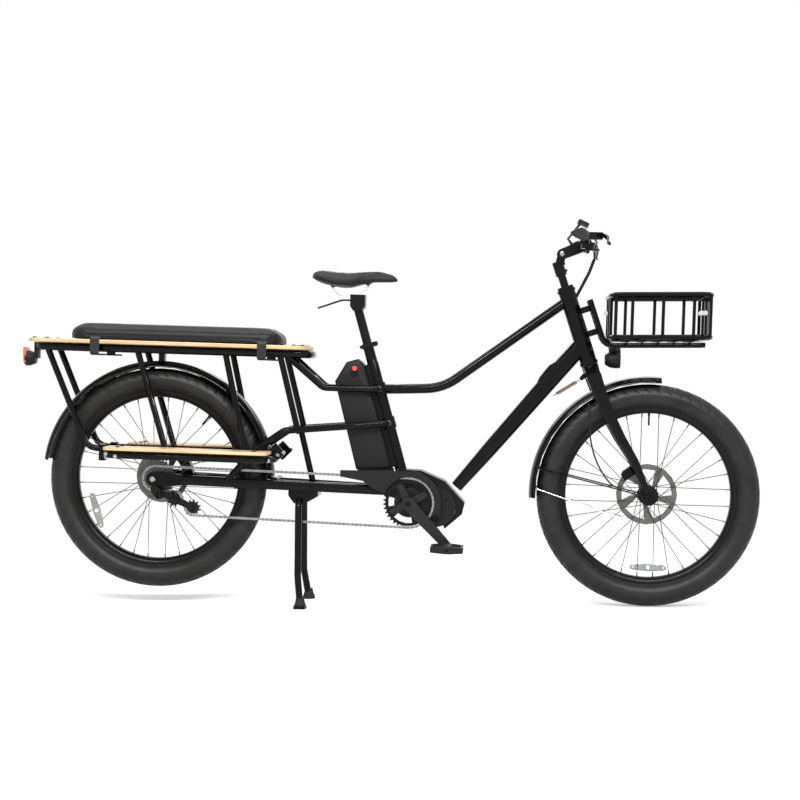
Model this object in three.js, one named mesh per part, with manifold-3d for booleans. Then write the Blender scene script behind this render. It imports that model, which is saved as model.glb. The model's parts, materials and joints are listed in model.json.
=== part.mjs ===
// A longtail cargo bike with a mid motor, standing on its two-legged kickstand
// Millimetres; x runs forward, y to the rider's left, z up

import * as THREE from 'three';
import Module from 'manifold-3d';
import { mergeVertices } from 'three/addons/utils/BufferGeometryUtils.js';

// Fits and working values
const SEAT_GAP = 0.3;
const RUN_GAP = 0.4;
const OVERRUN = 12;
const WELD = 1e-4;
const OVAL_FULLNESS_SHARE = 0.72;

// Layout, measured from the rear axle
const WHEEL_BASE = 1455;
const STAND_LIFT = 47.2;
const HEAD_ANGLE_DEGREES = 70.8;
const SEAT_ANGLE_DEGREES = 73.15;
const FORK_RAKE = 49;
const CRANK_AXLE_X = 754.4;
const CRANK_AXLE_DROP = 45;
const CHAIN_LINE = 52;

// Head tube, by distance up the steering axis
const HEAD_TUBE_START = 418;
const HEAD_TUBE_LENGTH = 232;
const HEAD_TUBE_RADIUS = 25;
const HEAD_BORE_RADIUS = 15.5;
const HEADSET_CUP_HEIGHT = 9;
const HEADSET_CUP_STEP = 2.5;

// Top tube
const TOP_TUBE_RADIUS = 14.5;
const TOP_TUBE_BELOW_HEAD_TOP = 32;
const TOP_TUBE_BEND_X = 841;
const TOP_TUBE_BEND_Z = 294.5;
const TOP_TUBE_BEND_RADIUS = 160;

// Down tube
const DOWN_TUBE_FOOT_X = 892;
const DOWN_TUBE_FOOT_Z = 4;
const DOWN_TUBE_ABOVE_HEAD_START = 66;
const DOWN_TUBE_FOOT_DEPTH = 36;
const DOWN_TUBE_HEAD_DEPTH = 53;
const DOWN_TUBE_WIDTH = 44;
const CABLE_PORT_LENGTH = 92;
const CABLE_PORT_WIDTH = 18;
const CABLE_PORT_RISE = 5;

// Seat tube, by distance up from the crank axle
const SEAT_TUBE_RADIUS = 17.4;
const SEAT_TUBE_NECK_RADIUS = 16;
const SEAT_TUBE_START = 96;
const SEAT_TUBE_NECK_START = 425;
const SEAT_TUBE_TOP = 486;
const SEAT_COLLAR_HEIGHT = 14;
const SEAT_COLLAR_WALL = 3.5;
const SEAT_BORE_DEPTH = 300;
const SEATPOST_RADIUS = 13.6;
const UPPER_LUG_UP = 345.5;
const LOWER_LUG_UP = 241.4;
const LUG_WALL = 4;
const LUG_HEIGHT = 34;

// Motor bracket outline, from the crank axle
const BRACKET_REAR = 70;
const BRACKET_REAR_LOW = 18;
const BRACKET_REAR_HIGH = 50;
const BRACKET_CROWN_REAR = 34;
const BRACKET_CROWN_FRONT = 32;
const BRACKET_CROWN_HEIGHT = 97;
const BRACKET_SHOULDER_X = 104;
const BRACKET_SHOULDER_HEIGHT = 66;
const BRACKET_NOSE_X = 164;
const BRACKET_NOSE_HEIGHT = 4;
const BRACKET_CHIN_X = 157;
const BRACKET_CHIN_DROP = 29;
const BRACKET_FOOT_X = 107;
const BRACKET_FOOT_DROP = 74;
const BRACKET_HALF_WIDTH = 36;

// Drive unit
const MOTOR_RADIUS = 59;
const MOTOR_AHEAD = 78.6;
const MOTOR_DROP = 9.8;
const MOTOR_RIGHT_FACE = 43;
const MOTOR_LEFT_FACE = 52;
const GEARCASE_RADIUS = 44;
const GEARCASE_HALF_WIDTH = 40;
const MOTOR_COVER_RIBS = 11;
const MOTOR_COVER_RIB_DEPTH = 2.5;
const MOTOR_COVER_RIB_WIDTH = 4;
const CRANK_SHAFT_RADIUS = 9;

// Chainstays, bridge and stand bracket
const STAY_HEIGHT = 30;
const STAY_WIDTH = 18;
const STAY_REAR_X = 97;
const STAY_REAR_Y = 78.5;
const STAY_FRONT_Y = 26;
const STAY_FRONT_DROP = 12;
const DROPOUT_INNER_Y = 74.5;
const DROPOUT_THICKNESS = 8;
const DROPOUT_RADIUS = 22;
const REAR_AXLE_RADIUS = 6;
const REAR_AXLE_NUT_RADIUS = 9.5;
const REAR_AXLE_NUT_LENGTH = 9;
const HANGER_X = 8;
const HANGER_DROP = 30;
const HANGER_RADIUS = 11;
const BRIDGE_RADIUS = 8;
const STAND_PIVOT_X = 431;
const STAND_PIVOT_DROP = 49.5;
const STAND_BRACKET_REAR = 34;
const STAND_BRACKET_FRONT = 54;
const STAND_BRACKET_HALF_WIDTH = 46;
const STAND_BRACKET_WALL = 7;
const STAND_TUBE_RADIUS = 10.5;
const REAR_CALIPER_LENGTH = 62;
const REAR_CALIPER_DEPTH = 30;
const REAR_CALIPER_WIDTH = 34;
const REAR_CALIPER_ANGLE_DEGREES = 20;

// Kickstand
const STAND_TOP_Y = 70;
const STAND_KINK_Y = 80;
const STAND_KINK_DOWN = 219;
const STAND_KINK_AHEAD = 5.5;
const STAND_FOOT_Y = 112;
const STAND_FOOT_AHEAD = 19;
const STAND_FOOT_LENGTH = 34;
const STAND_FOOT_WIDTH = 28;
const STAND_FOOT_HEIGHT = 10;

// Rack: the rail loop, uprights, side rails and the two pairs of stays
const RAIL_RADIUS = 12.5;
const RAIL_Z = 381.7;
const RAIL_REAR_X = -361;
const RAIL_FRONT_X = 447;
const RAIL_HALF_SPACING = 75;
const RAIL_CORNER = 38;
const RACK_TUBE_RADIUS = 9.5;
const RACK_CROSS_SPACING = 250;
const UPRIGHT_Y = 68;
const REAR_UPRIGHT_TOP_X = -329.3;
const REAR_UPRIGHT_FOOT_X = -203.3;
const REAR_UPRIGHT_BEND = 45;
const MIDDLE_UPRIGHT_TOP_X = -60.1;
const MIDDLE_UPRIGHT_FOOT_X = 31.9;
const THIRD_UPRIGHT_TOP_X = 201.6;
const THIRD_UPRIGHT_FOOT_X = 269.5;
const SIDE_RAIL_Z = 84;
const STAY_TUBE_RADIUS = 10.5;
const FRONT_UPRIGHT_TOP_X = 364.9;
const FRONT_UPRIGHT_FOOT_X = 424;
const LOWER_STAY_OUT_Y = 80;
const LOWER_STAY_BEND_X = 384;
const LOWER_STAY_BEND_Z = 156;
const LOWER_STAY_KNEE_X = 297;
const LOWER_STAY_KNEE_Z = 94;
const LOWER_STAY_FOOT_X = 213;
const LUG_HALF_WIDTH = 54;
const LUG_BEND_RADIUS = 24;
const UPPER_STAY_TOP_X = 378;
const UPPER_STAY_BEND_X = 492;
const CENTRE_TUBE_TOP_X = 424;
const CENTRE_TUBE_FOOT_X = 463;

// Running boards and their rails
const FOOTRAIL_RADIUS = 11;
const FOOTRAIL_Y = 190;
const FOOTRAIL_REAR_X = -118;
const FOOTRAIL_FRONT_X = 332;
const FOOTRAIL_BEND_RADIUS = 34;
const FOOT_PLATE_X = -155;
const FOOT_PLATE_LENGTH = 18;
const FOOT_PLATE_HEIGHT = 48;
const FRONT_PLATE_X = 360;
const FRONT_PLATE_SIDE = 42;
const FRONT_PLATE_THICKNESS = 6;
const BOARD_THICKNESS = 12;
const FOOTBOARD_REAR_X = -126;
const FOOTBOARD_FRONT_X = 353;
const FOOTBOARD_INNER_Y = 100;
const FOOTBOARD_OUTER_Y = 214;
const FOOTBOARD_CORNER = 18;

// Deck, seat pad and tail light
const DECK_REAR_X = -402;
const DECK_FRONT_X = 449;
const DECK_HALF_WIDTH = 105;
const DECK_CORNER = 40;
const PAD_REAR_X = -259;
const PAD_FRONT_X = 377;
const PAD_HALF_WIDTH = 100;
const PAD_THICKNESS = 42;
const PAD_CORNER = 55;
const PAD_SIDE_DRAW = 3;
const PAD_STRAP_REAR_X = -181;
const PAD_STRAP_FRONT_X = 313;
const PAD_STRAP_WIDTH = 27;
const PAD_STRAP_THICKNESS = 2.2;
const PAD_STRAP_DROP = 34;
const TAIL_LIGHT_RADIUS = 23;
const TAIL_LIGHT_LENGTH = 36;
const TAIL_LIGHT_REAR_X = -419;
const TAIL_LIGHT_Z = 344.5;
const TAIL_LIGHT_LENS_STEP = 3;
const TAIL_LIGHT_BRACKET_WIDTH = 26;

// Fenders
const FENDER_HALF_WIDTH = 42;
const FENDER_CROWN = 18;
const FENDER_WALL = 2.5;
const REAR_FENDER_TAIL_DEGREES = 172.5;
const REAR_FENDER_FRONT_DEGREES = 2.7;
const FENDER_TAB_WIDTH = 24;
const FENDER_TAB_LENGTH = 18;

// Chain guard, from the crank axle
const GUARD_OUTER_RADIUS = 96;
const GUARD_INNER_RADIUS = 76;
const GUARD_FRONT_DEGREES = -19;
const GUARD_FOOT_DEGREES = -29;
const GUARD_CROWN_DEGREES = 79;
const GUARD_REAR_DEGREES = 160;
const GUARD_TAIL_X = 204;
const GUARD_TAIL_HIGH = 90;
const GUARD_TAIL_LOW = 71;
const GUARD_STEP_X = 136;
const GUARD_STEP_HIGH = 60;
const GUARD_STEP_LOW_X = 115;
const GUARD_STEP_LOW = 43;
const GUARD_Y = 59.6;
const GUARD_THICKNESS = 2.4;
const GUARD_BOSS_RADIUS = 3.5;
const GUARD_BOSS_UP = 86.5;
const GUARD_BOSS_AHEAD = 11.6;
const GUARD_FRONT_BOSS_DEGREES = 12;

// Battery, by distance behind and up the seat tube
const BATTERY_RAIL_WIDTH = 30;
const BATTERY_RAIL_THICKNESS = 7.8;
const BATTERY_START = 112;
const BATTERY_DEPTH = 101;
const BATTERY_REAR_START = 134;
const BATTERY_SHOULDER = 402;
const BATTERY_CREST_REAR = 46;
const BATTERY_CREST_FRONT = 12;
const BATTERY_TOP = 448;
const BATTERY_FRONT_TOP = 431;
const BATTERY_HALF_WIDTH = 40;
const BATTERY_EDGE = 7;
const BATTERY_BUTTON_BACK = 27;
const BATTERY_BUTTON_BELOW_TOP = 24.4;
const BATTERY_BUTTON_RADIUS = 7;
const BATTERY_BUTTON_HEIGHT = 3;
const BATTERY_BUTTON_DEPTH = 6;
const BATTERY_PORT_BACK = 33;
const BATTERY_PORT_BELOW_TOP = 41;
const BATTERY_PORT_RADIUS = 10;
const BATTERY_PORT_DEPTH = 3;

// Seatpost, clamp and saddle
const SEATPOST_END = 306;
const SEATPOST_TOP = 600;
const SEATPOST_HEAD_LENGTH = 44;
const SEATPOST_HEAD_HEIGHT = 34;
const SEATPOST_HEAD_HALF_WIDTH = 28;
const SEATPOST_HEAD_AHEAD = 2;
const CLAMP_EAR_WIDTH = 22;
const CLAMP_EAR_REACH = 13;
const CLAMP_PIN_RADIUS = 2.6;
const CLAMP_CAM_RADIUS = 6.5;
const CLAMP_LEVER_LENGTH = 48;
const CLAMP_LEVER_HEIGHT = 9;
const CLAMP_LEVER_THICKNESS = 4;
const SADDLE_REAR_X = 443;
const SADDLE_LENGTH = 260;
const SADDLE_HALF_WIDTH = 92;
const SADDLE_LOW_Z = 574;
const SADDLE_HEIGHT = 60;
const SADDLE_RAIL_RADIUS = 3.5;
const SADDLE_RAIL_Y = 22;
const SADDLE_RAIL_DROP = 14.5;
const SADDLE_RAIL_REAR_RUN = 32;
const SADDLE_RAIL_FRONT_RUN = 38;
const SADDLE_RAIL_REAR_X = 523;
const SADDLE_RAIL_FRONT_X = 583;
const POST_LEVER_RADIUS = 3;
const POST_LEVER_Y = -8;
const POST_LEVER_REACH = 72;
const POST_LEVER_DROP = 26;

// Wheels
const TYRE_RADIUS = 327.5;
const TYRE_WIDTH = 76;
const TYRE_DEPTH = 68;
const WHEEL_FACETS = 32;
const RIM_WIDTH = 42;
const RIM_DEPTH = 18.5;
const SPOKES = 32;
const SPOKE_RADIUS = 1.1;
const SPOKE_LEAN_DEGREES = 60;
const HUB_FLANGE_RADIUS = 29;
const HUB_FLANGE_WIDTH = 5;
const HUB_BARREL_RADIUS = 15;
const SPOKE_CIRCLE_INSET = 3.5;
const REAR_FLANGE_LEFT_Y = 34;
const REAR_FLANGE_RIGHT_Y = 22;
const FREEHUB_RADIUS = 16.5;
const FRONT_FLANGE_LEFT_Y = 27;
const FRONT_FLANGE_RIGHT_Y = 33;
const FRONT_HUB_HALF_WIDTH = 50;
const FRONT_AXLE_RADIUS = 5.5;
const ROTOR_THICKNESS = 1.8;
const ROTOR_MOUNT_RADIUS = 19;
const ROTOR_COLLAR = 7;
const ROTOR_TRACK = 15;
const ROTOR_ARMS = 5;
const REAR_ROTOR_RADIUS = 80;
const REAR_ROTOR_Y = 56;
const FRONT_ROTOR_RADIUS = 90;
const FRONT_ROTOR_Y = 39;

// Chain drive
const CHAIN_PITCH = 12.7;
const CHAIN_WIDTH = 7;
const CHAIN_INNER_WIDTH = 4.6;
const CHAIN_DEPTH = 8.4;
const CHAIN_WAIST_DEPTH = 6;
const TOOTH_THICKNESS = 2;
const TOOTH_RISE = 2.6;
const TOOTH_ROOT = 3.6;
const CHAINRING_TEETH = 36;
const CHAINRING_RIM_WIDTH = 13;
const CHAINRING_HUB_RADIUS = 26;
const CHAINRING_BOLT_CIRCLE = 52;
const COG_TEETH = [28, 24, 21, 18, 16, 14, 12, 11];
const CHAIN_COG = 3;
const COG_SPACING = 4.8;
const CASSETTE_CORE_RADIUS = 20;
const PULLEY_TEETH = 11;
const PULLEY_THICKNESS = 2;
const PULLEY_BORE_RADIUS = 3.4;
const GUIDE_PULLEY_X = 60.1;
const GUIDE_PULLEY_DROP = 58.4;
const TENSION_PULLEY_X = 114;
const TENSION_PULLEY_DROP = 83;

// Cranks and pedals
const CRANK_LENGTH = 170;
const CRANK_ANGLE_DEGREES = -45.5;
const CRANK_INNER_Y = 70;
const CRANK_THICKNESS = 14;
const CRANK_BOSS_RADIUS = 19;
const CRANK_EYE_RADIUS = 13;
const SPIDER_ARM_WIDTH = 17;
const SPIDER_THICKNESS = 5;
const SPIDER_TURN_DEGREES = 28.8;
const PEDAL_SPINDLE_RADIUS = 4.5;
const PEDAL_LENGTH = 94;
const PEDAL_WIDTH = 98;
const PEDAL_THICKNESS = 22;
const PEDAL_WALL = 13;
const PEDAL_GAP = 5;

// Rear derailleur
const DERAILLEUR_KNUCKLE_RADIUS = 12;
const DERAILLEUR_KNUCKLE_WIDTH = 16;
const DERAILLEUR_LINK_WIDTH = 13;
const DERAILLEUR_LINK_HEIGHT = 17;
const DERAILLEUR_LINK_START_X = 21;
const DERAILLEUR_LINK_START_DROP = 45;
const DERAILLEUR_LINK_END_X = 54;
const DERAILLEUR_LINK_END_DROP = 47;
const DERAILLEUR_PIN_RADIUS = 2.6;
const DERAILLEUR_CAGE_WALL = 2;
const DERAILLEUR_CAGE_CLEARANCE = 1.6;
const DERAILLEUR_CAGE_HALF_HEIGHT = 10;
const DERAILLEUR_P_KNUCKLE_WIDTH = 13;

// Fork, by distance ahead of and up the steering axis
const FORK_CROWN_START = 380;
const FORK_CROWN_HEIGHT = 34;
const FORK_CROWN_DEPTH = 40;
const FORK_BLADE_Y = 60;
const FORK_TIP_WIDTH = 18;
const FORK_BLADE_DEPTH = 46;
const FORK_TIP_DEPTH = 20;
const FORK_BLADE_WIDTH = 23;
const FORK_DROPOUT_THICKNESS = 6;
const FORK_DROPOUT_RADIUS = 14;
const STEERER_RADIUS = 14.3;
const FRONT_FENDER_FRONT_DEGREES = 85.6;
const FRONT_FENDER_TAIL_DEGREES = 183;
const FENDER_STAY_DEGREES = 167.8;
const FENDER_STAY_RADIUS = 2;
const FRONT_CALIPER_LENGTH = 56;
const FRONT_CALIPER_DEPTH = 28;
const FRONT_CALIPER_WIDTH = 30;
const FRONT_CALIPER_DEGREES = 128;

// Steering spring
const FORK_LUG_AHEAD = -34;
const FORK_LUG_UP = 386;
const SPRING_EYE_SHARE = 0.68;
const SPRING_LUG_DROP = 36;
const SPRING_COIL_RADIUS = 6.6;
const SPRING_WIRE_RADIUS = 1.2;
const SPRING_CURLS = 9;
const SPRING_LEAD = 16;
const SPRING_LUG_RADIUS = 6;
const SPRING_LUG_WIDTH = 5;

// Stem riser and tilting stem arm
const RISER_CAP_RADIUS = 24;
const RISER_CAP_HEIGHT = 8;
const RISER_RADIUS = 12;
const RISER_COLLAR_RADIUS = 16.5;
const RISER_COLLAR_START = 692;
const RISER_COLLAR_END = 735;
const STEM_PIVOT_AHEAD = 19.9;
const STEM_PIVOT_UP = 752.2;
const STEM_EYE_RADIUS = 15.5;
const STEM_LUG_WIDTH = 18;
const STEM_LUG_RADIUS = 12.5;
const STEM_CHEEK_WIDTH = 7;
const STEM_PIN_RADIUS = 4;
const STEM_ARM_LENGTH = 72.7;
const STEM_ARM_RISE = 4.2;
const BAR_CLAMP_WIDTH = 44;
const BAR_CLAMP_RADIUS = 15.9;
const BAR_CLAMP_WALL = 5;
const BAR_RADIUS = 11.1;
const BAR_BULGE_WIDTH = 60;
const BAR_BEND_Y = 52;
const BAR_RISE_Y = 118;
const BAR_RISE = 17;
const BAR_GRIP_Y = 215;
const BAR_HALF_WIDTH = 343;
const BAR_BACK = 28;
const BAR_END_RISE = 7;
const BAR_BEND_RADIUS = 60;
const GRIP_RADIUS = 16.5;
const GRIP_WING = 15;
const GRIP_END = 3;
const GRIP_INSET = 3;

// Brake levers, shifter and display, by distance along the bar
const LEVER_CLAMP_Y = 196;
const LEVER_CLAMP_WIDTH = 15;
const LEVER_CLAMP_RADIUS = 16;
const LEVER_BODY_AHEAD = 42;
const LEVER_BODY_WIDTH = 34;
const LEVER_BODY_DEPTH = 24;
const LEVER_BODY_HEIGHT = 20;
const LEVER_PIN_RADIUS = 3;
const LEVER_BLADE_LENGTH = 122;
const LEVER_BLADE_HEIGHT = 12;
const LEVER_BLADE_THICKNESS = 7;
const LEVER_BLADE_DROP = 30;
const LEVER_EYE_RADIUS = 7;
const LEVER_PIN_Y = 190;
const LEVER_MOUTH_Y = 230;
const SHIFTER_Y = 168;
const SHIFTER_WIDTH = 26;
const SHIFTER_RADIUS = 20;
const SHIFTER_HEIGHT = 13;
const SHIFTER_DROP = 30;
const SHIFTER_AHEAD = 8;
const SHIFT_LEVER_LENGTH = 34;
const SHIFT_LEVER_WIDTH = 9;
const SHIFT_LEVER_HEIGHT = 4.5;
const SHIFT_LEVER_EYE = 8;
const DISPLAY_LENGTH = 34;
const DISPLAY_WIDTH = 52;
const DISPLAY_THICKNESS = 12;
const DISPLAY_RISE = 34;
const DISPLAY_AHEAD = 22;
const DISPLAY_TILT_DEGREES = 24;
const DISPLAY_BRACKET_RADIUS = 4;
const DISPLAY_STALK_RADIUS = 2.6;

// Cable bundle in front of the head tube
const BUNDLE_RADIUS = 5;
const HOSE_RADIUS = 2.5;
const HOSE_SHARE = 0.62;
const BUNDLE_DROP = 40;
const BUNDLE_AHEAD = 28;

// Front carrier, basket and headlamp
const CARRIER_RADIUS = 8;
const CARRIER_HALF_SPACING = 34;
const CARRIER_AHEAD = 57;
const CARRIER_TOP = 599;
const CARRIER_BEND_X = 1313;
const CARRIER_Z = 436.5;
const CARRIER_REACH = 290;
const CARRIER_BEND_RADIUS = 34;
const CARRIER_UPPER_BRACKET = 576;
const CARRIER_LOWER_BRACKET = 505;
const CARRIER_BRACKET_HEIGHT = 18;
const CARRIER_CROSS_SPACING = 112;
const BASKET_REAR_X = 1325;
const BASKET_LENGTH = 282;
const BASKET_HALF_WIDTH = 148;
const BASKET_HEIGHT = 140;
const BASKET_TUBE_RADIUS = 8;
const BASKET_POST_RADIUS = 6.5;
const BASKET_CORNER = 26;
const BASKET_FLOOR_RADIUS = 4;
const BASKET_FLOOR_BARS = 5;
const BASKET_POST_SHARES = [0.034, 0.2, 0.51, 0.82, 0.986];
const HEADLAMP_RADIUS = 26;
const HEADLAMP_LENGTH = 44;
const HEADLAMP_X = 1338;
const HEADLAMP_Z = 395;
const HEADLAMP_LENS_INSET = 3;
const HEADLAMP_BRACKET_WIDTH = 18;

// The fender follows the tyre at a set clearance
const FENDER_CLEARANCE = 21.5;
const FENDER_RADIUS = TYRE_RADIUS + FENDER_CLEARANCE;
const FENDER_STEP_DEGREES = 11;

// Fork blade and brake lever sections, as shares of these lengths
const FORK_BLADE_AHEAD = 47;
const FORK_BLADE_TOP = 385;
const LEVER_BLADE_AHEAD = 23;
const FORK_BLADE_SHARES = [
  [0, 1], [0.031915, 0.841558], [0.16383, 0.677922], [0.425532, 0.485714], [0.808511, 0.290909], [1,
    0.031169],
];
const LEVER_SECTION_SHARES = [
  [0, 0, 0, 1], [0.22, 0.608696, 0, 1], [0.5, 0.913043, -0.35, 0.9], [0.85, 0.826087, -0.85, 0.8], [1, 1,
    -1, 0.7],
];

// Counts
const SPIDER_ARMS = 4;
const SPIDER_STEP_DEGREES = 360 / SPIDER_ARMS;
const SHAFT_SIDES = 16;
const CARRIER_CROSSES = 3;

// Shares that shape single pieces: each is a part of the size that it stands beside
const DOWN_TUBE_RING_SHARES = [0, 0.25, 0.55, 1];
const CABLE_PORT_START_SHARE = 1.7;
const CABLE_PORT_HEIGHT_SHARES = [-0.5, 0.7, 1, 1, -0.5];
const MOTOR_RIB_SHARE = 0.82;
const STAY_CORNER_SHARE = 0.45;
const REAR_CALIPER_TOP_SHARE = 0.8;
const REAR_CALIPER_ARM_SHARE = 0.55;
const PAD_LEVEL_SHARES = [0, 0.12, 0.5, 0.8, 0.95, 1];
const PAD_DRAW_SHARES = [2, 0.6, 0, 0.8, 3, 7];
const TAIL_LIGHT_BACK_SHARE = 0.7;
const SEATPOST_FOOT_SHARE = 0.6;
const SEATPOST_FOOT_DEPTH_SHARE = 0.4;
const POST_LEVER_TIP_SHARE = 1.5;
const SADDLE_SECTION_SHARES = [
  [0, 0.33, 0.63, 0.48], [0.035, 0.67, 0.88, 0.38], [0.12, 0.92, 0.95, 0.27], [0.3, 1, 0.87, 0.07],
  [0.45, 0.78, 0.86, 0.05], [0.6, 0.43, 0.93, 0.3], [0.76, 0.26, 0.975, 0.42], [0.93, 0.22, 0.87, 0.43],
  [0.985, 0.15, 0.7, 0.47], [1, 0.07, 0.62, 0.52],
];
const SADDLE_SIDE_SHARE = 0.8;
const SADDLE_CROWN_SHARE = 0.6;
const SADDLE_SKIRT_SHARE = 0.25;
const TYRE_SECTION_SHARES = [[0.5, 0], [1, 0.45], [0.85, 0.8], [0.25, 1]];
const NIPPLE_SHARE = 0.75;
const SPOKE_OFFSET_SHARE = 0.8;
const ROTOR_ARM_SHARE = 0.3;
const CHAINRING_WINDOW_SHARE = 0.62;
const SPINDLE_SHARE = 0.9;
const SPIDER_ROOT_SHARE = 0.8;
const PEDAL_EDGE_SHARE = 0.7;
const PEDAL_CREST_SHARE = 0.2;
const PEDAL_WINDOW_SHARE = 0.75;
const DERAILLEUR_BODY_SHARE = 0.8;
const DERAILLEUR_KNUCKLE_SHARE = 0.75;
const DERAILLEUR_CAGE_SHARE = 0.8;
const FRONT_CALIPER_CORNER_SHARE = 0.6;
const SPRING_LUG_ROOT_SHARE = 1.5;
const RISER_BOLT_SHARES = [0.25, 0.75];
const STEM_BRIDGE_SHARE = 0.8;
const PERCH_NOSE_SHARE = 1.3;
const PERCH_MOUTH_SHARE = 1.2;
const GRIP_SECTION_SHARES = [[0, 0], [0.03, 0.05], [0.35, 0.25], [0.62, 0.95], [0.93, 1], [1, 0.8]];
const GRIP_END_SHARE = 0.9;
const GRIP_FLAT_SHARE = 0.35;
const DISPLAY_EDGE_SHARE = 0.4;
const DISPLAY_FACE_SHARE = 0.85;
const CARRIER_CROSS_SHARE = 0.8;
const CARRIER_FIRST_CROSS_SHARE = 0.2;
const BASKET_END_POST_SHARE = 0.55;
const BASKET_RUNNER_SHARE = 1.4;
const HEADLAMP_BACK_SHARE = 0.55;
const HEADLAMP_WAIST_SHARE = 0.9;
const HEADLAMP_WAIST_PLACE_SHARE = 0.4;
const HEADLAMP_RIM_PLACE_SHARE = 0.3;
const HEADLAMP_LENS_SHARE = 0.85;

const wasm = await Module();
wasm.setup();

const RIGHT = -1;
const LEFT = 1;
const SIDES = [RIGHT, LEFT];
const sideName = (side) => (side === RIGHT ? 'right' : 'left');

// Plain vector helpers in the bike's side plane: x forward, z up, y to the left
const at = (x, z, y = 0) => new THREE.Vector3(x, y, z);
const polar = (centre, radius, angle, y = 0) =>
  at(centre.x + radius * Math.cos(angle), centre.z + radius * Math.sin(angle), y);
const shifted = (point, x, z, y = 0) => at(point.x + x, point.z + z, point.y + y);
const between = (a, b, share) => a.clone().lerp(b, share);
const inPlane = (point, y) => at(point.x, point.z, y);
const degrees = (value) => THREE.MathUtils.degToRad(value);
const range = (count) => Array.from({ length: count }, (_, index) => index);

// A route that keeps its own points, so that a swept section has a ring at each of them
class Route extends THREE.Curve {
  constructor(points) {
    super();
    this.points = points;
  }

  getPoint(share) {
    const spans = this.points.length - 1;
    const place = Math.min(Math.max(share, 0), 1) * spans;
    const index = Math.min(Math.floor(place + WELD), spans - 1);
    return between(this.points[index], this.points[index + 1], place - index);
  }

  getPointAt(share) {
    return this.getPoint(share);
  }

  getTangentAt(share) {
    const last = this.points.length - 1;
    const index = Math.round(share * last);
    const before = this.points[index].clone().sub(this.points[Math.max(index - 1, 0)]).normalize();
    const after = this.points[Math.min(index + 1, last)].clone().sub(this.points[index]).normalize();
    return before.add(after).normalize();
  }
}

// Replaces each inner corner by an arc of the given radius
function rounded(points, radius, steps) {
  const route = [points[0]];
  for (let index = 1; index < points.length - 1; index += 1) {
    const corner = points[index];
    const back = points[index - 1].clone().sub(corner);
    const ahead = points[index + 1].clone().sub(corner);
    const turn = Math.PI - back.angleTo(ahead);
    if (turn < WELD) {
      route.push(corner);
      continue;
    }
    const reach = Math.min(radius * Math.tan(turn / 2), back.length() / 2, ahead.length() / 2);
    back.normalize();
    ahead.normalize();
    const bend = reach / Math.tan(turn / 2);
    const toCentre = back.clone().add(ahead).normalize();
    const centre = corner.clone().addScaledVector(toCentre, bend / Math.cos(turn / 2));
    const from = corner.clone().addScaledVector(back, reach).sub(centre);
    const to = corner.clone().addScaledVector(ahead, reach).sub(centre);
    const axis = from.clone().cross(to).normalize();
    for (const step of range(steps + 1)) {
      route.push(from.clone().applyAxisAngle(axis, (turn * step) / steps).add(centre));
    }
  }
  route.push(points[points.length - 1]);
  return route;
}

// Closed solids keep positions only, with shared corners and no empty triangles
function cleaned(geometry) {
  const bare = geometry.index ? geometry.toNonIndexed() : geometry.clone();
  for (const name of Object.keys(bare.attributes)) {
    if (name !== 'position') bare.deleteAttribute(name);
  }
  const welded = mergeVertices(bare, WELD);
  const corners = welded.index.array;
  const kept = [];
  for (let index = 0; index < corners.length; index += 3) {
    const [a, b, c] = [corners[index], corners[index + 1], corners[index + 2]];
    if (a !== b && b !== c && c !== a) kept.push(a, b, c);
  }
  welded.setIndex(kept);
  return welded;
}

function toSolid(geometry) {
  const welded = cleaned(geometry);
  return new wasm.Manifold(new wasm.Mesh({
    numProp: 3,
    vertProperties: new Float32Array(welded.attributes.position.array),
    triVerts: new Uint32Array(welded.index.array),
  }));
}

function toGeometry(solid) {
  const mesh = solid.getMesh();
  const geometry = new THREE.BufferGeometry();
  geometry.setAttribute('position', new THREE.BufferAttribute(new Float32Array(mesh.vertProperties), 3));
  geometry.setIndex(new THREE.BufferAttribute(new Uint32Array(mesh.triVerts), 1));
  return cleaned(geometry);
}

const join = (...pieces) => toGeometry(pieces.flat().map(toSolid).reduce((whole, piece) => whole.add(piece)));
const cut = (piece, ...tools) =>
  toGeometry(tools.flat().map(toSolid).reduce((whole, tool) => whole.subtract(tool), toSolid(piece)));
// The main body of a piece, without the slivers that a cut leaves past a joint
const largest = (piece) =>
  toGeometry(toSolid(piece).decompose().reduce((most,
    body) => (body.volume() > most.volume() ? body : most)));

// Sections and outlines
const ngon = (radius, sides, turn = 0) =>
  new THREE.Shape(range(sides).map((index) => {
    const angle = turn + (2 * Math.PI * (index + 0.5)) / sides;
    return new THREE.Vector2(radius * Math.cos(angle), radius * Math.sin(angle));
  }));
const outline = (points) => new THREE.Shape(points.map((point) => new THREE.Vector2(point.x, point.z)));

// A tube with a ring of sides at each point of its route
function tube(points, radius, sides) {
  const settings = { steps: points.length - 1, bevelEnabled: false, extrudePath: new Route(points) };
  return cleaned(new THREE.ExtrudeGeometry(ngon(radius, sides), settings));
}

// A plate with an outline in the side plane, from one y to another
function plate(shape, from, to, segments = 12) {
  const settings = { depth: to - from, bevelEnabled: false, curveSegments: segments };
  return cleaned(new THREE.ExtrudeGeometry(shape, settings).rotateX(Math.PI / 2).translate(0, to, 0));
}

// A board with a plan outline in x and y, from one height to another
function board(shape, low, high, segments = 8) {
  const settings = { depth: high - low, bevelEnabled: false, curveSegments: segments };
  return cleaned(new THREE.ExtrudeGeometry(shape, settings).translate(0, 0, low));
}

// A turned piece about the y axis, from radius and y pairs
const turned = (profile, segments) =>
  cleaned(new THREE.LatheGeometry(profile.map(([radius, y]) => new THREE.Vector2(radius, y)), segments));
// The same about the z axis
const turnedUp = (profile, segments) => turned(profile, segments).rotateX(Math.PI / 2);
const discProfile = (radius, low, high) => [[0, low], [radius, low], [radius, high], [0, high]];

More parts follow.
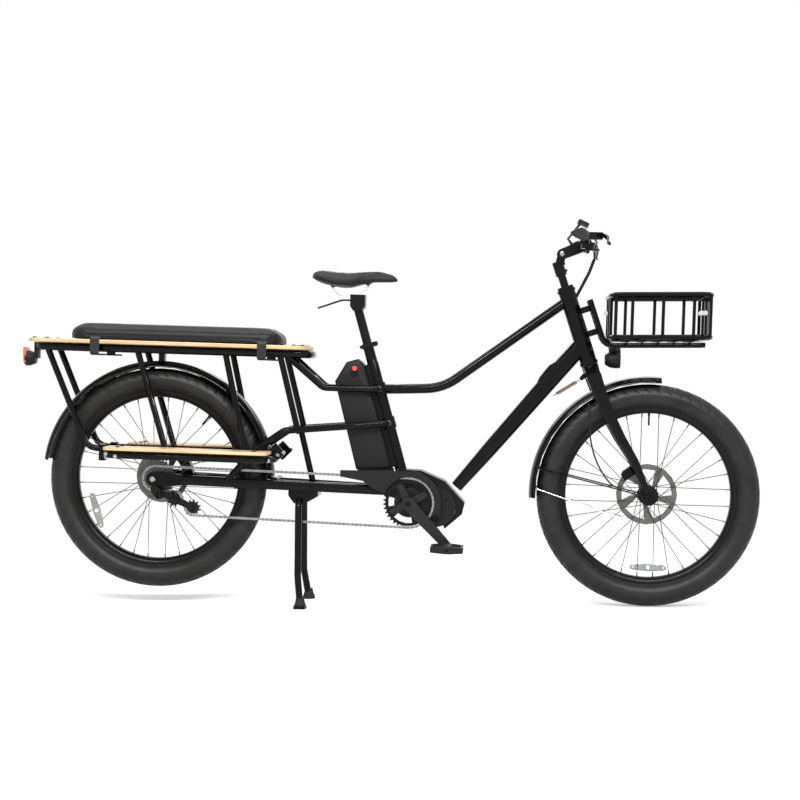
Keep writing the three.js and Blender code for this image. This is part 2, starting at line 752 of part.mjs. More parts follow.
// A skin over rings of equal counts, closed by flat ends or back onto its first ring
function loft(rings, closed = false) {
  const count = rings[0].length;
  const positions = rings.flat().flatMap((point) => [point.x, point.y, point.z]);
  const faces = [];
  const spans = closed ? rings.length : rings.length - 1;
  for (const ring of range(spans)) {
    const next = (ring + 1) % rings.length;
    for (const side of range(count)) {
      const along = (side + 1) % count;
      const [a, b] = [ring * count + side, ring * count + along];
      const [c, d] = [next * count + side, next * count + along];
      faces.push(a, b, d, a, d, c);
    }
  }
  if (!closed) {
    const last = (rings.length - 1) * count;
    for (const side of range(count - 2)) {
      faces.push(0, side + 2, side + 1);
      faces.push(last, last + side + 1, last + side + 2);
    }
  }
  const geometry = new THREE.BufferGeometry();
  geometry.setAttribute('position', new THREE.Float32BufferAttribute(positions, 3));
  geometry.setIndex(faces);
  return facingOut(cleaned(geometry));
}

function facingOut(geometry) {
  const place = geometry.attributes.position;
  const corners = geometry.index.array;
  let volume = 0;
  for (let index = 0; index < corners.length; index += 3) {
    const [a, b, c] = [0, 1, 2].map((step) => new THREE.Vector3().fromBufferAttribute(place,
      corners[index + step]));
    volume += a.dot(b.cross(c));
  }
  if (volume < 0) {
    for (let index = 0; index < corners.length; index += 3) {
      [corners[index], corners[index + 1]] = [corners[index + 1], corners[index]];
    }
  }
  return geometry;
}

// A rounded section across a route: half width sideways, half depth in the side plane
function ovalRing(centre, along, halfWidth, halfDepth, sides, fullness = OVAL_FULLNESS_SHARE) {
  const across = new THREE.Vector3(0, 1, 0);
  const normal = along.clone().cross(across).normalize();
  return range(sides).map((index) => {
    const angle = (2 * Math.PI * (index + 0.5)) / sides;
    const [c, s] = [Math.cos(angle), Math.sin(angle)];
    const bulge = (value) => Math.sign(value) * Math.abs(value) ** fullness;
    return centre.clone().addScaledVector(across, halfWidth * bulge(c))
      .addScaledVector(normal, halfDepth * bulge(s));
  });
}
const box = (low, high) =>
  cleaned(new THREE.BoxGeometry(high.x - low.x, high.y - low.y, high.z - low.z)
    .translate((low.x + high.x) / 2, (low.y + high.y) / 2, (low.z + high.z) / 2));

// Turns a solid about a lateral axis through a point; positive lifts the front
const moved = (geometry, point) => geometry.translate(point.x, point.y, point.z);

function material(colour, roughness, metalness) {
  return new THREE.MeshStandardMaterial({ color: colour, roughness, metalness });
}
const glossPaint = () => material(0x0b0b0c, 0.22, 0.3);
const satinBlack = () => material(0x161617, 0.5, 0.2);
const matteBlack = () => material(0x1b1b1c, 0.75, 0);
const blackRubber = () => material(0x1c1c1c, 0.85, 0);
const plywood = () => material(0xcf9f5b, 0.55, 0);
const brightMetal = () => material(0xb9bbbd, 0.3, 0.9);
const blackVinyl = () => material(0x1a1a1b, 0.6, 0);
const redPlastic = () => material(0xd8361c, 0.4, 0);

function add(parent, name, geometry, finish) {
  const mesh = new THREE.Mesh(geometry, finish);
  mesh.name = name;
  parent.add(mesh);
  return mesh;
}

// Reference points and the two leaning axes
const REAR_AXLE = at(0, 0);
const FRONT_AXLE = at(WHEEL_BASE, 0);
const CRANK_AXLE = at(CRANK_AXLE_X, -CRANK_AXLE_DROP);
const PITCH = Math.asin(STAND_LIFT / WHEEL_BASE);
const HEAD_LEAN = degrees(90 - HEAD_ANGLE_DEGREES);
const SEAT_LEAN = degrees(90 - SEAT_ANGLE_DEGREES);

// A point given by its distance ahead of a leaning axis and its distance up that axis
const onAxis = (origin, lean) => (ahead, up, y = 0) =>
  shifted(origin, ahead * Math.cos(lean) - up * Math.sin(lean),
    ahead * Math.sin(lean) + up * Math.cos(lean), y);
const STEER_ORIGIN = onAxis(FRONT_AXLE, HEAD_LEAN)(-FORK_RAKE, 0);
const onHead = onAxis(STEER_ORIGIN, HEAD_LEAN);
const onSeat = onAxis(CRANK_AXLE, SEAT_LEAN);
const leanedOnHead = (geometry) => moved(geometry.rotateY(-HEAD_LEAN), STEER_ORIGIN);
const leanedOnSeat = (geometry) => moved(geometry.rotateY(-SEAT_LEAN), CRANK_AXLE);

const ROUND_SIDES = 14;
const MAIN_TUBE_SIDES = 10;
const TUBE_SIDES = 8;
const PIN_SIDES = 8;
// The distance from a tube's axis to its flat top
const flatOf = (radius, sides = TUBE_SIDES) => radius * Math.cos(Math.PI / sides);
const HEAD_TUBE_END = HEAD_TUBE_START + HEAD_TUBE_LENGTH;

const headTubeBlank = (grow = 0) =>
  leanedOnHead(turnedUp(discProfile(HEAD_TUBE_RADIUS + grow, HEAD_TUBE_START - grow, HEAD_TUBE_END + grow),
    ROUND_SIDES));

function headTube() {
  const cup = HEAD_TUBE_RADIUS + HEADSET_CUP_STEP;
  const low = HEAD_TUBE_START + HEADSET_CUP_HEIGHT;
  const high = HEAD_TUBE_END - HEADSET_CUP_HEIGHT;
  const profile = [
    [HEAD_BORE_RADIUS, HEAD_TUBE_START], [cup, HEAD_TUBE_START], [cup, low], [HEAD_TUBE_RADIUS, low],
    [HEAD_TUBE_RADIUS, high], [cup, high], [cup, HEAD_TUBE_END], [HEAD_BORE_RADIUS, HEAD_TUBE_END],
    [HEAD_BORE_RADIUS, HEAD_TUBE_START],
  ];
  return leanedOnHead(turnedUp(profile, ROUND_SIDES));
}

const upperLugCentre = () => onSeat(0, UPPER_LUG_UP);
const lowerLugCentre = () => onSeat(0, LOWER_LUG_UP);
const lugUpright = (up, grow = 0) => turnedUp(
  discProfile(SEAT_TUBE_RADIUS + LUG_WALL + grow, up - LUG_HEIGHT / 2 - grow,
    up + LUG_HEIGHT / 2 + grow), ROUND_SIDES);
const lugBlank = (up, grow = 0) => leanedOnSeat(lugUpright(up, grow));
function topTube() {
  const bend = at(TOP_TUBE_BEND_X, TOP_TUBE_BEND_Z);
  const head = onHead(0, HEAD_TUBE_END - TOP_TUBE_BELOW_HEAD_TOP);
  const route = rounded([upperLugCentre(), bend, head], TOP_TUBE_BEND_RADIUS, 6);
  return cut(tube(route, TOP_TUBE_RADIUS, MAIN_TUBE_SIDES), headTubeBlank(SEAT_GAP), lugBlank(UPPER_LUG_UP,
    SEAT_GAP),
    seatTubeGrown());
}

const downTubeFoot = () => at(DOWN_TUBE_FOOT_X, DOWN_TUBE_FOOT_Z);
const downTubeHead = () => onHead(0, HEAD_TUBE_START + DOWN_TUBE_ABOVE_HEAD_START);
const downTubeDirection = () => downTubeHead().sub(downTubeFoot()).normalize();
const downTubeDepthAt = (share) =>
  THREE.MathUtils.lerp(DOWN_TUBE_FOOT_DEPTH, DOWN_TUBE_HEAD_DEPTH, Math.sqrt(share));

function downTube() {
  const along = downTubeDirection();
  const [foot, head] = [downTubeFoot(), downTubeHead()];
  const rings = DOWN_TUBE_RING_SHARES.map((share) =>
    ovalRing(between(foot, head, share), along, DOWN_TUBE_WIDTH / 2, downTubeDepthAt(share) / 2,
      MAIN_TUBE_SIDES));
  return cut(join(loft(rings), cablePort()), headTubeBlank(SEAT_GAP), motorBracketBlank(SEAT_GAP));
}

// The raised cover over the cable ports, near the top of the down tube
function cablePort() {
  const along = downTubeDirection();
  const up = at(-along.z, along.x);
  const lift = downTubeDepthAt(1) / 2;
  const start = downTubeHead().addScaledVector(along,
    -HEAD_TUBE_RADIUS - CABLE_PORT_START_SHARE * CABLE_PORT_LENGTH);
  const rings = CABLE_PORT_HEIGHT_SHARES.map((share, index) => {
    const centre = start.clone().addScaledVector(along,
      (CABLE_PORT_LENGTH * index) / (CABLE_PORT_HEIGHT_SHARES.length - 1))
      .addScaledVector(up, lift - CABLE_PORT_RISE + share * CABLE_PORT_RISE);
    return ovalRing(centre, along, CABLE_PORT_WIDTH / 2, CABLE_PORT_RISE, TUBE_SIDES);
  });
  return loft(rings);
}

const bracketPoint = (ahead, up) => shifted(CRANK_AXLE, ahead, up);
const bracketOutline = () => [
  bracketPoint(-BRACKET_REAR, BRACKET_REAR_LOW), bracketPoint(-BRACKET_REAR, BRACKET_REAR_HIGH),
  bracketPoint(-BRACKET_CROWN_REAR, BRACKET_CROWN_HEIGHT), bracketPoint(BRACKET_CROWN_FRONT,
    BRACKET_CROWN_HEIGHT - 6 * SEAT_GAP),
  bracketPoint(BRACKET_SHOULDER_X, BRACKET_SHOULDER_HEIGHT), bracketPoint(BRACKET_NOSE_X,
    BRACKET_NOSE_HEIGHT),
  bracketPoint(BRACKET_CHIN_X, -BRACKET_CHIN_DROP), bracketPoint(BRACKET_FOOT_X, -BRACKET_FOOT_DROP),
  bracketPoint(MOTOR_AHEAD, 0), bracketPoint(0, 0),
];

function grownOutline(points, grow) {
  const centre = points.reduce((sum, point) => sum.add(point), at(0, 0)).divideScalar(points.length);
  return points.map((point) => point.clone().addScaledVector(point.clone().sub(centre).normalize(),
    2 * grow));
}

const motorBracketBlank = (grow = 0) =>
  plate(outline(grownOutline(bracketOutline(), grow)), -BRACKET_HALF_WIDTH - grow, BRACKET_HALF_WIDTH + grow);
const motorCentre = () => shifted(CRANK_AXLE, MOTOR_AHEAD, -MOTOR_DROP);
const drum = (centre, radius, from, to, sides) => moved(turned(discProfile(radius, from, to), sides), centre);

const motorBracket = () => cut(motorBracketBlank(), driveUnitBlank(SEAT_GAP));

function driveUnitBlank(grow = 0) {
  const wide = MOTOR_LEFT_FACE + OVERRUN;
  return join(drum(motorCentre(), MOTOR_RADIUS + grow, -wide, wide, 32), drum(CRANK_AXLE,
    GEARCASE_RADIUS + grow, -wide, wide, 28));
}

// The drive unit: a gearcase round the crank shaft and a motor drum ahead of it with a ribbed cover
function driveUnit() {
  const waist = bracketPoint(MOTOR_AHEAD / 2, -MOTOR_DROP / 2);
  const neck = box(shifted(waist, -MOTOR_AHEAD / 2, -GEARCASE_RADIUS / 2, -GEARCASE_HALF_WIDTH),
    shifted(waist, MOTOR_AHEAD / 2, GEARCASE_RADIUS / 2, GEARCASE_HALF_WIDTH));
  const body = join(drum(motorCentre(), MOTOR_RADIUS, -MOTOR_RIGHT_FACE, MOTOR_LEFT_FACE, 32),
    drum(CRANK_AXLE, GEARCASE_RADIUS, -GEARCASE_HALF_WIDTH, GEARCASE_HALF_WIDTH, 28), neck);
  const shaftHole = drum(CRANK_AXLE, CRANK_SHAFT_RADIUS + RUN_GAP, -GEARCASE_HALF_WIDTH - OVERRUN,
    GEARCASE_HALF_WIDTH + OVERRUN, ROUND_SIDES);
  const grooves = range(MOTOR_COVER_RIBS).map((index) => {
    const x = MOTOR_RADIUS * ((2 * (index + 1)) / (MOTOR_COVER_RIBS + 1) - 1);
    const reach = MOTOR_RIB_SHARE * Math.sqrt(MOTOR_RADIUS ** 2 - x ** 2);
    const centre = shifted(motorCentre(), x, 0, -MOTOR_RIGHT_FACE);
    return box(shifted(centre, -MOTOR_COVER_RIB_WIDTH / 2, -reach, -OVERRUN),
      shifted(centre, MOTOR_COVER_RIB_WIDTH / 2, reach, MOTOR_COVER_RIB_DEPTH));
  });
  return cut(body, shaftHole, ...grooves);
}

// The seat tube with its clamp collar and the battery rail down its back
function seatTube() {
  const collar = SEAT_TUBE_NECK_RADIUS + SEAT_COLLAR_WALL;
  const bore = SEATPOST_RADIUS + RUN_GAP;
  const profile = [
    [0, SEAT_TUBE_START - OVERRUN], [SEAT_TUBE_RADIUS, SEAT_TUBE_START - OVERRUN],
    [SEAT_TUBE_RADIUS, SEAT_TUBE_NECK_START], [SEAT_TUBE_NECK_RADIUS,
      SEAT_TUBE_NECK_START + SEAT_COLLAR_WALL],
    [SEAT_TUBE_NECK_RADIUS, SEAT_TUBE_TOP - SEAT_COLLAR_HEIGHT], [collar, SEAT_TUBE_TOP - SEAT_COLLAR_HEIGHT],
    [collar, SEAT_TUBE_TOP], [bore, SEAT_TUBE_TOP], [bore, SEAT_TUBE_TOP - SEAT_BORE_DEPTH],
    [0, SEAT_TUBE_TOP - SEAT_BORE_DEPTH],
  ];
  const body = join(turnedUp(profile, ROUND_SIDES), batteryRail(), clampEars());
  return cut(leanedOnSeat(body), motorBracketBlank(SEAT_GAP));
}

function clampEars() {
  const ear = box(at(SEAT_TUBE_NECK_RADIUS, SEAT_TUBE_TOP - SEAT_COLLAR_HEIGHT, -CLAMP_EAR_WIDTH / 2),
    at(SEAT_TUBE_NECK_RADIUS + CLAMP_EAR_REACH, SEAT_TUBE_TOP, CLAMP_EAR_WIDTH / 2));
  const nut = drum(clampPivot(), 2 * CLAMP_PIN_RADIUS, 0, CLAMP_EAR_WIDTH / 2 + 2 * CLAMP_PIN_RADIUS,
    TUBE_SIDES);
  return join(ear, nut);
}
const clampPivot = () =>
  at(SEAT_TUBE_NECK_RADIUS + CLAMP_EAR_REACH / 2 + CLAMP_PIN_RADIUS, SEAT_TUBE_TOP - SEAT_COLLAR_HEIGHT / 2);

function batteryRail() {
  const body = box(at(-batteryFront() + SEAT_GAP, BATTERY_START, -BATTERY_RAIL_WIDTH / 2),
    at(-SEAT_TUBE_RADIUS / 2, SEAT_TUBE_NECK_START, BATTERY_RAIL_WIDTH / 2));
  const bore = turnedUp(discProfile(SEATPOST_RADIUS + RUN_GAP, SEAT_TUBE_TOP - SEAT_BORE_DEPTH,
    SEAT_TUBE_TOP), ROUND_SIDES);
  return cut(body, bore, lugUpright(UPPER_LUG_UP, SEAT_GAP), lugUpright(LOWER_LUG_UP, SEAT_GAP));
}
const batteryFront = () => SEAT_TUBE_RADIUS + BATTERY_RAIL_THICKNESS;

// Chainstays: two box-section stays, their dropouts, bridge, axle and the bracket of the stand
const stayCentre = (side, x) => {
  const rear = at(STAY_REAR_X, 0, side * STAY_REAR_Y);
  const front = at(CRANK_AXLE_X - BRACKET_REAR + OVERRUN, -STAY_FRONT_DROP, side * STAY_FRONT_Y);
  return between(rear, front, (x - rear.x) / (front.x - rear.x));
};

function stay(side) {
  const [rear, front] = [stayCentre(side, STAY_REAR_X - OVERRUN), stayCentre(side,
    CRANK_AXLE_X - BRACKET_REAR + OVERRUN)];
  const along = front.clone().sub(rear).normalize();
  return loft([rear, front].map((centre) => ovalRing(centre, along, STAY_WIDTH / 2, STAY_HEIGHT / 2,
    TUBE_SIDES, STAY_CORNER_SHARE)));
}

function dropout(side) {
  const [inner, outer] = [DROPOUT_INNER_Y, DROPOUT_INNER_Y + DROPOUT_THICKNESS];
  const [from, to] = side === RIGHT ? [-outer, -inner] : [inner, outer];
  const half = STAY_HEIGHT / 2;
  const web = outline([at(0, -DROPOUT_RADIUS), at(STAY_REAR_X, -half), at(STAY_REAR_X, half), at(0,
    DROPOUT_RADIUS)]);
  const pieces = [drum(REAR_AXLE, DROPOUT_RADIUS, from, to, ROUND_SIDES), plate(web, from, to)];
  if (side === RIGHT) {
    const hanger = at(HANGER_X, -HANGER_DROP);
    const cheeks = outline([shifted(hanger, -HANGER_RADIUS, 0), shifted(hanger, HANGER_RADIUS, 0),
      at(DROPOUT_RADIUS, 0), at(-DROPOUT_RADIUS / 2, 0)]);
    pieces.push(drum(hanger, HANGER_RADIUS, from, to, PIN_SIDES), plate(cheeks, from, to));
  }
  return join(pieces);
}

function chainstays() {
  const bridgeCentre = polar(REAR_AXLE, FENDER_RADIUS + BRIDGE_RADIUS + SEAT_GAP,
    degrees(REAR_FENDER_FRONT_DEGREES / 2));
  const reach = Math.abs(stayCentre(LEFT, bridgeCentre.x).y);
  const bridge = tube([inPlane(bridgeCentre, -reach), inPlane(bridgeCentre, reach)], BRIDGE_RADIUS,
    TUBE_SIDES);
  const nut = DROPOUT_INNER_Y + DROPOUT_THICKNESS + REAR_AXLE_NUT_LENGTH;
  const axle = turned([
    [0, -nut], [REAR_AXLE_NUT_RADIUS, -nut], [REAR_AXLE_NUT_RADIUS, -DROPOUT_INNER_Y - DROPOUT_THICKNESS / 2],
    [REAR_AXLE_RADIUS, -DROPOUT_INNER_Y - DROPOUT_THICKNESS / 2], [REAR_AXLE_RADIUS,
      DROPOUT_INNER_Y + DROPOUT_THICKNESS / 2],
    [REAR_AXLE_NUT_RADIUS, DROPOUT_INNER_Y + DROPOUT_THICKNESS / 2], [REAR_AXLE_NUT_RADIUS, nut], [0, nut],
  ], PIN_SIDES);
  const whole = join([...SIDES.map(stay), ...SIDES.map(dropout), bridge, axle, standBracket(), rearCaliper(),
    centreFoot()]);
  return cut(whole, motorBracketBlank(SEAT_GAP));
}

// A cast bracket between the stays, with a bored sleeve that the stand turns in
function standBracket() {
  const pivot = standPivot();
  const top = stayCentre(LEFT, STAND_PIVOT_X).z;
  const sleeve = STAND_TUBE_RADIUS + STAND_BRACKET_WALL;
  const cheeks = outline([
    at(pivot.x - STAND_BRACKET_REAR, top), at(pivot.x + STAND_BRACKET_FRONT, top),
    at(pivot.x + STAND_BRACKET_FRONT, top - STAY_HEIGHT), at(pivot.x + sleeve, pivot.z - sleeve / 2),
    at(pivot.x, pivot.z - sleeve), at(pivot.x - sleeve, pivot.z - sleeve / 2),
    at(pivot.x - STAND_BRACKET_REAR, top - STAY_HEIGHT),
  ]);
  const body = plate(cheeks, -STAND_BRACKET_HALF_WIDTH, STAND_BRACKET_HALF_WIDTH);
  const hole = drum(pivot, STAND_TUBE_RADIUS + RUN_GAP, -STAND_TOP_Y, STAND_TOP_Y, ROUND_SIDES);
  return cut(body, hole);
}
const standPivot = () => at(STAND_PIVOT_X, -STAND_PIVOT_DROP);

// The rear brake caliper, over the top of the disc on the left stay
function rearCaliper() {
  const angle = degrees(REAR_CALIPER_ANGLE_DEGREES);
  const centre = polar(REAR_AXLE, REAR_ROTOR_RADIUS, angle);
  const middle = REAR_ROTOR_Y;
  const half = REAR_CALIPER_LENGTH / 2;
  const shape = outline([at(-half, -REAR_CALIPER_DEPTH / 2), at(half, -REAR_CALIPER_DEPTH / 2),
    at(REAR_CALIPER_TOP_SHARE * half, REAR_CALIPER_DEPTH / 2), at(-REAR_CALIPER_TOP_SHARE * half,
      REAR_CALIPER_DEPTH / 2)]);
  const body = plate(shape, middle - REAR_CALIPER_WIDTH / 2, middle + REAR_CALIPER_WIDTH / 2);
  const place = moved(body.rotateY(Math.PI / 2 - angle), inPlane(centre, 0));
  const slot = drum(REAR_AXLE, REAR_ROTOR_RADIUS + 2 * RUN_GAP + ROTOR_THICKNESS, middle - ROTOR_THICKNESS,
    middle + ROTOR_THICKNESS, 32);
  const armFoot = stayCentre(LEFT, REAR_CALIPER_ARM_SHARE * REAR_ROTOR_RADIUS + STAY_REAR_X / 2);
  const arm = tube([inPlane(centre, middle + REAR_CALIPER_WIDTH / 2 - ROTOR_THICKNESS), armFoot],
    REAR_CALIPER_DEPTH / 4, TUBE_SIDES);
  return cut(join(place, arm), slot);
}

// The stand: a cross tube in the bracket, two legs splayed at the knee, and flat feet
const groundBelow = (x) => -(TYRE_RADIUS + (WHEEL_BASE - x) * Math.sin(PITCH)) / Math.cos(PITCH);

function kickstand() {
  const pivot = standPivot();
  const footX = pivot.x + STAND_FOOT_AHEAD;
  const ground = groundBelow(footX);
  const leg = (side) => tube(rounded([
    inPlane(pivot, 0), inPlane(pivot, side * STAND_TOP_Y),
    shifted(pivot, STAND_KINK_AHEAD, -STAND_KINK_DOWN, side * STAND_KINK_Y),
    at(footX, ground + STAND_FOOT_HEIGHT / 2, side * STAND_FOOT_Y),
  ], 2 * STAND_TUBE_RADIUS, 2), STAND_TUBE_RADIUS, TUBE_SIDES);
  const foot = (side) => {
    const [length, width] = [STAND_FOOT_LENGTH / 2, STAND_FOOT_WIDTH / 2];
    const pad = box(at(-length, 0, -width), at(length, STAND_FOOT_HEIGHT, width));
    return moved(pad.rotateY(-PITCH), at(footX, ground, side * (STAND_FOOT_Y + STAND_TUBE_RADIUS / 2)));
  };
  const legs = join(leg(RIGHT), leg(LEFT));
  const trimmed = cut(legs, groundCutter());
  return join(trimmed, foot(RIGHT), foot(LEFT));
}

// Everything under the floor line, as a cutter
function groundCutter() {
  const slab = box(at(-WHEEL_BASE, -TYRE_RADIUS, -TYRE_RADIUS), at(WHEEL_BASE, 0, TYRE_RADIUS));
  return moved(slab.rotateY(-PITCH), at(0, groundBelow(0)));
}

// A closed tube round a level loop of points
function hoop(points, radius, sides) {
  const rings = points.map((point, index) => {
    const before = points[(index + points.length - 1) % points.length];
    const after = points[(index + 1) % points.length];
    const along = after.clone().sub(before).normalize();
    const across = along.clone().cross(new THREE.Vector3(0, 0, 1)).normalize();
    return range(sides).map((side) => {
      const angle = (2 * Math.PI * (side + 0.5)) / sides;
      return point.clone().addScaledVector(across, radius * Math.cos(angle))
        .add(at(0, radius * Math.sin(angle)));
    });
  });
  return loft(rings, true);
}

// The corners of a level rounded rectangle
function roundedRectangle(rear, front, right, left, z, radius, steps) {
  const corners = [
    [at(front - radius, z, left - radius), 0], [at(rear + radius, z, left - radius), 90],
    [at(rear + radius, z, right + radius), 180], [at(front - radius, z, right + radius), 270],
  ];
  return corners.flatMap(([centre, start]) => range(steps + 1).map((step) => {
    const angle = degrees(start + (90 * step) / steps);
    return centre.clone().add(new THREE.Vector3(radius * Math.cos(angle), radius * Math.sin(angle), 0));
  }));
}
const planShape = (points) => new THREE.Shape(points.map((point) => new THREE.Vector2(point.x, point.y)));

const railPoints = () => roundedRectangle(RAIL_REAR_X, RAIL_FRONT_X, -RAIL_HALF_SPACING, RAIL_HALF_SPACING,
  RAIL_Z, RAIL_CORNER, 3);
const uprightTop = () => RAIL_Z - RAIL_RADIUS / 2;
const railBlank = (grow = 0) => hoop(railPoints(), RAIL_RADIUS + grow, TUBE_SIDES);

// The rail loop with its cross tubes under the deck
function rackRail() {
  const crossTubes = [-1, 0, 1].map((index) => {
    const x = index * RACK_CROSS_SPACING;
    return tube([at(x, RAIL_Z, -RAIL_HALF_SPACING), at(x, RAIL_Z, RAIL_HALF_SPACING)], RACK_TUBE_RADIUS,
      TUBE_SIDES);
  });
  return join(railBlank(), ...crossTubes);
}

const lowerStayRoute = (side) => rounded([
  inPlane(lowerLugCentre(), side * SEAT_TUBE_RADIUS),
  inPlane(lowerLugCentre(), side * LUG_HALF_WIDTH),
  at(LOWER_STAY_BEND_X, LOWER_STAY_BEND_Z, side * LOWER_STAY_OUT_Y),
  at(LOWER_STAY_KNEE_X, LOWER_STAY_KNEE_Z, side * LOWER_STAY_OUT_Y),
  inPlane(stayCentre(side, LOWER_STAY_FOOT_X), stayCentre(side, LOWER_STAY_FOOT_X).y),
], LUG_BEND_RADIUS, 2);
const lowerStayTube = (side, grow = 0) => tube(lowerStayRoute(side), STAY_TUBE_RADIUS + grow, TUBE_SIDES);
const stayGrown = (side) => {
  const [rear, front] = [stayCentre(side, STAY_REAR_X - OVERRUN), stayCentre(side, CRANK_AXLE_X)];
  const along = front.clone().sub(rear).normalize();
  return loft([rear, front].map((centre) =>
    ovalRing(centre, along, STAY_WIDTH / 2 + SEAT_GAP, STAY_HEIGHT / 2 + SEAT_GAP, TUBE_SIDES,
      STAY_CORNER_SHARE)));
};

// The lower stays: from a lug on the seat tube past the battery, down to the chainstays,
// with the front uprights standing on them and a cross tube that carries the centre tube
function lowerStays() {
  const uprights = SIDES.map((side) => tube([
    at(FRONT_UPRIGHT_TOP_X, uprightTop(), side * LOWER_STAY_OUT_Y),
    at(FRONT_UPRIGHT_FOOT_X, LOWER_STAY_BEND_Z, side * LOWER_STAY_OUT_Y),
  ], RACK_TUBE_RADIUS, TUBE_SIDES));
  const cross = at(CENTRE_TUBE_TOP_X, LOWER_STAY_BEND_Z);
  const crossTube = tube([inPlane(cross, -LOWER_STAY_OUT_Y), inPlane(cross, LOWER_STAY_OUT_Y)],
    RACK_TUBE_RADIUS, TUBE_SIDES);
  const centreTube = tube([cross, inPlane(centreTubeFoot(), 0)], RACK_TUBE_RADIUS, TUBE_SIDES);
  const whole = join([...SIDES.map((side) => lowerStayTube(side)), ...uprights, crossTube, centreTube,
    lugBlank(LOWER_LUG_UP)]);
  return largest(cut(whole, railBlank(SEAT_GAP), seatTubeGrown(), stayGrown(RIGHT), stayGrown(LEFT),
    footGrown()));
}
const seatTubeGrown = () =>
  leanedOnSeat(turnedUp(discProfile(SEAT_TUBE_RADIUS + SEAT_GAP, 0, SEAT_TUBE_TOP), ROUND_SIDES));
const centreTubeFoot = () => at(CENTRE_TUBE_FOOT_X, stayCentre(LEFT, CENTRE_TUBE_FOOT_X).z + STAY_HEIGHT / 2);

// The bridge between the chainstays that carries the centre tube
function centreFoot(grow = 0) {
  const foot = centreTubeFoot();
  const reach = Math.abs(stayCentre(LEFT, foot.x).y);
  return tube([shifted(foot, 0, -STAY_HEIGHT / 2, -reach), shifted(foot, 0, -STAY_HEIGHT / 2, reach)],
    STAND_TUBE_RADIUS + grow, TUBE_SIDES);
}
const footGrown = () => centreFoot(SEAT_GAP);

// The upper stays: from the rail's front down to a lug on the seat tube
function upperStays() {
  const tubes = SIDES.map((side) => tube([
    ...rounded([
      at(UPPER_STAY_TOP_X, RAIL_Z, side * RAIL_HALF_SPACING),
      at(UPPER_STAY_BEND_X, upperLugCentre().z, side * LUG_HALF_WIDTH),
      inPlane(upperLugCentre(), side * LUG_HALF_WIDTH),
      inPlane(upperLugCentre(), side * SEAT_TUBE_RADIUS),
    ], LUG_BEND_RADIUS, 2),
  ], STAY_TUBE_RADIUS, TUBE_SIDES));
  return cut(join([...tubes, lugBlank(UPPER_LUG_UP)]), seatTubeGrown(), railBlank(SEAT_GAP),
    ...SIDES.map((side) => frontUprightGrown(side)));
}
const frontUprightGrown = (side) => tube([
  at(FRONT_UPRIGHT_TOP_X, uprightTop(), side * LOWER_STAY_OUT_Y),
  at(FRONT_UPRIGHT_FOOT_X, LOWER_STAY_BEND_Z, side * LOWER_STAY_OUT_Y),
], RACK_TUBE_RADIUS + SEAT_GAP, TUBE_SIDES);

// One side of the rack: the bent rear upright and side rail, two more uprights,
// and the footrail held out by its plates
function rackSide(side) {
  const y = side * UPRIGHT_Y;
  const mainTube = tube(rounded([
    at(REAR_UPRIGHT_TOP_X, uprightTop(), y), at(REAR_UPRIGHT_FOOT_X, SIDE_RAIL_Z, y),
    at(LOWER_STAY_KNEE_X, SIDE_RAIL_Z, y),
  ], REAR_UPRIGHT_BEND, 3), RACK_TUBE_RADIUS, TUBE_SIDES);
  const uprights = [
    [MIDDLE_UPRIGHT_TOP_X, MIDDLE_UPRIGHT_FOOT_X], [THIRD_UPRIGHT_TOP_X, THIRD_UPRIGHT_FOOT_X],
  ].map(([top, foot]) => tube([at(top, uprightTop(), y), at(foot, SIDE_RAIL_Z, y)], RACK_TUBE_RADIUS,
    TUBE_SIDES));
  const whole = join([mainTube, ...uprights, footrail(side), rearFootPlate(side), frontFootPlate(side)]);
  return cut(whole, railBlank(SEAT_GAP), lowerStayTube(side, SEAT_GAP));
}

const footrailZ = () => SIDE_RAIL_Z - FOOTRAIL_RADIUS + SEAT_GAP;
function footrail(side) {
  const z = footrailZ();
  const inner = side * (LOWER_STAY_OUT_Y + FRONT_PLATE_THICKNESS);
  return tube(rounded([
    at(FOOT_PLATE_X, z, side * UPRIGHT_Y), at(FOOT_PLATE_X + FOOT_PLATE_LENGTH, z, inner),
    at(FOOTRAIL_REAR_X, z, side * FOOTRAIL_Y), at(FOOTRAIL_FRONT_X, z, side * FOOTRAIL_Y),
    at(FRONT_PLATE_X, z, inner), at(FRONT_PLATE_X, z, side * LOWER_STAY_OUT_Y),
  ], FOOTRAIL_BEND_RADIUS, 2), FOOTRAIL_RADIUS, TUBE_SIDES);
}

function rearFootPlate(side) {
  const [near, far] = [UPRIGHT_Y - RACK_TUBE_RADIUS, LOWER_STAY_OUT_Y + FRONT_PLATE_THICKNESS].sort((a,
    b) => a - b);
  const [from, to] = side === RIGHT ? [-far, -near] : [near, far];
  const half = FOOT_PLATE_LENGTH / 2;
  const middle = footrailZ();
  return box(at(FOOT_PLATE_X - half, middle - FOOT_PLATE_HEIGHT / 2, from),
    at(FOOT_PLATE_X + half, middle + FOOT_PLATE_HEIGHT / 2, to));
}

function frontFootPlate(side) {
  const [near, far] = [LOWER_STAY_OUT_Y - FRONT_PLATE_THICKNESS / 2,
    LOWER_STAY_OUT_Y + FRONT_PLATE_THICKNESS / 2];
  const [from, to] = side === RIGHT ? [-far, -near] : [near, far];
  const half = FRONT_PLATE_SIDE / 2;
  const square = box(at(-half, -half, from), at(half, half, to)).rotateY(Math.PI / 4);
  const low = box(at(-FRONT_PLATE_SIDE, -half / 2, from), at(0, half / 2, to)).rotateY(-Math.PI / 4);
  return moved(join(square, low), at(FRONT_PLATE_X, SIDE_RAIL_Z + FOOTRAIL_RADIUS / 2));
}

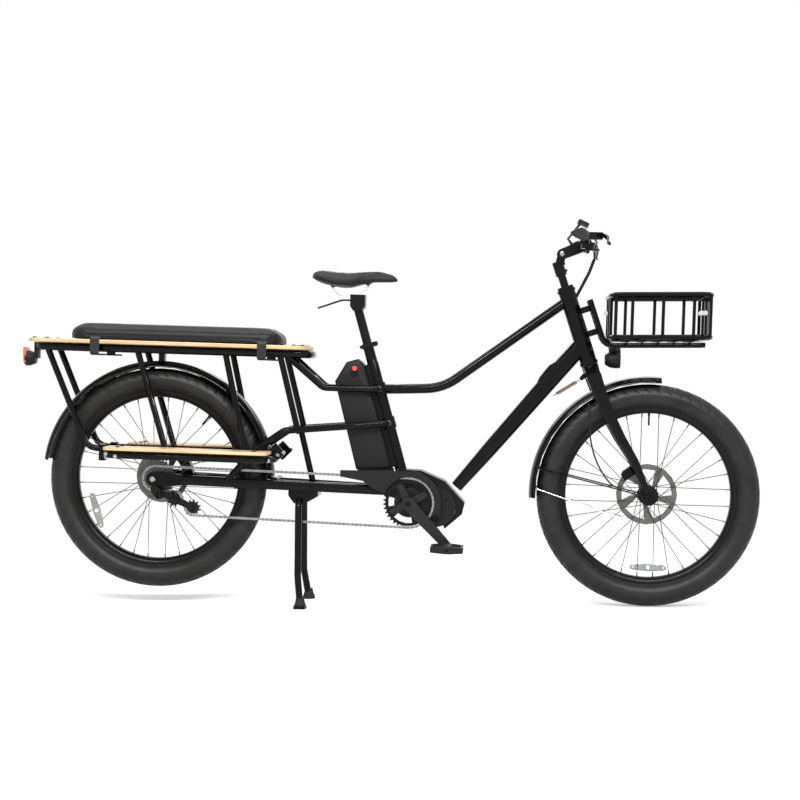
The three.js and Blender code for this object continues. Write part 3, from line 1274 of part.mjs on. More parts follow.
function footboard(side) {
  const [from, to] = side === RIGHT ? [-FOOTBOARD_OUTER_Y, -FOOTBOARD_INNER_Y] : [FOOTBOARD_INNER_Y,
    FOOTBOARD_OUTER_Y];
  const low = footrailZ() + flatOf(FOOTRAIL_RADIUS) + SEAT_GAP;
  const plan = roundedRectangle(FOOTBOARD_REAR_X, FOOTBOARD_FRONT_X, from, to, 0, FOOTBOARD_CORNER, 3);
  return board(planShape(plan), low, low + BOARD_THICKNESS);
}

const deckLow = () => RAIL_Z + flatOf(RAIL_RADIUS) + SEAT_GAP;
function deckBoard() {
  const plan = roundedRectangle(DECK_REAR_X, DECK_FRONT_X, -DECK_HALF_WIDTH, DECK_HALF_WIDTH, 0,
    DECK_CORNER, 4);
  return board(planShape(plan), deckLow(), deckLow() + BOARD_THICKNESS);
}

// The seat pad: a crowned cushion with drawn-in sides and rounded corners, and its straps
function seatPad() {
  const low = deckLow() + BOARD_THICKNESS + SEAT_GAP;
  const levels = PAD_LEVEL_SHARES.map((share, index) => {
    const draw = PAD_SIDE_DRAW * PAD_DRAW_SHARES[index];
    const z = low + PAD_THICKNESS * share;
    return roundedRectangle(PAD_REAR_X + draw, PAD_FRONT_X - draw, draw - PAD_HALF_WIDTH,
      PAD_HALF_WIDTH - draw,
      z, PAD_CORNER - draw / 2, 3);
  });
  const straps = [PAD_STRAP_REAR_X, PAD_STRAP_FRONT_X].flatMap((x) => SIDES.map((side) => padStrap(x, side,
    low)));
  return join(loft(levels), ...straps);
}

function padStrap(x, side, low) {
  const half = PAD_STRAP_WIDTH / 2;
  const inner = DECK_HALF_WIDTH + SEAT_GAP;
  const outer = inner + PAD_STRAP_THICKNESS;
  const reach = PAD_HALF_WIDTH - 2 * PAD_SIDE_DRAW;
  const band = (near, far, from, to) => {
    const [a, b] = side === RIGHT ? [-far, -near] : [near, far];
    return box(at(x - half, from, a), at(x + half, to, b));
  };
  return join(band(inner, outer, low - PAD_STRAP_DROP, low + PAD_THICKNESS / 3),
    band(reach, outer, low, low + PAD_THICKNESS / 3));
}

// The tail light under the deck's rear end, on a bracket that is bolted to the rail
function tailLight() {
  const half = TAIL_LIGHT_LENGTH / 2;
  const lens = TAIL_LIGHT_RADIUS - TAIL_LIGHT_LENS_STEP;
  const profile = [
    [0, -half], [TAIL_LIGHT_RADIUS * TAIL_LIGHT_BACK_SHARE, -half], [TAIL_LIGHT_RADIUS,
      0], [TAIL_LIGHT_RADIUS, half - 2 * TAIL_LIGHT_LENS_STEP],
    [lens, half - 2 * TAIL_LIGHT_LENS_STEP], [lens, half - TAIL_LIGHT_LENS_STEP], [lens / 2, half], [0, half],
  ];
  const lamp = moved(turned(profile, ROUND_SIDES).rotateZ(Math.PI / 2), at(TAIL_LIGHT_REAR_X + half,
    TAIL_LIGHT_Z));
  const seat = RAIL_REAR_X - RAIL_RADIUS - SEAT_GAP;
  const width = TAIL_LIGHT_BRACKET_WIDTH / 2;
  const bracket = box(at(seat - TAIL_LIGHT_BRACKET_WIDTH / 2, TAIL_LIGHT_Z, -width), at(seat,
    deckLow() - SEAT_GAP, width));
  return cut(join(lamp, bracket), railBlank(SEAT_GAP));
}

// A fender: a domed strip swept round the axle between two angles, rear end first
function fender(centre, radius, startDegrees, endDegrees) {
  const arches = 5;
  const skin = (half, depth, crown, order) => range(arches).map((index) => {
    const angle = Math.PI * (index / (arches - 1) - 0.5) * order;
    return new THREE.Vector2(half * Math.sin(angle), depth + crown * (1 - Math.cos(angle)));
  });
  const section = new THREE.Shape([
    ...skin(FENDER_HALF_WIDTH, 0, FENDER_CROWN, 1),
    ...skin(FENDER_HALF_WIDTH - FENDER_WALL, FENDER_WALL, FENDER_CROWN - FENDER_WALL, -1),
  ]);
  const steps = Math.round(Math.abs(startDegrees - endDegrees) / FENDER_STEP_DEGREES);
  const route = range(steps + 1).map((step) =>
    polar(centre, radius, degrees(startDegrees + ((endDegrees - startDegrees) * step) / steps)));
  return cleaned(new THREE.ExtrudeGeometry(section, { steps, bevelEnabled: false,
    extrudePath: new Route(route) }));
}

// The rear fender, with a tab that bolts up to the rack's middle cross tube
function rearFender() {
  const tab = box(at(-FENDER_TAB_LENGTH / 2, FENDER_RADIUS - 2 * FENDER_WALL, -FENDER_TAB_WIDTH / 2),
    at(FENDER_TAB_LENGTH / 2, RAIL_Z, FENDER_TAB_WIDTH / 2));
  const under = box(at(-FENDER_TAB_LENGTH, 0, -FENDER_TAB_WIDTH),
    at(FENDER_TAB_LENGTH, FENDER_RADIUS - FENDER_WALL / 2, FENDER_TAB_WIDTH));
  const crossTube = tube([at(0, RAIL_Z, -RAIL_HALF_SPACING), at(0, RAIL_Z, RAIL_HALF_SPACING)],
    RACK_TUBE_RADIUS + SEAT_GAP, TUBE_SIDES);
  const seated = cut(cut(tab, under), crossTube);
  return join(fender(REAR_AXLE, FENDER_RADIUS, REAR_FENDER_TAIL_DEGREES, REAR_FENDER_FRONT_DEGREES), seated);
}

// The chain guard: a band round the chainring with a tail over the upper run of the chain
function chainGuard() {
  const arc = (radius, from, to, steps) => range(steps + 1).map((step) =>
    polar(CRANK_AXLE, radius, degrees(from + ((to - from) * step) / steps)));
  const shape = outline([
    bracketPoint(-GUARD_TAIL_X, GUARD_TAIL_LOW), bracketPoint(-GUARD_TAIL_X, GUARD_TAIL_HIGH),
    ...arc(GUARD_OUTER_RADIUS, GUARD_CROWN_DEGREES, GUARD_FRONT_DEGREES, 9),
    ...arc(GUARD_INNER_RADIUS, GUARD_FOOT_DEGREES, GUARD_REAR_DEGREES, 12),
    bracketPoint(-GUARD_STEP_LOW_X, GUARD_STEP_LOW), bracketPoint(-GUARD_STEP_X, GUARD_STEP_HIGH),
  ]);
  const sheet = plate(shape, -GUARD_Y - GUARD_THICKNESS, -GUARD_Y);
  const topBoss = drum(bracketPoint(GUARD_BOSS_AHEAD, GUARD_BOSS_UP), GUARD_BOSS_RADIUS,
    -GUARD_Y - GUARD_THICKNESS / 2, -BRACKET_HALF_WIDTH - SEAT_GAP, TUBE_SIDES);
  const bossRing = (GUARD_OUTER_RADIUS + GUARD_INNER_RADIUS) / 2;
  const frontBoss = drum(polar(CRANK_AXLE, bossRing, degrees(GUARD_FRONT_BOSS_DEGREES)), GUARD_BOSS_RADIUS,
    -GUARD_Y - GUARD_THICKNESS / 2, -MOTOR_RIGHT_FACE - SEAT_GAP, TUBE_SIDES);
  return join(sheet, topBoss, frontBoss);
}

// The battery: a wedge-topped case with softened edges and a charging port on its right face
function battery() {
  const front = -batteryFront();
  const rear = front - BATTERY_DEPTH;
  const shape = outline([
    at(front, BATTERY_START), at(front, BATTERY_FRONT_TOP), at(front - BATTERY_CREST_FRONT, BATTERY_TOP),
    at(front - BATTERY_CREST_REAR, BATTERY_TOP), at(rear + BATTERY_EDGE, BATTERY_SHOULDER), at(rear,
      BATTERY_REAR_START),
  ]);
  const settings = {
    depth: 2 * (BATTERY_HALF_WIDTH - BATTERY_EDGE), bevelEnabled: true, bevelThickness: BATTERY_EDGE,
    bevelSize: BATTERY_EDGE, bevelOffset: -BATTERY_EDGE, bevelSegments: 2,
  };
  const body = cleaned(new THREE.ExtrudeGeometry(shape, settings).rotateX(Math.PI / 2)
    .translate(0, BATTERY_HALF_WIDTH - BATTERY_EDGE, 0));
  const well = (point, radius, depth) =>
    drum(point, radius, -BATTERY_HALF_WIDTH - OVERRUN, depth - BATTERY_HALF_WIDTH, ROUND_SIDES);
  const button = well(buttonCentre(), BATTERY_BUTTON_RADIUS + RUN_GAP, BATTERY_BUTTON_DEPTH + RUN_GAP);
  const port = well(at(front - BATTERY_PORT_BACK, BATTERY_TOP - BATTERY_PORT_BELOW_TOP),
    BATTERY_PORT_RADIUS, BATTERY_PORT_DEPTH);
  return leanedOnSeat(cut(body, button, port));
}
const buttonCentre = () => at(-batteryFront() - BATTERY_BUTTON_BACK, BATTERY_TOP - BATTERY_BUTTON_BELOW_TOP);
const batteryButton = () => leanedOnSeat(drum(buttonCentre(), BATTERY_BUTTON_RADIUS,
  -BATTERY_HALF_WIDTH - BATTERY_BUTTON_HEIGHT, BATTERY_BUTTON_DEPTH / 2 - BATTERY_HALF_WIDTH, ROUND_SIDES));

// The seatpost with its clamp head and the small lever under the saddle
function saddleRails(grow = 0) {
  const low = SADDLE_LOW_Z - SADDLE_RAIL_DROP;
  const high = SADDLE_LOW_Z + SADDLE_HEIGHT / 2;
  return SIDES.map((side) => tube(rounded([
    at(SADDLE_RAIL_REAR_X - SADDLE_RAIL_REAR_RUN, high, side * SADDLE_RAIL_Y), at(SADDLE_RAIL_REAR_X, low,
      side * SADDLE_RAIL_Y),
    at(SADDLE_RAIL_FRONT_X, low, side * SADDLE_RAIL_Y),
    at(SADDLE_RAIL_FRONT_X + SADDLE_RAIL_FRONT_RUN, high, side * SADDLE_RAIL_Y),
  ], 4 * SADDLE_RAIL_RADIUS, 2), SADDLE_RAIL_RADIUS + grow, 6));
}

function seatpost() {
  const post = leanedOnSeat(turnedUp(discProfile(SEATPOST_RADIUS, SEATPOST_END, SEATPOST_TOP), ROUND_SIDES));
  const top = shifted(onSeat(0, SEATPOST_TOP), SEATPOST_HEAD_AHEAD, 0);
  const half = SEATPOST_HEAD_LENGTH / 2;
  const head = plate(outline([
    shifted(top, -half * SEATPOST_FOOT_SHARE, -SEATPOST_HEAD_HEIGHT * SEATPOST_FOOT_DEPTH_SHARE),
    shifted(top, half * SEATPOST_FOOT_SHARE, -SEATPOST_HEAD_HEIGHT * SEATPOST_FOOT_DEPTH_SHARE),
    shifted(top, half, 0), shifted(top, half, SEATPOST_HEAD_HEIGHT), shifted(top, -half,
      SEATPOST_HEAD_HEIGHT),
    shifted(top, -half, 0),
  ]), -SEATPOST_HEAD_HALF_WIDTH, SEATPOST_HEAD_HALF_WIDTH);
  const grip = shifted(top, -half / 2, SEATPOST_HEAD_HEIGHT / 2, POST_LEVER_Y);
  const lever = tube(rounded([grip, shifted(grip, -POST_LEVER_REACH / 2, 0),
    shifted(grip, -POST_LEVER_TIP_SHARE * POST_LEVER_REACH,
      -POST_LEVER_DROP)], POST_LEVER_DROP, 2), POST_LEVER_RADIUS, 6);
  return cut(join(post, head, lever), ...saddleRails(SEAT_GAP));
}

// The saddle: a shell lofted from tail to nose through shares of its length, width and height
function saddle() {
  const rings = SADDLE_SECTION_SHARES.map(([along, wide, high, low]) => {
    const x = SADDLE_REAR_X + SADDLE_LENGTH * along;
    const [top, skirt] = [high, low].map((share) => SADDLE_LOW_Z + SADDLE_HEIGHT * share);
    return range(MAIN_TUBE_SIDES).map((index) => {
      const angle = (2 * Math.PI * (index + 0.5)) / MAIN_TUBE_SIDES;
      const [c, s] = [Math.cos(angle), Math.sin(angle)];
      const y = SADDLE_HALF_WIDTH * wide * Math.sign(c) * Math.abs(c) ** SADDLE_SIDE_SHARE;
      const z = s > 0 ? skirt + (top - skirt) * s ** SADDLE_CROWN_SHARE
        : skirt + (top - skirt) * SADDLE_SKIRT_SHARE * Math.abs(s);
      return at(x, z, y);
    });
  });
  return join(loft(rings), ...saddleRails());
}

// The quick-release lever of the seat clamp, lying back along the collar
function clampLever() {
  const pivot = clampLeverPivot();
  const half = CLAMP_LEVER_HEIGHT / 2;
  const cam = moved(turnedUp(discProfile(CLAMP_CAM_RADIUS, -half, half), PIN_SIDES), pivot);
  const blade = box(shifted(pivot, -CLAMP_LEVER_LENGTH, -half, -CLAMP_CAM_RADIUS),
    shifted(pivot, 0, half, CLAMP_LEVER_THICKNESS - CLAMP_CAM_RADIUS));
  return leanedOnSeat(join(cam, blade));
}
const clampLeverPivot = () => shifted(clampPivot(), 0, 0, -CLAMP_EAR_WIDTH / 2 - CLAMP_CAM_RADIUS - SEAT_GAP);

// Turned rings of a wheel, with one facet level on the floor
const HUB_SIDES = 12;
const facetScale = 1 / Math.cos(Math.PI / WHEEL_FACETS);
const wheelRing = (profile) =>
  turned(profile.map(([radius, y]) => [radius * facetScale, y]),
    WHEEL_FACETS).rotateY(Math.PI / WHEEL_FACETS - PITCH);
const rimRadius = () => TYRE_RADIUS - TYRE_DEPTH;

function tyre() {
  const bead = rimRadius() + SEAT_GAP;
  const side = TYRE_SECTION_SHARES.map(([wide, deep]) => [bead + (TYRE_RADIUS - bead) * deep,
    (wide * TYRE_WIDTH) / 2]);
  const profile = [...side.map(([radius, y]) => [radius, -y]), ...side.reverse()];
  return wheelRing([...profile, profile[0]]);
}

function rim() {
  const [outer, half] = [rimRadius(), RIM_WIDTH / 2];
  const inner = outer - RIM_DEPTH;
  const profile = [
    [inner, -half / 2], [outer, -half], [outer, half], [inner, half / 2],
  ];
  return wheelRing([...profile, profile[0]]);
}

// Crossed spokes between the two flanges and the rim
function spokes(leftY, rightY) {
  const hubRadius = HUB_FLANGE_RADIUS - SPOKE_CIRCLE_INSET;
  return range(SPOKES).map((index) => {
    const angle = (360 * (index + 0.5)) / SPOKES;
    const turn = Math.floor(index / 2) % 2 === 0 ? 1 : -1;
    const y = (index % 2 === 0 ? leftY : -rightY) + (turn * HUB_FLANGE_WIDTH) / 4;
    const lean = turn * SPOKE_LEAN_DEGREES;
    const hubEnd = polar(REAR_AXLE, hubRadius, degrees(angle + lean), y);
    const rimEnd = polar(REAR_AXLE, rimRadius() - RIM_DEPTH * NIPPLE_SHARE, degrees(angle),
      (Math.sign(y) + turn * SPOKE_OFFSET_SHARE) * HUB_FLANGE_WIDTH);
    return tube([hubEnd, rimEnd], SPOKE_RADIUS, 3);
  });
}

// A laced wheel: hub with two flanges, spokes and rim; steps are further radius and y pairs
function lacedWheel(hubProfile, leftY, rightY) {
  const flange = (y) => turned([
    [HUB_BARREL_RADIUS / 2, y - HUB_FLANGE_WIDTH / 2], [HUB_FLANGE_RADIUS, y - HUB_FLANGE_WIDTH / 2],
    [HUB_FLANGE_RADIUS, y + HUB_FLANGE_WIDTH / 2], [HUB_BARREL_RADIUS / 2, y + HUB_FLANGE_WIDTH / 2],
    [HUB_BARREL_RADIUS / 2, y - HUB_FLANGE_WIDTH / 2],
  ], HUB_SIDES);
  return join([turned(hubProfile, HUB_SIDES), flange(leftY), flange(-rightY), rim(), ...spokes(leftY,
    rightY)]);
}

// The left end of the hub; the right end, past the flange, turns with the cassette
function rearWheel() {
  const bore = REAR_AXLE_RADIUS + RUN_GAP;
  const end = DROPOUT_INNER_Y - RUN_GAP;
  const face = freehubInner() + RUN_GAP;
  const seat = REAR_ROTOR_Y + ROTOR_THICKNESS / 2;
  return lacedWheel([
    [bore, face], [HUB_BARREL_RADIUS, face], [HUB_BARREL_RADIUS, REAR_FLANGE_LEFT_Y],
    [ROTOR_MOUNT_RADIUS + ROTOR_COLLAR, REAR_FLANGE_LEFT_Y],
    [ROTOR_MOUNT_RADIUS + ROTOR_COLLAR, seat - ROTOR_THICKNESS - SEAT_GAP],
    [ROTOR_MOUNT_RADIUS, seat - ROTOR_THICKNESS - SEAT_GAP], [ROTOR_MOUNT_RADIUS, seat + ROTOR_THICKNESS],
    [HUB_BARREL_RADIUS, seat + ROTOR_THICKNESS], [HUB_BARREL_RADIUS, end], [bore, end], [bore, face],
  ], REAR_FLANGE_LEFT_Y, REAR_FLANGE_RIGHT_Y);
}

function frontWheel() {
  const bore = FRONT_AXLE_RADIUS + RUN_GAP;
  const end = FRONT_HUB_HALF_WIDTH - RUN_GAP;
  const seat = FRONT_ROTOR_Y + ROTOR_THICKNESS / 2;
  return lacedWheel([
    [bore, -end], [HUB_BARREL_RADIUS, -end], [HUB_BARREL_RADIUS, FRONT_FLANGE_LEFT_Y],
    [ROTOR_MOUNT_RADIUS + ROTOR_COLLAR, FRONT_FLANGE_LEFT_Y], [ROTOR_MOUNT_RADIUS + ROTOR_COLLAR,
      seat - ROTOR_THICKNESS - SEAT_GAP],
    [ROTOR_MOUNT_RADIUS, seat - ROTOR_THICKNESS - SEAT_GAP], [ROTOR_MOUNT_RADIUS, seat + ROTOR_THICKNESS],
    [HUB_BARREL_RADIUS, seat + ROTOR_THICKNESS], [HUB_BARREL_RADIUS, end], [bore, end], [bore, -end],
  ], FRONT_FLANGE_LEFT_Y, FRONT_FLANGE_RIGHT_Y);
}

// A brake disc: a track on curved-back arms round a mounting ring
function rotor(radius, y) {
  const [inner, outer] = [ROTOR_MOUNT_RADIUS + SEAT_GAP, radius];
  const shape = new THREE.Shape().absarc(0, 0, outer, 0, 2 * Math.PI);
  const hole = new THREE.Path().absarc(0, 0, inner, 0, 2 * Math.PI, true);
  shape.holes.push(hole);
  const [near, far] = [inner + ROTOR_COLLAR, outer - ROTOR_TRACK];
  for (const index of range(ROTOR_ARMS)) {
    const start = (2 * Math.PI * index) / ROTOR_ARMS;
    const sweep = ((2 * Math.PI) / ROTOR_ARMS) * (1 - ROTOR_ARM_SHARE);
    const window = new THREE.Path([
      ...range(3).map((step) => new THREE.Vector2(far * Math.cos(start + (sweep * step) / 2),
        far * Math.sin(start + (sweep * step) / 2))),
      ...range(2).map((step) => {
        const angle = start - ROTOR_ARM_SHARE + sweep * (1 - step);
        return new THREE.Vector2(near * Math.cos(angle), near * Math.sin(angle));
      }),
    ]);
    shape.holes.push(window);
  }
  return plate(shape, y - ROTOR_THICKNESS / 2, y + ROTOR_THICKNESS / 2, 10);
}

// Chain drive: pitch circles, the belt line round them, and the toothed wheels
const pitchRadius = (teeth) => CHAIN_PITCH / (2 * Math.sin(Math.PI / teeth));

function toothedOutline(teeth, pointsPerTooth) {
  const radius = pitchRadius(teeth);
  const [tip, root] = [radius + TOOTH_RISE, radius - TOOTH_ROOT];
  const toothShares = pointsPerTooth === 4 ? [[0.2, 0], [0.42, 1], [0.58, 1], [0.8, 0]] : [[0, 0], [0.5, 1]];
  return range(teeth).flatMap((tooth) => toothShares.map(([along, high]) => {
    const angle = (2 * Math.PI * (tooth + along)) / teeth;
    const reach = root + (tip - root) * high;
    return at(reach * Math.cos(angle), reach * Math.sin(angle));
  }));
}
const toothedDisc = (teeth, from, to, pointsPerTooth) => plate(outline(toothedOutline(teeth,
  pointsPerTooth)), from, to);

// The pitch circles in the order the chain runs over them; turn is 1 for anticlockwise from the right
const pulleyStations = () => [
  { centre: CRANK_AXLE, radius: pitchRadius(CHAINRING_TEETH), turn: -1 },
  { centre: tensionPulley(), radius: pitchRadius(PULLEY_TEETH), turn: -1 },
  { centre: guidePulley(), radius: pitchRadius(PULLEY_TEETH), turn: 1 },
  { centre: REAR_AXLE, radius: pitchRadius(COG_TEETH[CHAIN_COG]), turn: -1 },
];
const guidePulley = () => at(GUIDE_PULLEY_X, -GUIDE_PULLEY_DROP);
const tensionPulley = () => at(TENSION_PULLEY_X, -TENSION_PULLEY_DROP);

// The chain's centre line as points half a link apart
function chainLine() {
  const stations = pulleyStations();
  const tangents = stations.map((from, index) => {
    const to = stations[(index + 1) % stations.length];
    const gap = to.centre.clone().sub(from.centre);
    const heading = Math.atan2(gap.z, gap.x)
      + Math.asin((from.radius * from.turn - to.radius * to.turn) / gap.length());
    const side = heading - Math.PI / 2;
    return { heading, leave: polar(from.centre, from.radius * from.turn, side), arrive: polar(to.centre,
      to.radius * to.turn, side) };
  });
  const fine = [];
  stations.forEach((station, index) => {
    const before = tangents[(index + stations.length - 1) % stations.length];
    const start = before.arrive.clone().sub(station.centre);
    const from = Math.atan2(start.z, start.x);
    const turned360 = 2 * Math.PI;
    const swing = (((tangents[index].heading - before.heading) * station.turn) % turned360 + turned360) % turned360;
    const steps = Math.ceil(swing / degrees(3));
    for (const step of range(steps)) {
      fine.push(polar(station.centre, station.radius, from + (station.turn * swing * step) / steps));
    }
    fine.push(tangents[index].leave);
  });
  const loop = [...fine, fine[0]];
  const lengths = loop.slice(1).map((point, index) => point.distanceTo(loop[index]));
  const total = lengths.reduce((sum, value) => sum + value);
  const links = 2 * Math.round(total / CHAIN_PITCH / 2);
  const points = [];
  let [span, travelled] = [0, 0];
  for (const index of range(2 * links)) {
    const place = (total * index) / (2 * links);
    while (travelled + lengths[span] < place) {
      travelled += lengths[span];
      span += 1;
    }
    points.push(between(loop[span], loop[span + 1], (place - travelled) / lengths[span]));
  }
  return points;
}

// The roller chain as one closed band: wide and narrow links in turn, deep at each pin and waisted between
function chain(grow = 0) {
  const points = chainLine();
  const rings = points.flatMap((point, index) => {
    const before = points[(index + points.length - 1) % points.length];
    const after = points[(index + 1) % points.length];
    const along = after.clone().sub(before).normalize();
    const normal = at(-along.z, along.x);
    const pin = index % 2 === 0;
    const wideLink = Math.floor(index / 2) % 2 === 0;
    const width = (pin || wideLink ? CHAIN_WIDTH : CHAIN_INNER_WIDTH) / 2 + grow;
    const depth = (pin ? CHAIN_DEPTH : CHAIN_WAIST_DEPTH) / 2 + grow;
    return [[[1, 1], [-1, 1], [-1, -1], [1, -1]].map(([wide, deep]) =>
      inPlane(point.clone().addScaledVector(normal, deep * depth), wide * width - CHAIN_LINE))];
  });
  return loft(rings, true);
}

// A plain band that the chain fills, for seating the teeth under it
function chainBand() {
  const points = chainLine().filter((_, index) => index % 2 === 0);
  const half = CHAIN_WIDTH / 2 + SEAT_GAP;
  const rings = points.map((point, index) => {
    const before = points[(index + points.length - 1) % points.length];
    const after = points[(index + 1) % points.length];
    const along = after.clone().sub(before).normalize();
    const normal = at(-along.z, along.x);
    const depth = CHAIN_DEPTH / 2 + 2 * SEAT_GAP;
    return [[1, 1], [-1, 1], [-1, -1], [1, -1]].map(([wide, deep]) =>
      inPlane(point.clone().addScaledVector(normal, deep * depth), wide * half - CHAIN_LINE));
  });
  return loft(rings, true);
}

function chainring() {
  const [from, to] = [-CHAIN_LINE - TOOTH_THICKNESS / 2, TOOTH_THICKNESS / 2 - CHAIN_LINE];
  const root = pitchRadius(CHAINRING_TEETH) - CHAINRING_RIM_WIDTH;
  const shape = outline(toothedOutline(CHAINRING_TEETH, 4));
  shape.holes.push(new THREE.Path().absarc(0, 0, CHAINRING_HUB_RADIUS, 0, 2 * Math.PI, true));
  for (const index of range(SPIDER_ARMS)) {
    const middle = degrees(SPIDER_TURN_DEGREES + SPIDER_STEP_DEGREES * (index + 0.5));
    const half = (Math.PI / SPIDER_ARMS) * CHAINRING_WINDOW_SHARE;
    const [near, far] = [CHAINRING_HUB_RADIUS + 3 * TOOTH_THICKNESS, root];
    shape.holes.push(new THREE.Path([
      ...range(4).map((step) => [far, middle - half + (2 * half * step) / 3]),
      ...range(3).map((step) => [near, middle + half - (2 * half * step) / 2]),
    ].map(([radius, angle]) => new THREE.Vector2(radius * Math.cos(angle), radius * Math.sin(angle)))));
  }
  return cut(moved(plate(shape, from, to, 10), CRANK_AXLE), chainBand());
}

const cogY = (index) => -CHAIN_LINE - (index - CHAIN_COG) * COG_SPACING;
const freehubInner = () => -REAR_FLANGE_RIGHT_Y - HUB_FLANGE_WIDTH / 2 - RUN_GAP;

// The cogs on the freehub, which runs on the axle beside the wheel's right flange
function cassette() {
  const cogs = COG_TEETH.map((teeth, index) =>
    toothedDisc(teeth, cogY(index) - TOOTH_THICKNESS / 2, cogY(index) + TOOTH_THICKNESS / 2, 2));
  const [inner, outer] = [cogY(0) + TOOTH_THICKNESS / 2, cogY(COG_TEETH.length - 1) - TOOTH_THICKNESS / 2];
  const coreRadius = Math.min(CASSETTE_CORE_RADIUS,
    pitchRadius(COG_TEETH[COG_TEETH.length - 1]) - TOOTH_ROOT);
  const core = drum(REAR_AXLE, coreRadius, outer, inner, HUB_SIDES);
  const ends = [RUN_GAP - DROPOUT_INNER_Y, freehubInner()];
  const freehub = drum(REAR_AXLE, FREEHUB_RADIUS, ...ends, HUB_SIDES);
  const bore = drum(REAR_AXLE, REAR_AXLE_RADIUS + RUN_GAP, ends[0] - OVERRUN, ends[1] + OVERRUN, HUB_SIDES);
  return cut(join([core, freehub, ...cogs]), bore, chainBand());
}

function pulley(centre) {
  const [from, to] = [-CHAIN_LINE - PULLEY_THICKNESS / 2, PULLEY_THICKNESS / 2 - CHAIN_LINE];
  const disc = moved(toothedDisc(PULLEY_TEETH, from, to, 4), centre);
  const hole = drum(centre, PULLEY_BORE_RADIUS + RUN_GAP, from - OVERRUN, to + OVERRUN, 10);
  return cut(disc, hole, chainBand());
}

// The outline round two circles, in the side plane
function twoCircles(first, firstRadius, second, secondRadius, steps) {
  const gap = second.clone().sub(first);
  const heading = Math.atan2(gap.z, gap.x);
  const flare = Math.acos((firstRadius - secondRadius) / gap.length());
  const arc = (centre, radius, from, to) => range(steps + 1).map((step) =>
    polar(centre, radius, heading + from + ((to - from) * step) / steps));
  return outline([...arc(first, firstRadius, flare, 2 * Math.PI - flare), ...arc(second, secondRadius,
    -flare, flare)]);
}

const crankAngle = (side) => degrees(CRANK_ANGLE_DEGREES + (side === RIGHT ? 0 : 180));
const pedalAxle = (side) => polar(CRANK_AXLE, CRANK_LENGTH, crankAngle(side));
const spanOn = (side, near, far) => (side === RIGHT ? [-far, -near] : [near, far]);

// A crank arm with its pedal spindle; the right one has the spider and the shaft
function crank(side) {
  const eye = pedalAxle(side);
  const [near, far] = [CRANK_INNER_Y, CRANK_INNER_Y + CRANK_THICKNESS];
  const arm = plate(twoCircles(CRANK_AXLE, CRANK_BOSS_RADIUS, eye, CRANK_EYE_RADIUS, 5), ...spanOn(side,
    near, far));
  const spindle = drum(eye, PEDAL_SPINDLE_RADIUS, ...spanOn(side, near + CRANK_THICKNESS / 2,
    far + PEDAL_GAP + PEDAL_WIDTH * SPINDLE_SHARE), MAIN_TUBE_SIDES);
  if (side === LEFT) {
    const socket = drum(CRANK_AXLE, CRANK_SHAFT_RADIUS + SEAT_GAP, near - OVERRUN,
      near + CRANK_THICKNESS / 2, SHAFT_SIDES);
    return cut(join(arm, spindle), socket);
  }
  const face = CHAIN_LINE + TOOTH_THICKNESS / 2 + SEAT_GAP;
  const shaft = drum(CRANK_AXLE, CRANK_SHAFT_RADIUS, -near - CRANK_THICKNESS / 2,
    near + CRANK_THICKNESS / 2 - SEAT_GAP, SHAFT_SIDES);
  const boss = drum(CRANK_AXLE, CRANK_BOSS_RADIUS, -near - CRANK_THICKNESS / 2, -face, 2 * MAIN_TUBE_SIDES);
  const arms = range(SPIDER_ARMS).map((index) => {
    const end = polar(CRANK_AXLE, CHAINRING_BOLT_CIRCLE,
      degrees(SPIDER_TURN_DEGREES + SPIDER_STEP_DEGREES * index));
    return plate(twoCircles(CRANK_AXLE, SPIDER_ARM_WIDTH * SPIDER_ROOT_SHARE, end, SPIDER_ARM_WIDTH / 2,
      4), -face - SPIDER_THICKNESS, -face);
  });
  return join([arm, spindle, shaft, boss, ...arms]);
}

// A platform pedal: a frame with two windows round its spindle tube
function pedal(side) {
  const centre = pedalAxle(side);
  const near = CRANK_INNER_Y + CRANK_THICKNESS + PEDAL_GAP;
  const [from, to] = spanOn(side, near, near + PEDAL_WIDTH);
  const [half, high] = [PEDAL_LENGTH / 2, PEDAL_THICKNESS / 2];
  const shape = outline([
    shifted(centre, -half, -high * PEDAL_EDGE_SHARE), shifted(centre, -half * PEDAL_CREST_SHARE,
      -high), shifted(centre, half * PEDAL_CREST_SHARE, -high),
    shifted(centre, half, -high * PEDAL_EDGE_SHARE), shifted(centre, half,
      high * PEDAL_EDGE_SHARE), shifted(centre, half * PEDAL_CREST_SHARE, high),
    shifted(centre, -half * PEDAL_CREST_SHARE, high), shifted(centre, -half, high * PEDAL_EDGE_SHARE),
  ]);
  const hole = drum(centre, PEDAL_SPINDLE_RADIUS + RUN_GAP, from - OVERRUN, to + OVERRUN, MAIN_TUBE_SIDES);
  const windows = [-1, 1].map((end) => {
    const middle = end * (half / 2 + PEDAL_WALL / 4);
    const reach = half / 2 - PEDAL_WALL * PEDAL_WINDOW_SHARE;
    return box(shifted(centre, middle - reach, -PEDAL_THICKNESS, from + PEDAL_WALL),
      shifted(centre, middle + reach, PEDAL_THICKNESS, to - PEDAL_WALL));
  });
  return cut(plate(shape, from, to), hole, ...windows);
}

// Rear derailleur: a knuckle on the hanger, a leaning link, an outer knuckle and the pulley cage
const hangerPoint = () => at(HANGER_X, -HANGER_DROP);
const linkStart = () => at(DERAILLEUR_LINK_START_X, -DERAILLEUR_LINK_START_DROP);
const linkEnd = () => at(DERAILLEUR_LINK_END_X, -DERAILLEUR_LINK_END_DROP);
const cageOuterY = () => CHAIN_LINE + CHAIN_WIDTH / 2 + DERAILLEUR_CAGE_CLEARANCE;
const knuckleInnerY = () => cageOuterY() + DERAILLEUR_CAGE_WALL + SEAT_GAP;
const bodyInnerY = () => DROPOUT_INNER_Y + DROPOUT_THICKNESS + SEAT_GAP;

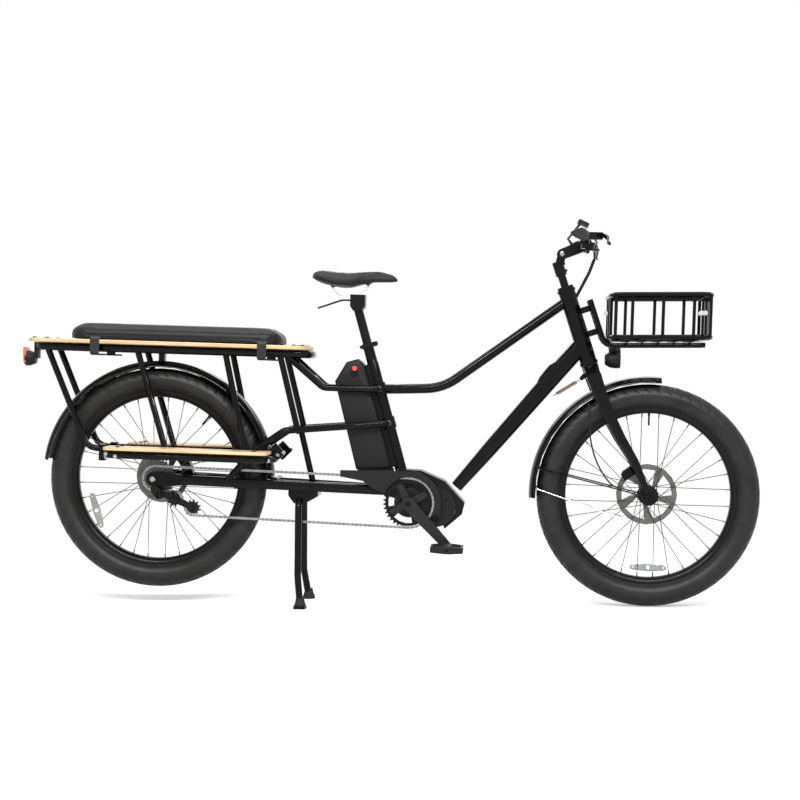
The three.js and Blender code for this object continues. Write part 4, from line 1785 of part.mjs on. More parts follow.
const linkBlank = (grow = 0) => {
  const [start, end] = [linkStart(), linkEnd()];
  const startY = -(bodyInnerY() + DERAILLEUR_KNUCKLE_WIDTH / 2);
  const endY = -(knuckleInnerY() + DERAILLEUR_P_KNUCKLE_WIDTH / 2);
  const reach = DERAILLEUR_LINK_WIDTH / 2 + grow;
  const half = DERAILLEUR_LINK_HEIGHT / 2 + grow;
  const bar = (from, to) => loft([from, to].map((centre) =>
    [[-1, -1], [1, -1], [1, 1], [-1, 1]].map(([wide, high]) => shifted(centre, 0, high * half,
      wide * reach))));
  const eye = (centre, y) => moved(turnedUp(discProfile(reach, -half, half), 12), inPlane(centre, y));
  return join(bar(inPlane(start, startY), inPlane(end, endY)), eye(start, startY), eye(end, endY));
};
const linkStartPin = () => inPlane(linkStart(), -(bodyInnerY() + DERAILLEUR_KNUCKLE_WIDTH / 2));
const linkEndPin = () => inPlane(linkEnd(), -(knuckleInnerY() + DERAILLEUR_P_KNUCKLE_WIDTH / 2));
const linkPin = (point, grow = 0) => {
  const half = DERAILLEUR_LINK_HEIGHT / 2 + 4 * RUN_GAP + grow;
  return moved(turnedUp(discProfile(DERAILLEUR_PIN_RADIUS + grow, -half, half), PIN_SIDES), point);
};

// The slot that a knuckle opens to the link, so that the link can turn in it; ahead is 1 or -1
function linkSlot(pin, ahead) {
  const half = DERAILLEUR_LINK_HEIGHT / 2 + 3 * RUN_GAP;
  const reach = DERAILLEUR_LINK_WIDTH / 2 + RUN_GAP;
  const [back, front] = [pin.x - ahead * reach, pin.x + ahead * (reach + 2 * OVERRUN)];
  return box(at(Math.min(back, front), pin.z - half, pin.y - 2 * OVERRUN), at(Math.max(back, front),
    pin.z + half, pin.y + 2 * OVERRUN));
}

const derailleurLink = () => cut(linkBlank(), linkPin(linkStartPin(), RUN_GAP), linkPin(linkEndPin(),
  RUN_GAP));

function derailleurBody() {
  const hanger = hangerPoint();
  const near = bodyInnerY();
  const [from, to] = [-near - DERAILLEUR_KNUCKLE_WIDTH, -near];
  const shell = plate(twoCircles(hanger, DERAILLEUR_KNUCKLE_RADIUS, linkStart(),
    DERAILLEUR_LINK_HEIGHT * DERAILLEUR_BODY_SHARE, 6), from, to);
  return join(cut(shell, linkSlot(linkStartPin(), 1)), linkPin(linkStartPin()));
}

function derailleurKnuckle() {
  const near = knuckleInnerY();
  const [from, to] = [-near - DERAILLEUR_P_KNUCKLE_WIDTH, -near];
  const shell = plate(twoCircles(guidePulley(), DERAILLEUR_KNUCKLE_RADIUS, linkEnd(),
    DERAILLEUR_LINK_HEIGHT * DERAILLEUR_KNUCKLE_SHARE, 6), from, to);
  return join(cut(shell, linkSlot(linkEndPin(), -1)), linkPin(linkEndPin()));
}

// The cage: two plates outside the chain, tied by the pulley pins
function derailleurCage() {
  const gap = CHAIN_WIDTH / 2 + DERAILLEUR_CAGE_CLEARANCE;
  const plates = [-1, 1].map((sign) => {
    const face = -CHAIN_LINE + sign * gap;
    const [from, to] = sign < 0 ? [face - DERAILLEUR_CAGE_WALL, face] : [face, face + DERAILLEUR_CAGE_WALL];
    return plate(twoCircles(guidePulley(), DERAILLEUR_CAGE_HALF_HEIGHT, tensionPulley(),
      DERAILLEUR_CAGE_HALF_HEIGHT * DERAILLEUR_CAGE_SHARE, 6), from, to);
  });
  const pins = [guidePulley(), tensionPulley()].map((centre) =>
    drum(centre, PULLEY_BORE_RADIUS, -CHAIN_LINE - gap - DERAILLEUR_CAGE_WALL / 2,
      gap + DERAILLEUR_CAGE_WALL / 2 - CHAIN_LINE, MAIN_TUBE_SIDES));
  return join([...plates, ...pins]);
}

// Fork: crown, steerer, two tapered blades, dropouts, axle and the left brake caliper
function forkBlade(side) {
  const points = FORK_BLADE_SHARES.map(([ahead, up]) => [ahead * FORK_BLADE_AHEAD, up * FORK_BLADE_TOP]);
  const rings = points.map(([ahead, up], index) => {
    const share = index / (points.length - 1);
    const [aboveAhead, aboveUp] = points[Math.max(index - 1, 0)];
    const [belowAhead, belowUp] = points[Math.min(index + 1, points.length - 1)];
    const along = onHead(belowAhead, belowUp).sub(onHead(aboveAhead, aboveUp)).normalize();
    const depth = THREE.MathUtils.lerp(FORK_BLADE_DEPTH, FORK_TIP_DEPTH, share);
    const width = THREE.MathUtils.lerp(FORK_BLADE_WIDTH, FORK_TIP_WIDTH, share);
    return ovalRing(onHead(ahead, up, side * FORK_BLADE_Y), along, width / 2, depth / 2, TUBE_SIDES);
  });
  return loft(rings);
}

function forkCrown() {
  const [low, high] = [FORK_CROWN_START, FORK_CROWN_START + FORK_CROWN_HEIGHT];
  const [half, reach] = [FORK_CROWN_DEPTH / 2, FORK_BLADE_Y + FORK_BLADE_WIDTH / 2];
  const topReach = reach - FORK_CROWN_HEIGHT;
  const upright = new THREE.Shape([[-reach, low], [reach, low], [reach, low + FORK_CROWN_HEIGHT / 3],
    [topReach, high], [-topReach, high], [-reach, low + FORK_CROWN_HEIGHT / 3]]
    .map(([y, up]) => new THREE.Vector2(y, up)));
  const settings = { depth: 2 * half, bevelEnabled: false };
  const geometry = new THREE.ExtrudeGeometry(upright, settings).rotateX(Math.PI / 2).rotateZ(Math.PI / 2);
  return leanedOnHead(cleaned(geometry.translate(-half, 0, 0)));
}

function frontCaliper() {
  const middle = polar(FRONT_AXLE, FRONT_ROTOR_RADIUS - ROTOR_TRACK / 2, degrees(FRONT_CALIPER_DEGREES));
  const [long, deep] = [FRONT_CALIPER_LENGTH / 2, FRONT_CALIPER_DEPTH / 2];
  const turn = degrees(FRONT_CALIPER_DEGREES);
  const corner = (outward, along) => shifted(middle, outward * Math.cos(turn) - along * Math.sin(turn),
    outward * Math.sin(turn) + along * Math.cos(turn));
  const shape = outline([corner(-deep, -long), corner(deep * FRONT_CALIPER_CORNER_SHARE, -long),
    corner(deep, -long * FRONT_CALIPER_CORNER_SHARE),
    corner(deep, long * FRONT_CALIPER_CORNER_SHARE), corner(deep * FRONT_CALIPER_CORNER_SHARE,
      long), corner(-deep, long)]);
  const inner = FRONT_ROTOR_Y - FRONT_CALIPER_WIDTH / 3;
  const body = plate(shape, inner, FORK_BLADE_Y);
  const slot = drum(FRONT_AXLE, FRONT_ROTOR_RADIUS + SEAT_GAP * 5, FRONT_ROTOR_Y - ROTOR_THICKNESS,
    FRONT_ROTOR_Y + ROTOR_THICKNESS, 2 * MAIN_TUBE_SIDES);
  return cut(body, slot);
}

function fork() {
  const crownTop = FORK_CROWN_START + FORK_CROWN_HEIGHT;
  const seat = HEAD_TUBE_START - SEAT_GAP;
  const root = crownTop - FORK_CROWN_HEIGHT / 2;
  const steerer = leanedOnHead(turnedUp([
    [0, root], [HEAD_TUBE_RADIUS, root], [HEAD_TUBE_RADIUS, seat], [STEERER_RADIUS, seat],
    [STEERER_RADIUS, HEAD_TUBE_END], [0, HEAD_TUBE_END],
  ], ROUND_SIDES));
  const dropouts = SIDES.map((side) => drum(FRONT_AXLE, FORK_DROPOUT_RADIUS,
    ...spanOn(side, FRONT_HUB_HALF_WIDTH, FRONT_HUB_HALF_WIDTH + FORK_DROPOUT_THICKNESS), PIN_SIDES));
  const end = FRONT_HUB_HALF_WIDTH + 2 * FORK_DROPOUT_THICKNESS;
  const axle = drum(FRONT_AXLE, FRONT_AXLE_RADIUS, -end, end, PIN_SIDES);
  return join([forkCrown(), steerer, ...SIDES.map(forkBlade), ...dropouts, axle, frontCaliper(),
    springLug(FORK_LUG_AHEAD, FORK_LUG_UP)]);
}

// Front fender with its tab up to the crown and two wire stays to the dropouts
function frontFender() {
  const arch = fender(FRONT_AXLE, FENDER_RADIUS, FRONT_FENDER_TAIL_DEGREES, FRONT_FENDER_FRONT_DEGREES);
  const [low, high] = [FENDER_RADIUS - FENDER_WALL, FORK_CROWN_START - SEAT_GAP];
  const half = FENDER_TAB_WIDTH / 2;
  const blank = box(at(-half, low - FENDER_CROWN, -half), at(half, high, half));
  const tab = cut(leanedOnHead(blank), drum(FRONT_AXLE, FENDER_RADIUS - FENDER_WALL / 2, -OVERRUN * 2,
    OVERRUN * 2, 24));
  const stays = SIDES.map((side) => {
    const start = polar(FRONT_AXLE, FENDER_RADIUS - FENDER_CROWN, degrees(FENDER_STAY_DEGREES),
      side * (FENDER_HALF_WIDTH - FENDER_WALL / 2));
    const eye = FRONT_HUB_HALF_WIDTH + FORK_DROPOUT_THICKNESS + FENDER_STAY_RADIUS + 2 * SEAT_GAP;
    return tube([start, shifted(FRONT_AXLE, -FORK_DROPOUT_RADIUS, 0, side * eye)], FENDER_STAY_RADIUS, 6);
  });
  return join([arch, tab, ...stays]);
}

// Steering stabiliser: a coil spring between a lug under the down tube and one behind the crown
const springFront = () => onHead(FORK_LUG_AHEAD, FORK_LUG_UP);
const springRear = () => between(downTubeFoot(), downTubeHead(), SPRING_EYE_SHARE)
  .add(at(downTubeDirection().z, -downTubeDirection().x).multiplyScalar(SPRING_LUG_DROP));

function springLug(ahead, up) {
  const eye = onHead(ahead, up);
  const root = onHead(-FORK_CROWN_DEPTH / 4, FORK_CROWN_START + FORK_CROWN_HEIGHT / 2);
  return plate(twoCircles(root, SPRING_LUG_RADIUS * SPRING_LUG_ROOT_SHARE, eye, SPRING_LUG_RADIUS, 4),
    -SPRING_LUG_WIDTH / 2, SPRING_LUG_WIDTH / 2);
}

function springPoints() {
  const [rear, front] = [springRear(), springFront()];
  const along = front.clone().sub(rear).normalize();
  const across = at(0, 0, 1);
  const normal = along.clone().cross(across).normalize();
  const start = rear.clone().addScaledVector(along, SPRING_LUG_RADIUS + SEAT_GAP);
  const length = front.distanceTo(rear) - 2 * (SPRING_LUG_RADIUS + SEAT_GAP);
  const coil = length - 2 * SPRING_LEAD;
  const turns = range(SPRING_CURLS * TUBE_SIDES + 1).map((step) => {
    const angle = (2 * Math.PI * step) / TUBE_SIDES;
    return start.clone().addScaledVector(along, SPRING_LEAD + (coil * step) / (SPRING_CURLS * TUBE_SIDES))
      .addScaledVector(across, SPRING_COIL_RADIUS * Math.cos(angle))
      .addScaledVector(normal, SPRING_COIL_RADIUS * Math.sin(angle));
  });
  return [start, start.clone().addScaledVector(along, SPRING_LEAD / 2), ...turns,
    start.clone().addScaledVector(along, length - SPRING_LEAD / 2), start.clone().addScaledVector(along,
      length)];
}

const steeringSpring = () => tube(springPoints(), SPRING_WIRE_RADIUS, 5);

// Stem riser: cap on the head tube, quill, collar and the lug that the arm tilts on
const stemPivot = () => onHead(STEM_PIVOT_AHEAD, STEM_PIVOT_UP);
const barCentre = () => polar(stemPivot(), STEM_ARM_LENGTH,
  HEAD_LEAN + Math.asin(STEM_ARM_RISE / STEM_ARM_LENGTH));

function stemRiser() {
  const start = HEAD_TUBE_END + SEAT_GAP;
  const body = leanedOnHead(turnedUp([
    [0, start], [RISER_CAP_RADIUS, start], [RISER_CAP_RADIUS, start + RISER_CAP_HEIGHT],
    [RISER_RADIUS, start + RISER_CAP_HEIGHT], [RISER_RADIUS, RISER_COLLAR_START],
    [RISER_COLLAR_RADIUS, RISER_COLLAR_START], [RISER_COLLAR_RADIUS, RISER_COLLAR_END], [0, RISER_COLLAR_END],
  ], ROUND_SIDES));
  const root = onHead(0, RISER_COLLAR_END - STEM_EYE_RADIUS);
  const lug = plate(twoCircles(root, STEM_LUG_RADIUS, stemPivot(), STEM_LUG_RADIUS, 5),
    -STEM_LUG_WIDTH / 2, STEM_LUG_WIDTH / 2);
  const hole = drum(stemPivot(), STEM_PIN_RADIUS + RUN_GAP, -STEM_LUG_WIDTH, STEM_LUG_WIDTH, PIN_SIDES);
  const bolts = RISER_BOLT_SHARES.map((share) => {
    const up = THREE.MathUtils.lerp(RISER_COLLAR_START, RISER_COLLAR_END, share);
    return tube([onHead(0, up), onHead(RISER_COLLAR_RADIUS + STEM_PIN_RADIUS, up)], STEM_PIN_RADIUS, 6);
  });
  const cheekRoom = SIDES.map((side) => drum(stemPivot(), STEM_EYE_RADIUS + 2 * RUN_GAP,
    ...spanOn(side, STEM_LUG_WIDTH / 2, STEM_LUG_WIDTH / 2 + STEM_CHEEK_WIDTH + OVERRUN), ROUND_SIDES));
  return cut(join([body, lug, ...bolts]), hole, ...cheekRoom);
}

// Stem arm: two cheeks on the lug, a bridge and the handlebar clamp
function stemArm() {
  const [pivot, clamp] = [stemPivot(), barCentre()];
  const inner = STEM_LUG_WIDTH / 2 + RUN_GAP;
  const outer = inner + STEM_CHEEK_WIDTH;
  const cheeks = SIDES.map((side) => plate(twoCircles(pivot, STEM_EYE_RADIUS, clamp, BAR_CLAMP_RADIUS, 5),
    ...spanOn(side, inner, outer)));
  const along = clamp.clone().sub(pivot).normalize();
  const room = STEM_EYE_RADIUS + 2 * RUN_GAP;
  const bridge = cut(plate(twoCircles(pivot, STEM_EYE_RADIUS * STEM_BRIDGE_SHARE, clamp,
    BAR_CLAMP_RADIUS * STEM_BRIDGE_SHARE, 4), -outer, outer),
    drum(pivot, room, -outer - OVERRUN, outer + OVERRUN, ROUND_SIDES));
  const band = drum(clamp, BAR_CLAMP_RADIUS + BAR_CLAMP_WALL, -BAR_CLAMP_WIDTH / 2, BAR_CLAMP_WIDTH / 2,
    ROUND_SIDES);
  const bore = drum(clamp, BAR_CLAMP_RADIUS + SEAT_GAP, -BAR_CLAMP_WIDTH, BAR_CLAMP_WIDTH, ROUND_SIDES);
  const pin = drum(pivot, STEM_PIN_RADIUS, -outer, outer, PIN_SIDES);
  const ears = SIDES.map((side) => {
    const middle = clamp.clone().addScaledVector(at(-along.z, along.x),
      side * (BAR_CLAMP_RADIUS + BAR_CLAMP_WALL));
    return drum(middle, BAR_CLAMP_WALL, -BAR_CLAMP_WIDTH / 2, BAR_CLAMP_WIDTH / 2, PIN_SIDES);
  });
  return cut(join([...cheeks, bridge, band, pin, ...ears]), bore);
}

// Handlebar: centre bulge, rise, then back towards the grips; brake perches and the shifter ride on it
const barPoint = (side, reach) => {
  const centre = barCentre();
  const marks = [[0, 0, 0], [BAR_BEND_Y, 0, 0], [BAR_RISE_Y, -BAR_BACK / 8, BAR_RISE],
    [BAR_GRIP_Y, -BAR_BACK / 2, (BAR_RISE + BAR_END_RISE) / 2], [BAR_HALF_WIDTH, -BAR_BACK, BAR_END_RISE]];
  const index = Math.min(marks.findIndex(([y]) => y > reach) - 1, marks.length - 2);
  const [low, high] = index < 0 ? marks.slice(-2) : [marks[index], marks[index + 1]];
  const share = (reach - low[0]) / (high[0] - low[0]);
  return shifted(centre, low[1] + (high[1] - low[1]) * share, low[2] + (high[2] - low[2]) * share,
    side * reach);
};

function barTube() {
  const half = (side) => [0, BAR_BEND_Y, BAR_RISE_Y, BAR_GRIP_Y, BAR_HALF_WIDTH].map((y) => barPoint(side,
    y));
  const route = rounded([...half(RIGHT).reverse(), ...half(LEFT).slice(1)], BAR_BEND_RADIUS, 2);
  return tube(route, BAR_RADIUS, TUBE_SIDES);
}

function brakePerch(side) {
  const centre = barPoint(side, LEVER_CLAMP_Y);
  const clamp = drum(inPlane(centre, 0), LEVER_CLAMP_RADIUS, centre.y - LEVER_CLAMP_WIDTH / 2,
    centre.y + LEVER_CLAMP_WIDTH / 2, PIN_SIDES);
  const pin = leverPin(side);
  const inner = side * (LEVER_CLAMP_Y - LEVER_CLAMP_WIDTH / 2 - LEVER_BODY_WIDTH / 2);
  const outer = side * (LEVER_CLAMP_Y + LEVER_CLAMP_WIDTH / 2);
  const [fromY, toY] = [Math.min(inner, outer), Math.max(inner, outer)];
  const half = LEVER_BODY_HEIGHT / 2;
  const body = plate(outline([
    shifted(centre, 0, half), shifted(centre, 0, -half), shifted(pin, -LEVER_BODY_DEPTH / 2, -half),
    shifted(pin, LEVER_EYE_RADIUS * PERCH_NOSE_SHARE, -half), shifted(pin,
      LEVER_EYE_RADIUS * PERCH_NOSE_SHARE, half), shifted(pin, -LEVER_BODY_DEPTH / 2, half),
  ]), fromY, toY);
  const room = (LEVER_BLADE_HEIGHT / 2) + RUN_GAP;
  const mouth = box(
    at(pin.x - LEVER_EYE_RADIUS - 2 * RUN_GAP, pin.z - room,
      Math.min(side * Math.abs(pin.y) - side * LEVER_EYE_RADIUS * PERCH_MOUTH_SHARE, side * LEVER_MOUTH_Y)),
    at(pin.x + LEVER_BODY_DEPTH, pin.z + room,
      Math.max(side * Math.abs(pin.y) - side * LEVER_EYE_RADIUS * PERCH_MOUTH_SHARE, side * LEVER_MOUTH_Y)));
  const stud = moved(turnedUp(discProfile(LEVER_PIN_RADIUS, -half, half), PIN_SIDES), pin);
  return join(cut(join(clamp, body), mouth), stud);
}

const leverPin = (side) => shifted(inPlane(barPoint(side, LEVER_CLAMP_Y), side * LEVER_PIN_Y),
  LEVER_BODY_AHEAD, 0);

function brakeLever(side) {
  const pin = leverPin(side);
  const across = at(1, 0);
  const upward = at(0, 1);
  const rings = LEVER_SECTION_SHARES.map(([share, ahead, drop, size]) => {
    const centre = shifted(pin, ahead * LEVER_BLADE_AHEAD, drop * LEVER_BLADE_DROP,
      side * share * LEVER_BLADE_LENGTH);
    return [[-1, -1], [1, -1], [1, 1], [-1, 1]].map(([x, z]) => centre.clone()
      .addScaledVector(across, (x * size * LEVER_BLADE_THICKNESS) / 2).addScaledVector(upward,
        (z * size * LEVER_BLADE_HEIGHT) / 2));
  });
  const eye = moved(turnedUp(discProfile(LEVER_EYE_RADIUS, -LEVER_BLADE_HEIGHT / 2,
    LEVER_BLADE_HEIGHT / 2), PIN_SIDES), pin);
  const hole = moved(turnedUp(discProfile(LEVER_PIN_RADIUS + RUN_GAP, -LEVER_BLADE_HEIGHT,
    LEVER_BLADE_HEIGHT), PIN_SIDES), pin);
  return cut(join(loft(rings), eye), hole);
}

const shifterPoint = () => shifted(barPoint(RIGHT, SHIFTER_Y), SHIFTER_AHEAD, -SHIFTER_DROP);

function shifterPod() {
  const bar = barPoint(RIGHT, SHIFTER_Y);
  const centre = shifterPoint();
  const pod = moved(turnedUp(discProfile(SHIFTER_RADIUS, -SHIFTER_HEIGHT / 2, SHIFTER_HEIGHT / 2),
    PIN_SIDES), centre);
  const band = drum(inPlane(bar, 0), LEVER_CLAMP_RADIUS, bar.y - SHIFTER_WIDTH / 4,
    bar.y + SHIFTER_WIDTH / 4, PIN_SIDES);
  const neck = plate(outline([shifted(bar, -SHIFTER_WIDTH / 4, 0), shifted(centre, -SHIFTER_WIDTH / 3, 0),
    shifted(centre, SHIFTER_WIDTH / 4, 0), shifted(bar, SHIFTER_WIDTH / 4,
      0)]), bar.y - SHIFTER_WIDTH / 4, bar.y + SHIFTER_WIDTH / 4);
  const pin = moved(turnedUp(discProfile(LEVER_PIN_RADIUS,
    -SHIFTER_HEIGHT / 2 - SHIFT_LEVER_HEIGHT - 2 * RUN_GAP, 0), PIN_SIDES), centre);
  return join([pod, band, neck, pin]);
}

function shiftLever() {
  const centre = shifterPoint();
  const top = -SHIFTER_HEIGHT / 2 - RUN_GAP;
  const [low, high] = [top - SHIFT_LEVER_HEIGHT, top];
  const eye = moved(turnedUp(discProfile(SHIFT_LEVER_EYE, low, high), PIN_SIDES), centre);
  const blade = box(shifted(centre, 0, low, -SHIFT_LEVER_WIDTH / 2), shifted(centre, SHIFT_LEVER_LENGTH,
    high, SHIFT_LEVER_WIDTH / 2));
  const hole = moved(turnedUp(discProfile(LEVER_PIN_RADIUS + RUN_GAP, low - OVERRUN, high + OVERRUN),
    PIN_SIDES), centre);
  return cut(join(eye, blade), hole);
}

function handlebar() {
  const bulge = drum(barCentre(), BAR_CLAMP_RADIUS, -BAR_BULGE_WIDTH / 2, BAR_BULGE_WIDTH / 2, ROUND_SIDES);
  return join([barTube(), bulge, ...SIDES.map(brakePerch), shifterPod()]);
}

// Grips with a wing behind for the palm
function grip(side) {
  const [from, to] = [BAR_GRIP_Y + GRIP_INSET, BAR_HALF_WIDTH + GRIP_END];
  const rings = GRIP_SECTION_SHARES.map(([share, wing]) => {
    const centre = barPoint(side, from + (to - from) * share);
    const radius = share === 0 || share === 1 ? GRIP_RADIUS * GRIP_END_SHARE : GRIP_RADIUS;
    return range(MAIN_TUBE_SIDES).map((index) => {
      const angle = (2 * Math.PI * (index + 0.5)) / MAIN_TUBE_SIDES;
      const back = Math.max(-Math.cos(angle), 0);
      return shifted(centre, radius * Math.cos(angle) - back * wing * GRIP_WING,
        radius * Math.sin(angle) * (1 - GRIP_FLAT_SHARE * back * wing));
    });
  });
  const [barStart, barEnd] = [from - OVERRUN, BAR_HALF_WIDTH + SEAT_GAP].map((y) => barPoint(side, y));
  return cut(loft(rings), tube([barStart, barEnd], BAR_RADIUS + 2 * SEAT_GAP, TUBE_SIDES));
}

// Display on a stalk that stands on the stem arm
function display() {
  const arm = between(stemPivot(), barCentre(), 0.5);
  const along = barCentre().sub(stemPivot()).normalize();
  const normal = at(-along.z, along.x);
  const foot = arm.clone().addScaledVector(normal, BAR_CLAMP_RADIUS + SEAT_GAP);
  const tilt = degrees(DISPLAY_TILT_DEGREES);
  const centre = shifted(barCentre(), DISPLAY_AHEAD - BAR_BULGE_WIDTH / 2,
    DISPLAY_RISE + BAR_BULGE_WIDTH / 2);
  const half = [DISPLAY_LENGTH / 2, DISPLAY_THICKNESS / 2];
  const shape = outline([[-half[0], -half[1]], [half[0], -half[1]], [half[0],
    half[1] * DISPLAY_EDGE_SHARE], [half[0] * DISPLAY_FACE_SHARE, half[1]],
    [-half[0] * DISPLAY_FACE_SHARE, half[1]], [-half[0], half[1] * DISPLAY_EDGE_SHARE]].map(([x, z]) =>
    shifted(centre, x * Math.cos(tilt) + z * Math.sin(tilt), z * Math.cos(tilt) - x * Math.sin(tilt))));
  const face = plate(shape, -DISPLAY_WIDTH / 2, DISPLAY_WIDTH / 2);
  const knee = shifted(foot, -DISPLAY_LENGTH / 3, DISPLAY_RISE / 2);
  const stalk = tube([foot.clone().addScaledVector(normal, DISPLAY_STALK_RADIUS), knee, shifted(centre,
    -half[0] / 2, 0)], DISPLAY_BRACKET_RADIUS, TUBE_SIDES);
  const pad = drum(foot.clone().addScaledVector(normal, DISPLAY_BRACKET_RADIUS), DISPLAY_BRACKET_RADIUS,
    -STEM_LUG_RADIUS, STEM_LUG_RADIUS, PIN_SIDES);
  return join([face, stalk, pad]);
}

// Front carrier: two tubes down the front of the head tube and out level under the basket
const levelRise = (reach) => reach * Math.tan(PITCH);
const carrierPoint = (x, side) => at(x, CARRIER_Z + levelRise(x - CARRIER_BEND_X),
  side * CARRIER_HALF_SPACING);
const carrierEnd = () => CARRIER_BEND_X + CARRIER_REACH;

function carrierRoute(side) {
  const top = onHead(CARRIER_AHEAD, CARRIER_TOP, side * CARRIER_HALF_SPACING);
  return rounded([top, carrierPoint(CARRIER_BEND_X, side), carrierPoint(carrierEnd(), side)],
    CARRIER_BEND_RADIUS, 3);
}

function frontCarrier() {
  const tubes = SIDES.map((side) => tube(carrierRoute(side), CARRIER_RADIUS, TUBE_SIDES));
  const crossRadius = CARRIER_RADIUS * CARRIER_CROSS_SHARE;
  const crosses = range(CARRIER_CROSSES).map((index) => {
    const x = CARRIER_BEND_X + CARRIER_REACH * CARRIER_FIRST_CROSS_SHARE + index * CARRIER_CROSS_SPACING;
    return tube(SIDES.map((side) => carrierPoint(x, side)), crossRadius, 6);
  });
  const brackets = [CARRIER_UPPER_BRACKET, CARRIER_LOWER_BRACKET].flatMap((up) => {
    const half = CARRIER_BRACKET_HEIGHT / 2;
    const strap = leanedOnHead(box(at(HEAD_TUBE_RADIUS / 2, up - half, -CARRIER_BRACKET_HEIGHT / 2),
      at(CARRIER_AHEAD, up + half, CARRIER_BRACKET_HEIGHT / 2)));
    const cross = tube(SIDES.map((side) => onHead(CARRIER_AHEAD, up, side * CARRIER_HALF_SPACING)),
      crossRadius, 6);
    return [strap, cross];
  });
  return cut(join([...tubes, ...crosses, ...brackets]), headTubeBlank(SEAT_GAP));
}

// Basket: two tube hoops, posts between them and a floor of thin bars on the carrier
const basketFloorZ = (x) =>
  carrierPoint(x, RIGHT).z + flatOf(CARRIER_RADIUS) + SEAT_GAP + flatOf(BASKET_FLOOR_RADIUS, 4);
const basketPoint = (x, up, y) => at(x, basketFloorZ(x) + up, y);

function basketHoop(up) {
  const [front, rear] = [BASKET_REAR_X + BASKET_LENGTH, BASKET_REAR_X];
  const [half, corner] = [BASKET_HALF_WIDTH - BASKET_TUBE_RADIUS, BASKET_CORNER];
  const arc = (x, y, start) => range(3).map((step) => {
    const angle = start + (Math.PI / 2) * (step / 2);
    return [x + corner * Math.cos(angle), y + corner * Math.sin(angle)];
  });
  const plan = [...arc(front - corner, half - corner, 0), ...arc(rear + corner, half - corner, Math.PI / 2),
    ...arc(rear + corner, corner - half, Math.PI), ...arc(front - corner, corner - half, 1.5 * Math.PI)];
  const rings = plan.map(([x, y], index) => {
    const [beforeX, beforeY] = plan[(index + plan.length - 1) % plan.length];
    const [afterX, afterY] = plan[(index + 1) % plan.length];
    const outward = at(afterY - beforeY, 0, beforeX - afterX).normalize();
    const centre = basketPoint(x, up, y);
    return range(6).map((side) => {
      const angle = (2 * Math.PI * (side + 0.5)) / 6;
      return centre.clone().addScaledVector(outward, BASKET_TUBE_RADIUS * Math.cos(angle))
        .add(at(0, BASKET_TUBE_RADIUS * Math.sin(angle)));
    });
  });
  return loft(rings, true);
}

function basket() {
  const low = BASKET_TUBE_RADIUS + BASKET_FLOOR_RADIUS / 2;
  const high = BASKET_HEIGHT - BASKET_TUBE_RADIUS;
  const half = BASKET_HALF_WIDTH - BASKET_TUBE_RADIUS;
  const rearX = BASKET_REAR_X;
  const xs = BASKET_POST_SHARES.map((share) => rearX + BASKET_LENGTH * share);
  const ys = [-1, 0, 1].map((share) => share * half * BASKET_END_POST_SHARE);
  const feet = [...xs.flatMap((x) => SIDES.map((side) => [x, side * half])),
    ...ys.flatMap((y) => [[rearX, y], [rearX + BASKET_LENGTH, y]])];
  const posts = feet.map(([x, y]) => tube([basketPoint(x, low, y), basketPoint(x, high, y)],
    BASKET_POST_RADIUS, 4));
  const floor = range(BASKET_FLOOR_BARS).flatMap((index) => {
    const share = (index + 0.5) / BASKET_FLOOR_BARS;
    const x = rearX + BASKET_CORNER + (BASKET_LENGTH - 2 * BASKET_CORNER) * share;
    return [tube([basketPoint(x, 0, -half), basketPoint(x, 0, half)], BASKET_FLOOR_RADIUS, 4)];
  });
  const runners = [-1, 1].map((side) => tube([basketPoint(rearX, low, side * half * BASKET_END_POST_SHARE),
    basketPoint(rearX + BASKET_LENGTH, low,
      side * half * BASKET_END_POST_SHARE)], BASKET_FLOOR_RADIUS * BASKET_RUNNER_SHARE, 4));
  return join([basketHoop(low), basketHoop(high), ...posts, ...floor, ...runners]);
}

// Headlamp under the carrier on a strap from its first cross tube
function headlamp() {
  const centre = at(HEADLAMP_X, HEADLAMP_Z);
  const half = HEADLAMP_LENGTH / 2;
  const body = turnedUp([
    [0, -half], [HEADLAMP_RADIUS * HEADLAMP_BACK_SHARE, -half],
    [HEADLAMP_RADIUS * HEADLAMP_WAIST_SHARE, -half * HEADLAMP_WAIST_PLACE_SHARE],
    [HEADLAMP_RADIUS, half * HEADLAMP_RIM_PLACE_SHARE],
    [HEADLAMP_RADIUS, half], [HEADLAMP_RADIUS * HEADLAMP_LENS_SHARE,
      half], [HEADLAMP_RADIUS * HEADLAMP_LENS_SHARE, half - HEADLAMP_LENS_INSET],
    [0, half - HEADLAMP_LENS_INSET],
  ], ROUND_SIDES).rotateY(Math.PI / 2 - PITCH);
  const top = carrierPoint(HEADLAMP_X, RIGHT).z;
  const strap = box(at(HEADLAMP_X - half / 2, HEADLAMP_Z, -HEADLAMP_BRACKET_WIDTH / 2),
    at(HEADLAMP_X + half / 2, top - CARRIER_RADIUS, HEADLAMP_BRACKET_WIDTH / 2));
  const wing = box(at(HEADLAMP_X - half / 2, top - CARRIER_RADIUS - HEADLAMP_LENS_INSET,
    -CARRIER_HALF_SPACING - CARRIER_RADIUS),
    at(HEADLAMP_X + half / 2, top - CARRIER_RADIUS / 2, CARRIER_HALF_SPACING + CARRIER_RADIUS));
  return cut(join([moved(body, centre), strap, wing]), ...SIDES.map((side) => tube(carrierRoute(side),
    CARRIER_RADIUS + SEAT_GAP, TUBE_SIDES)));
}

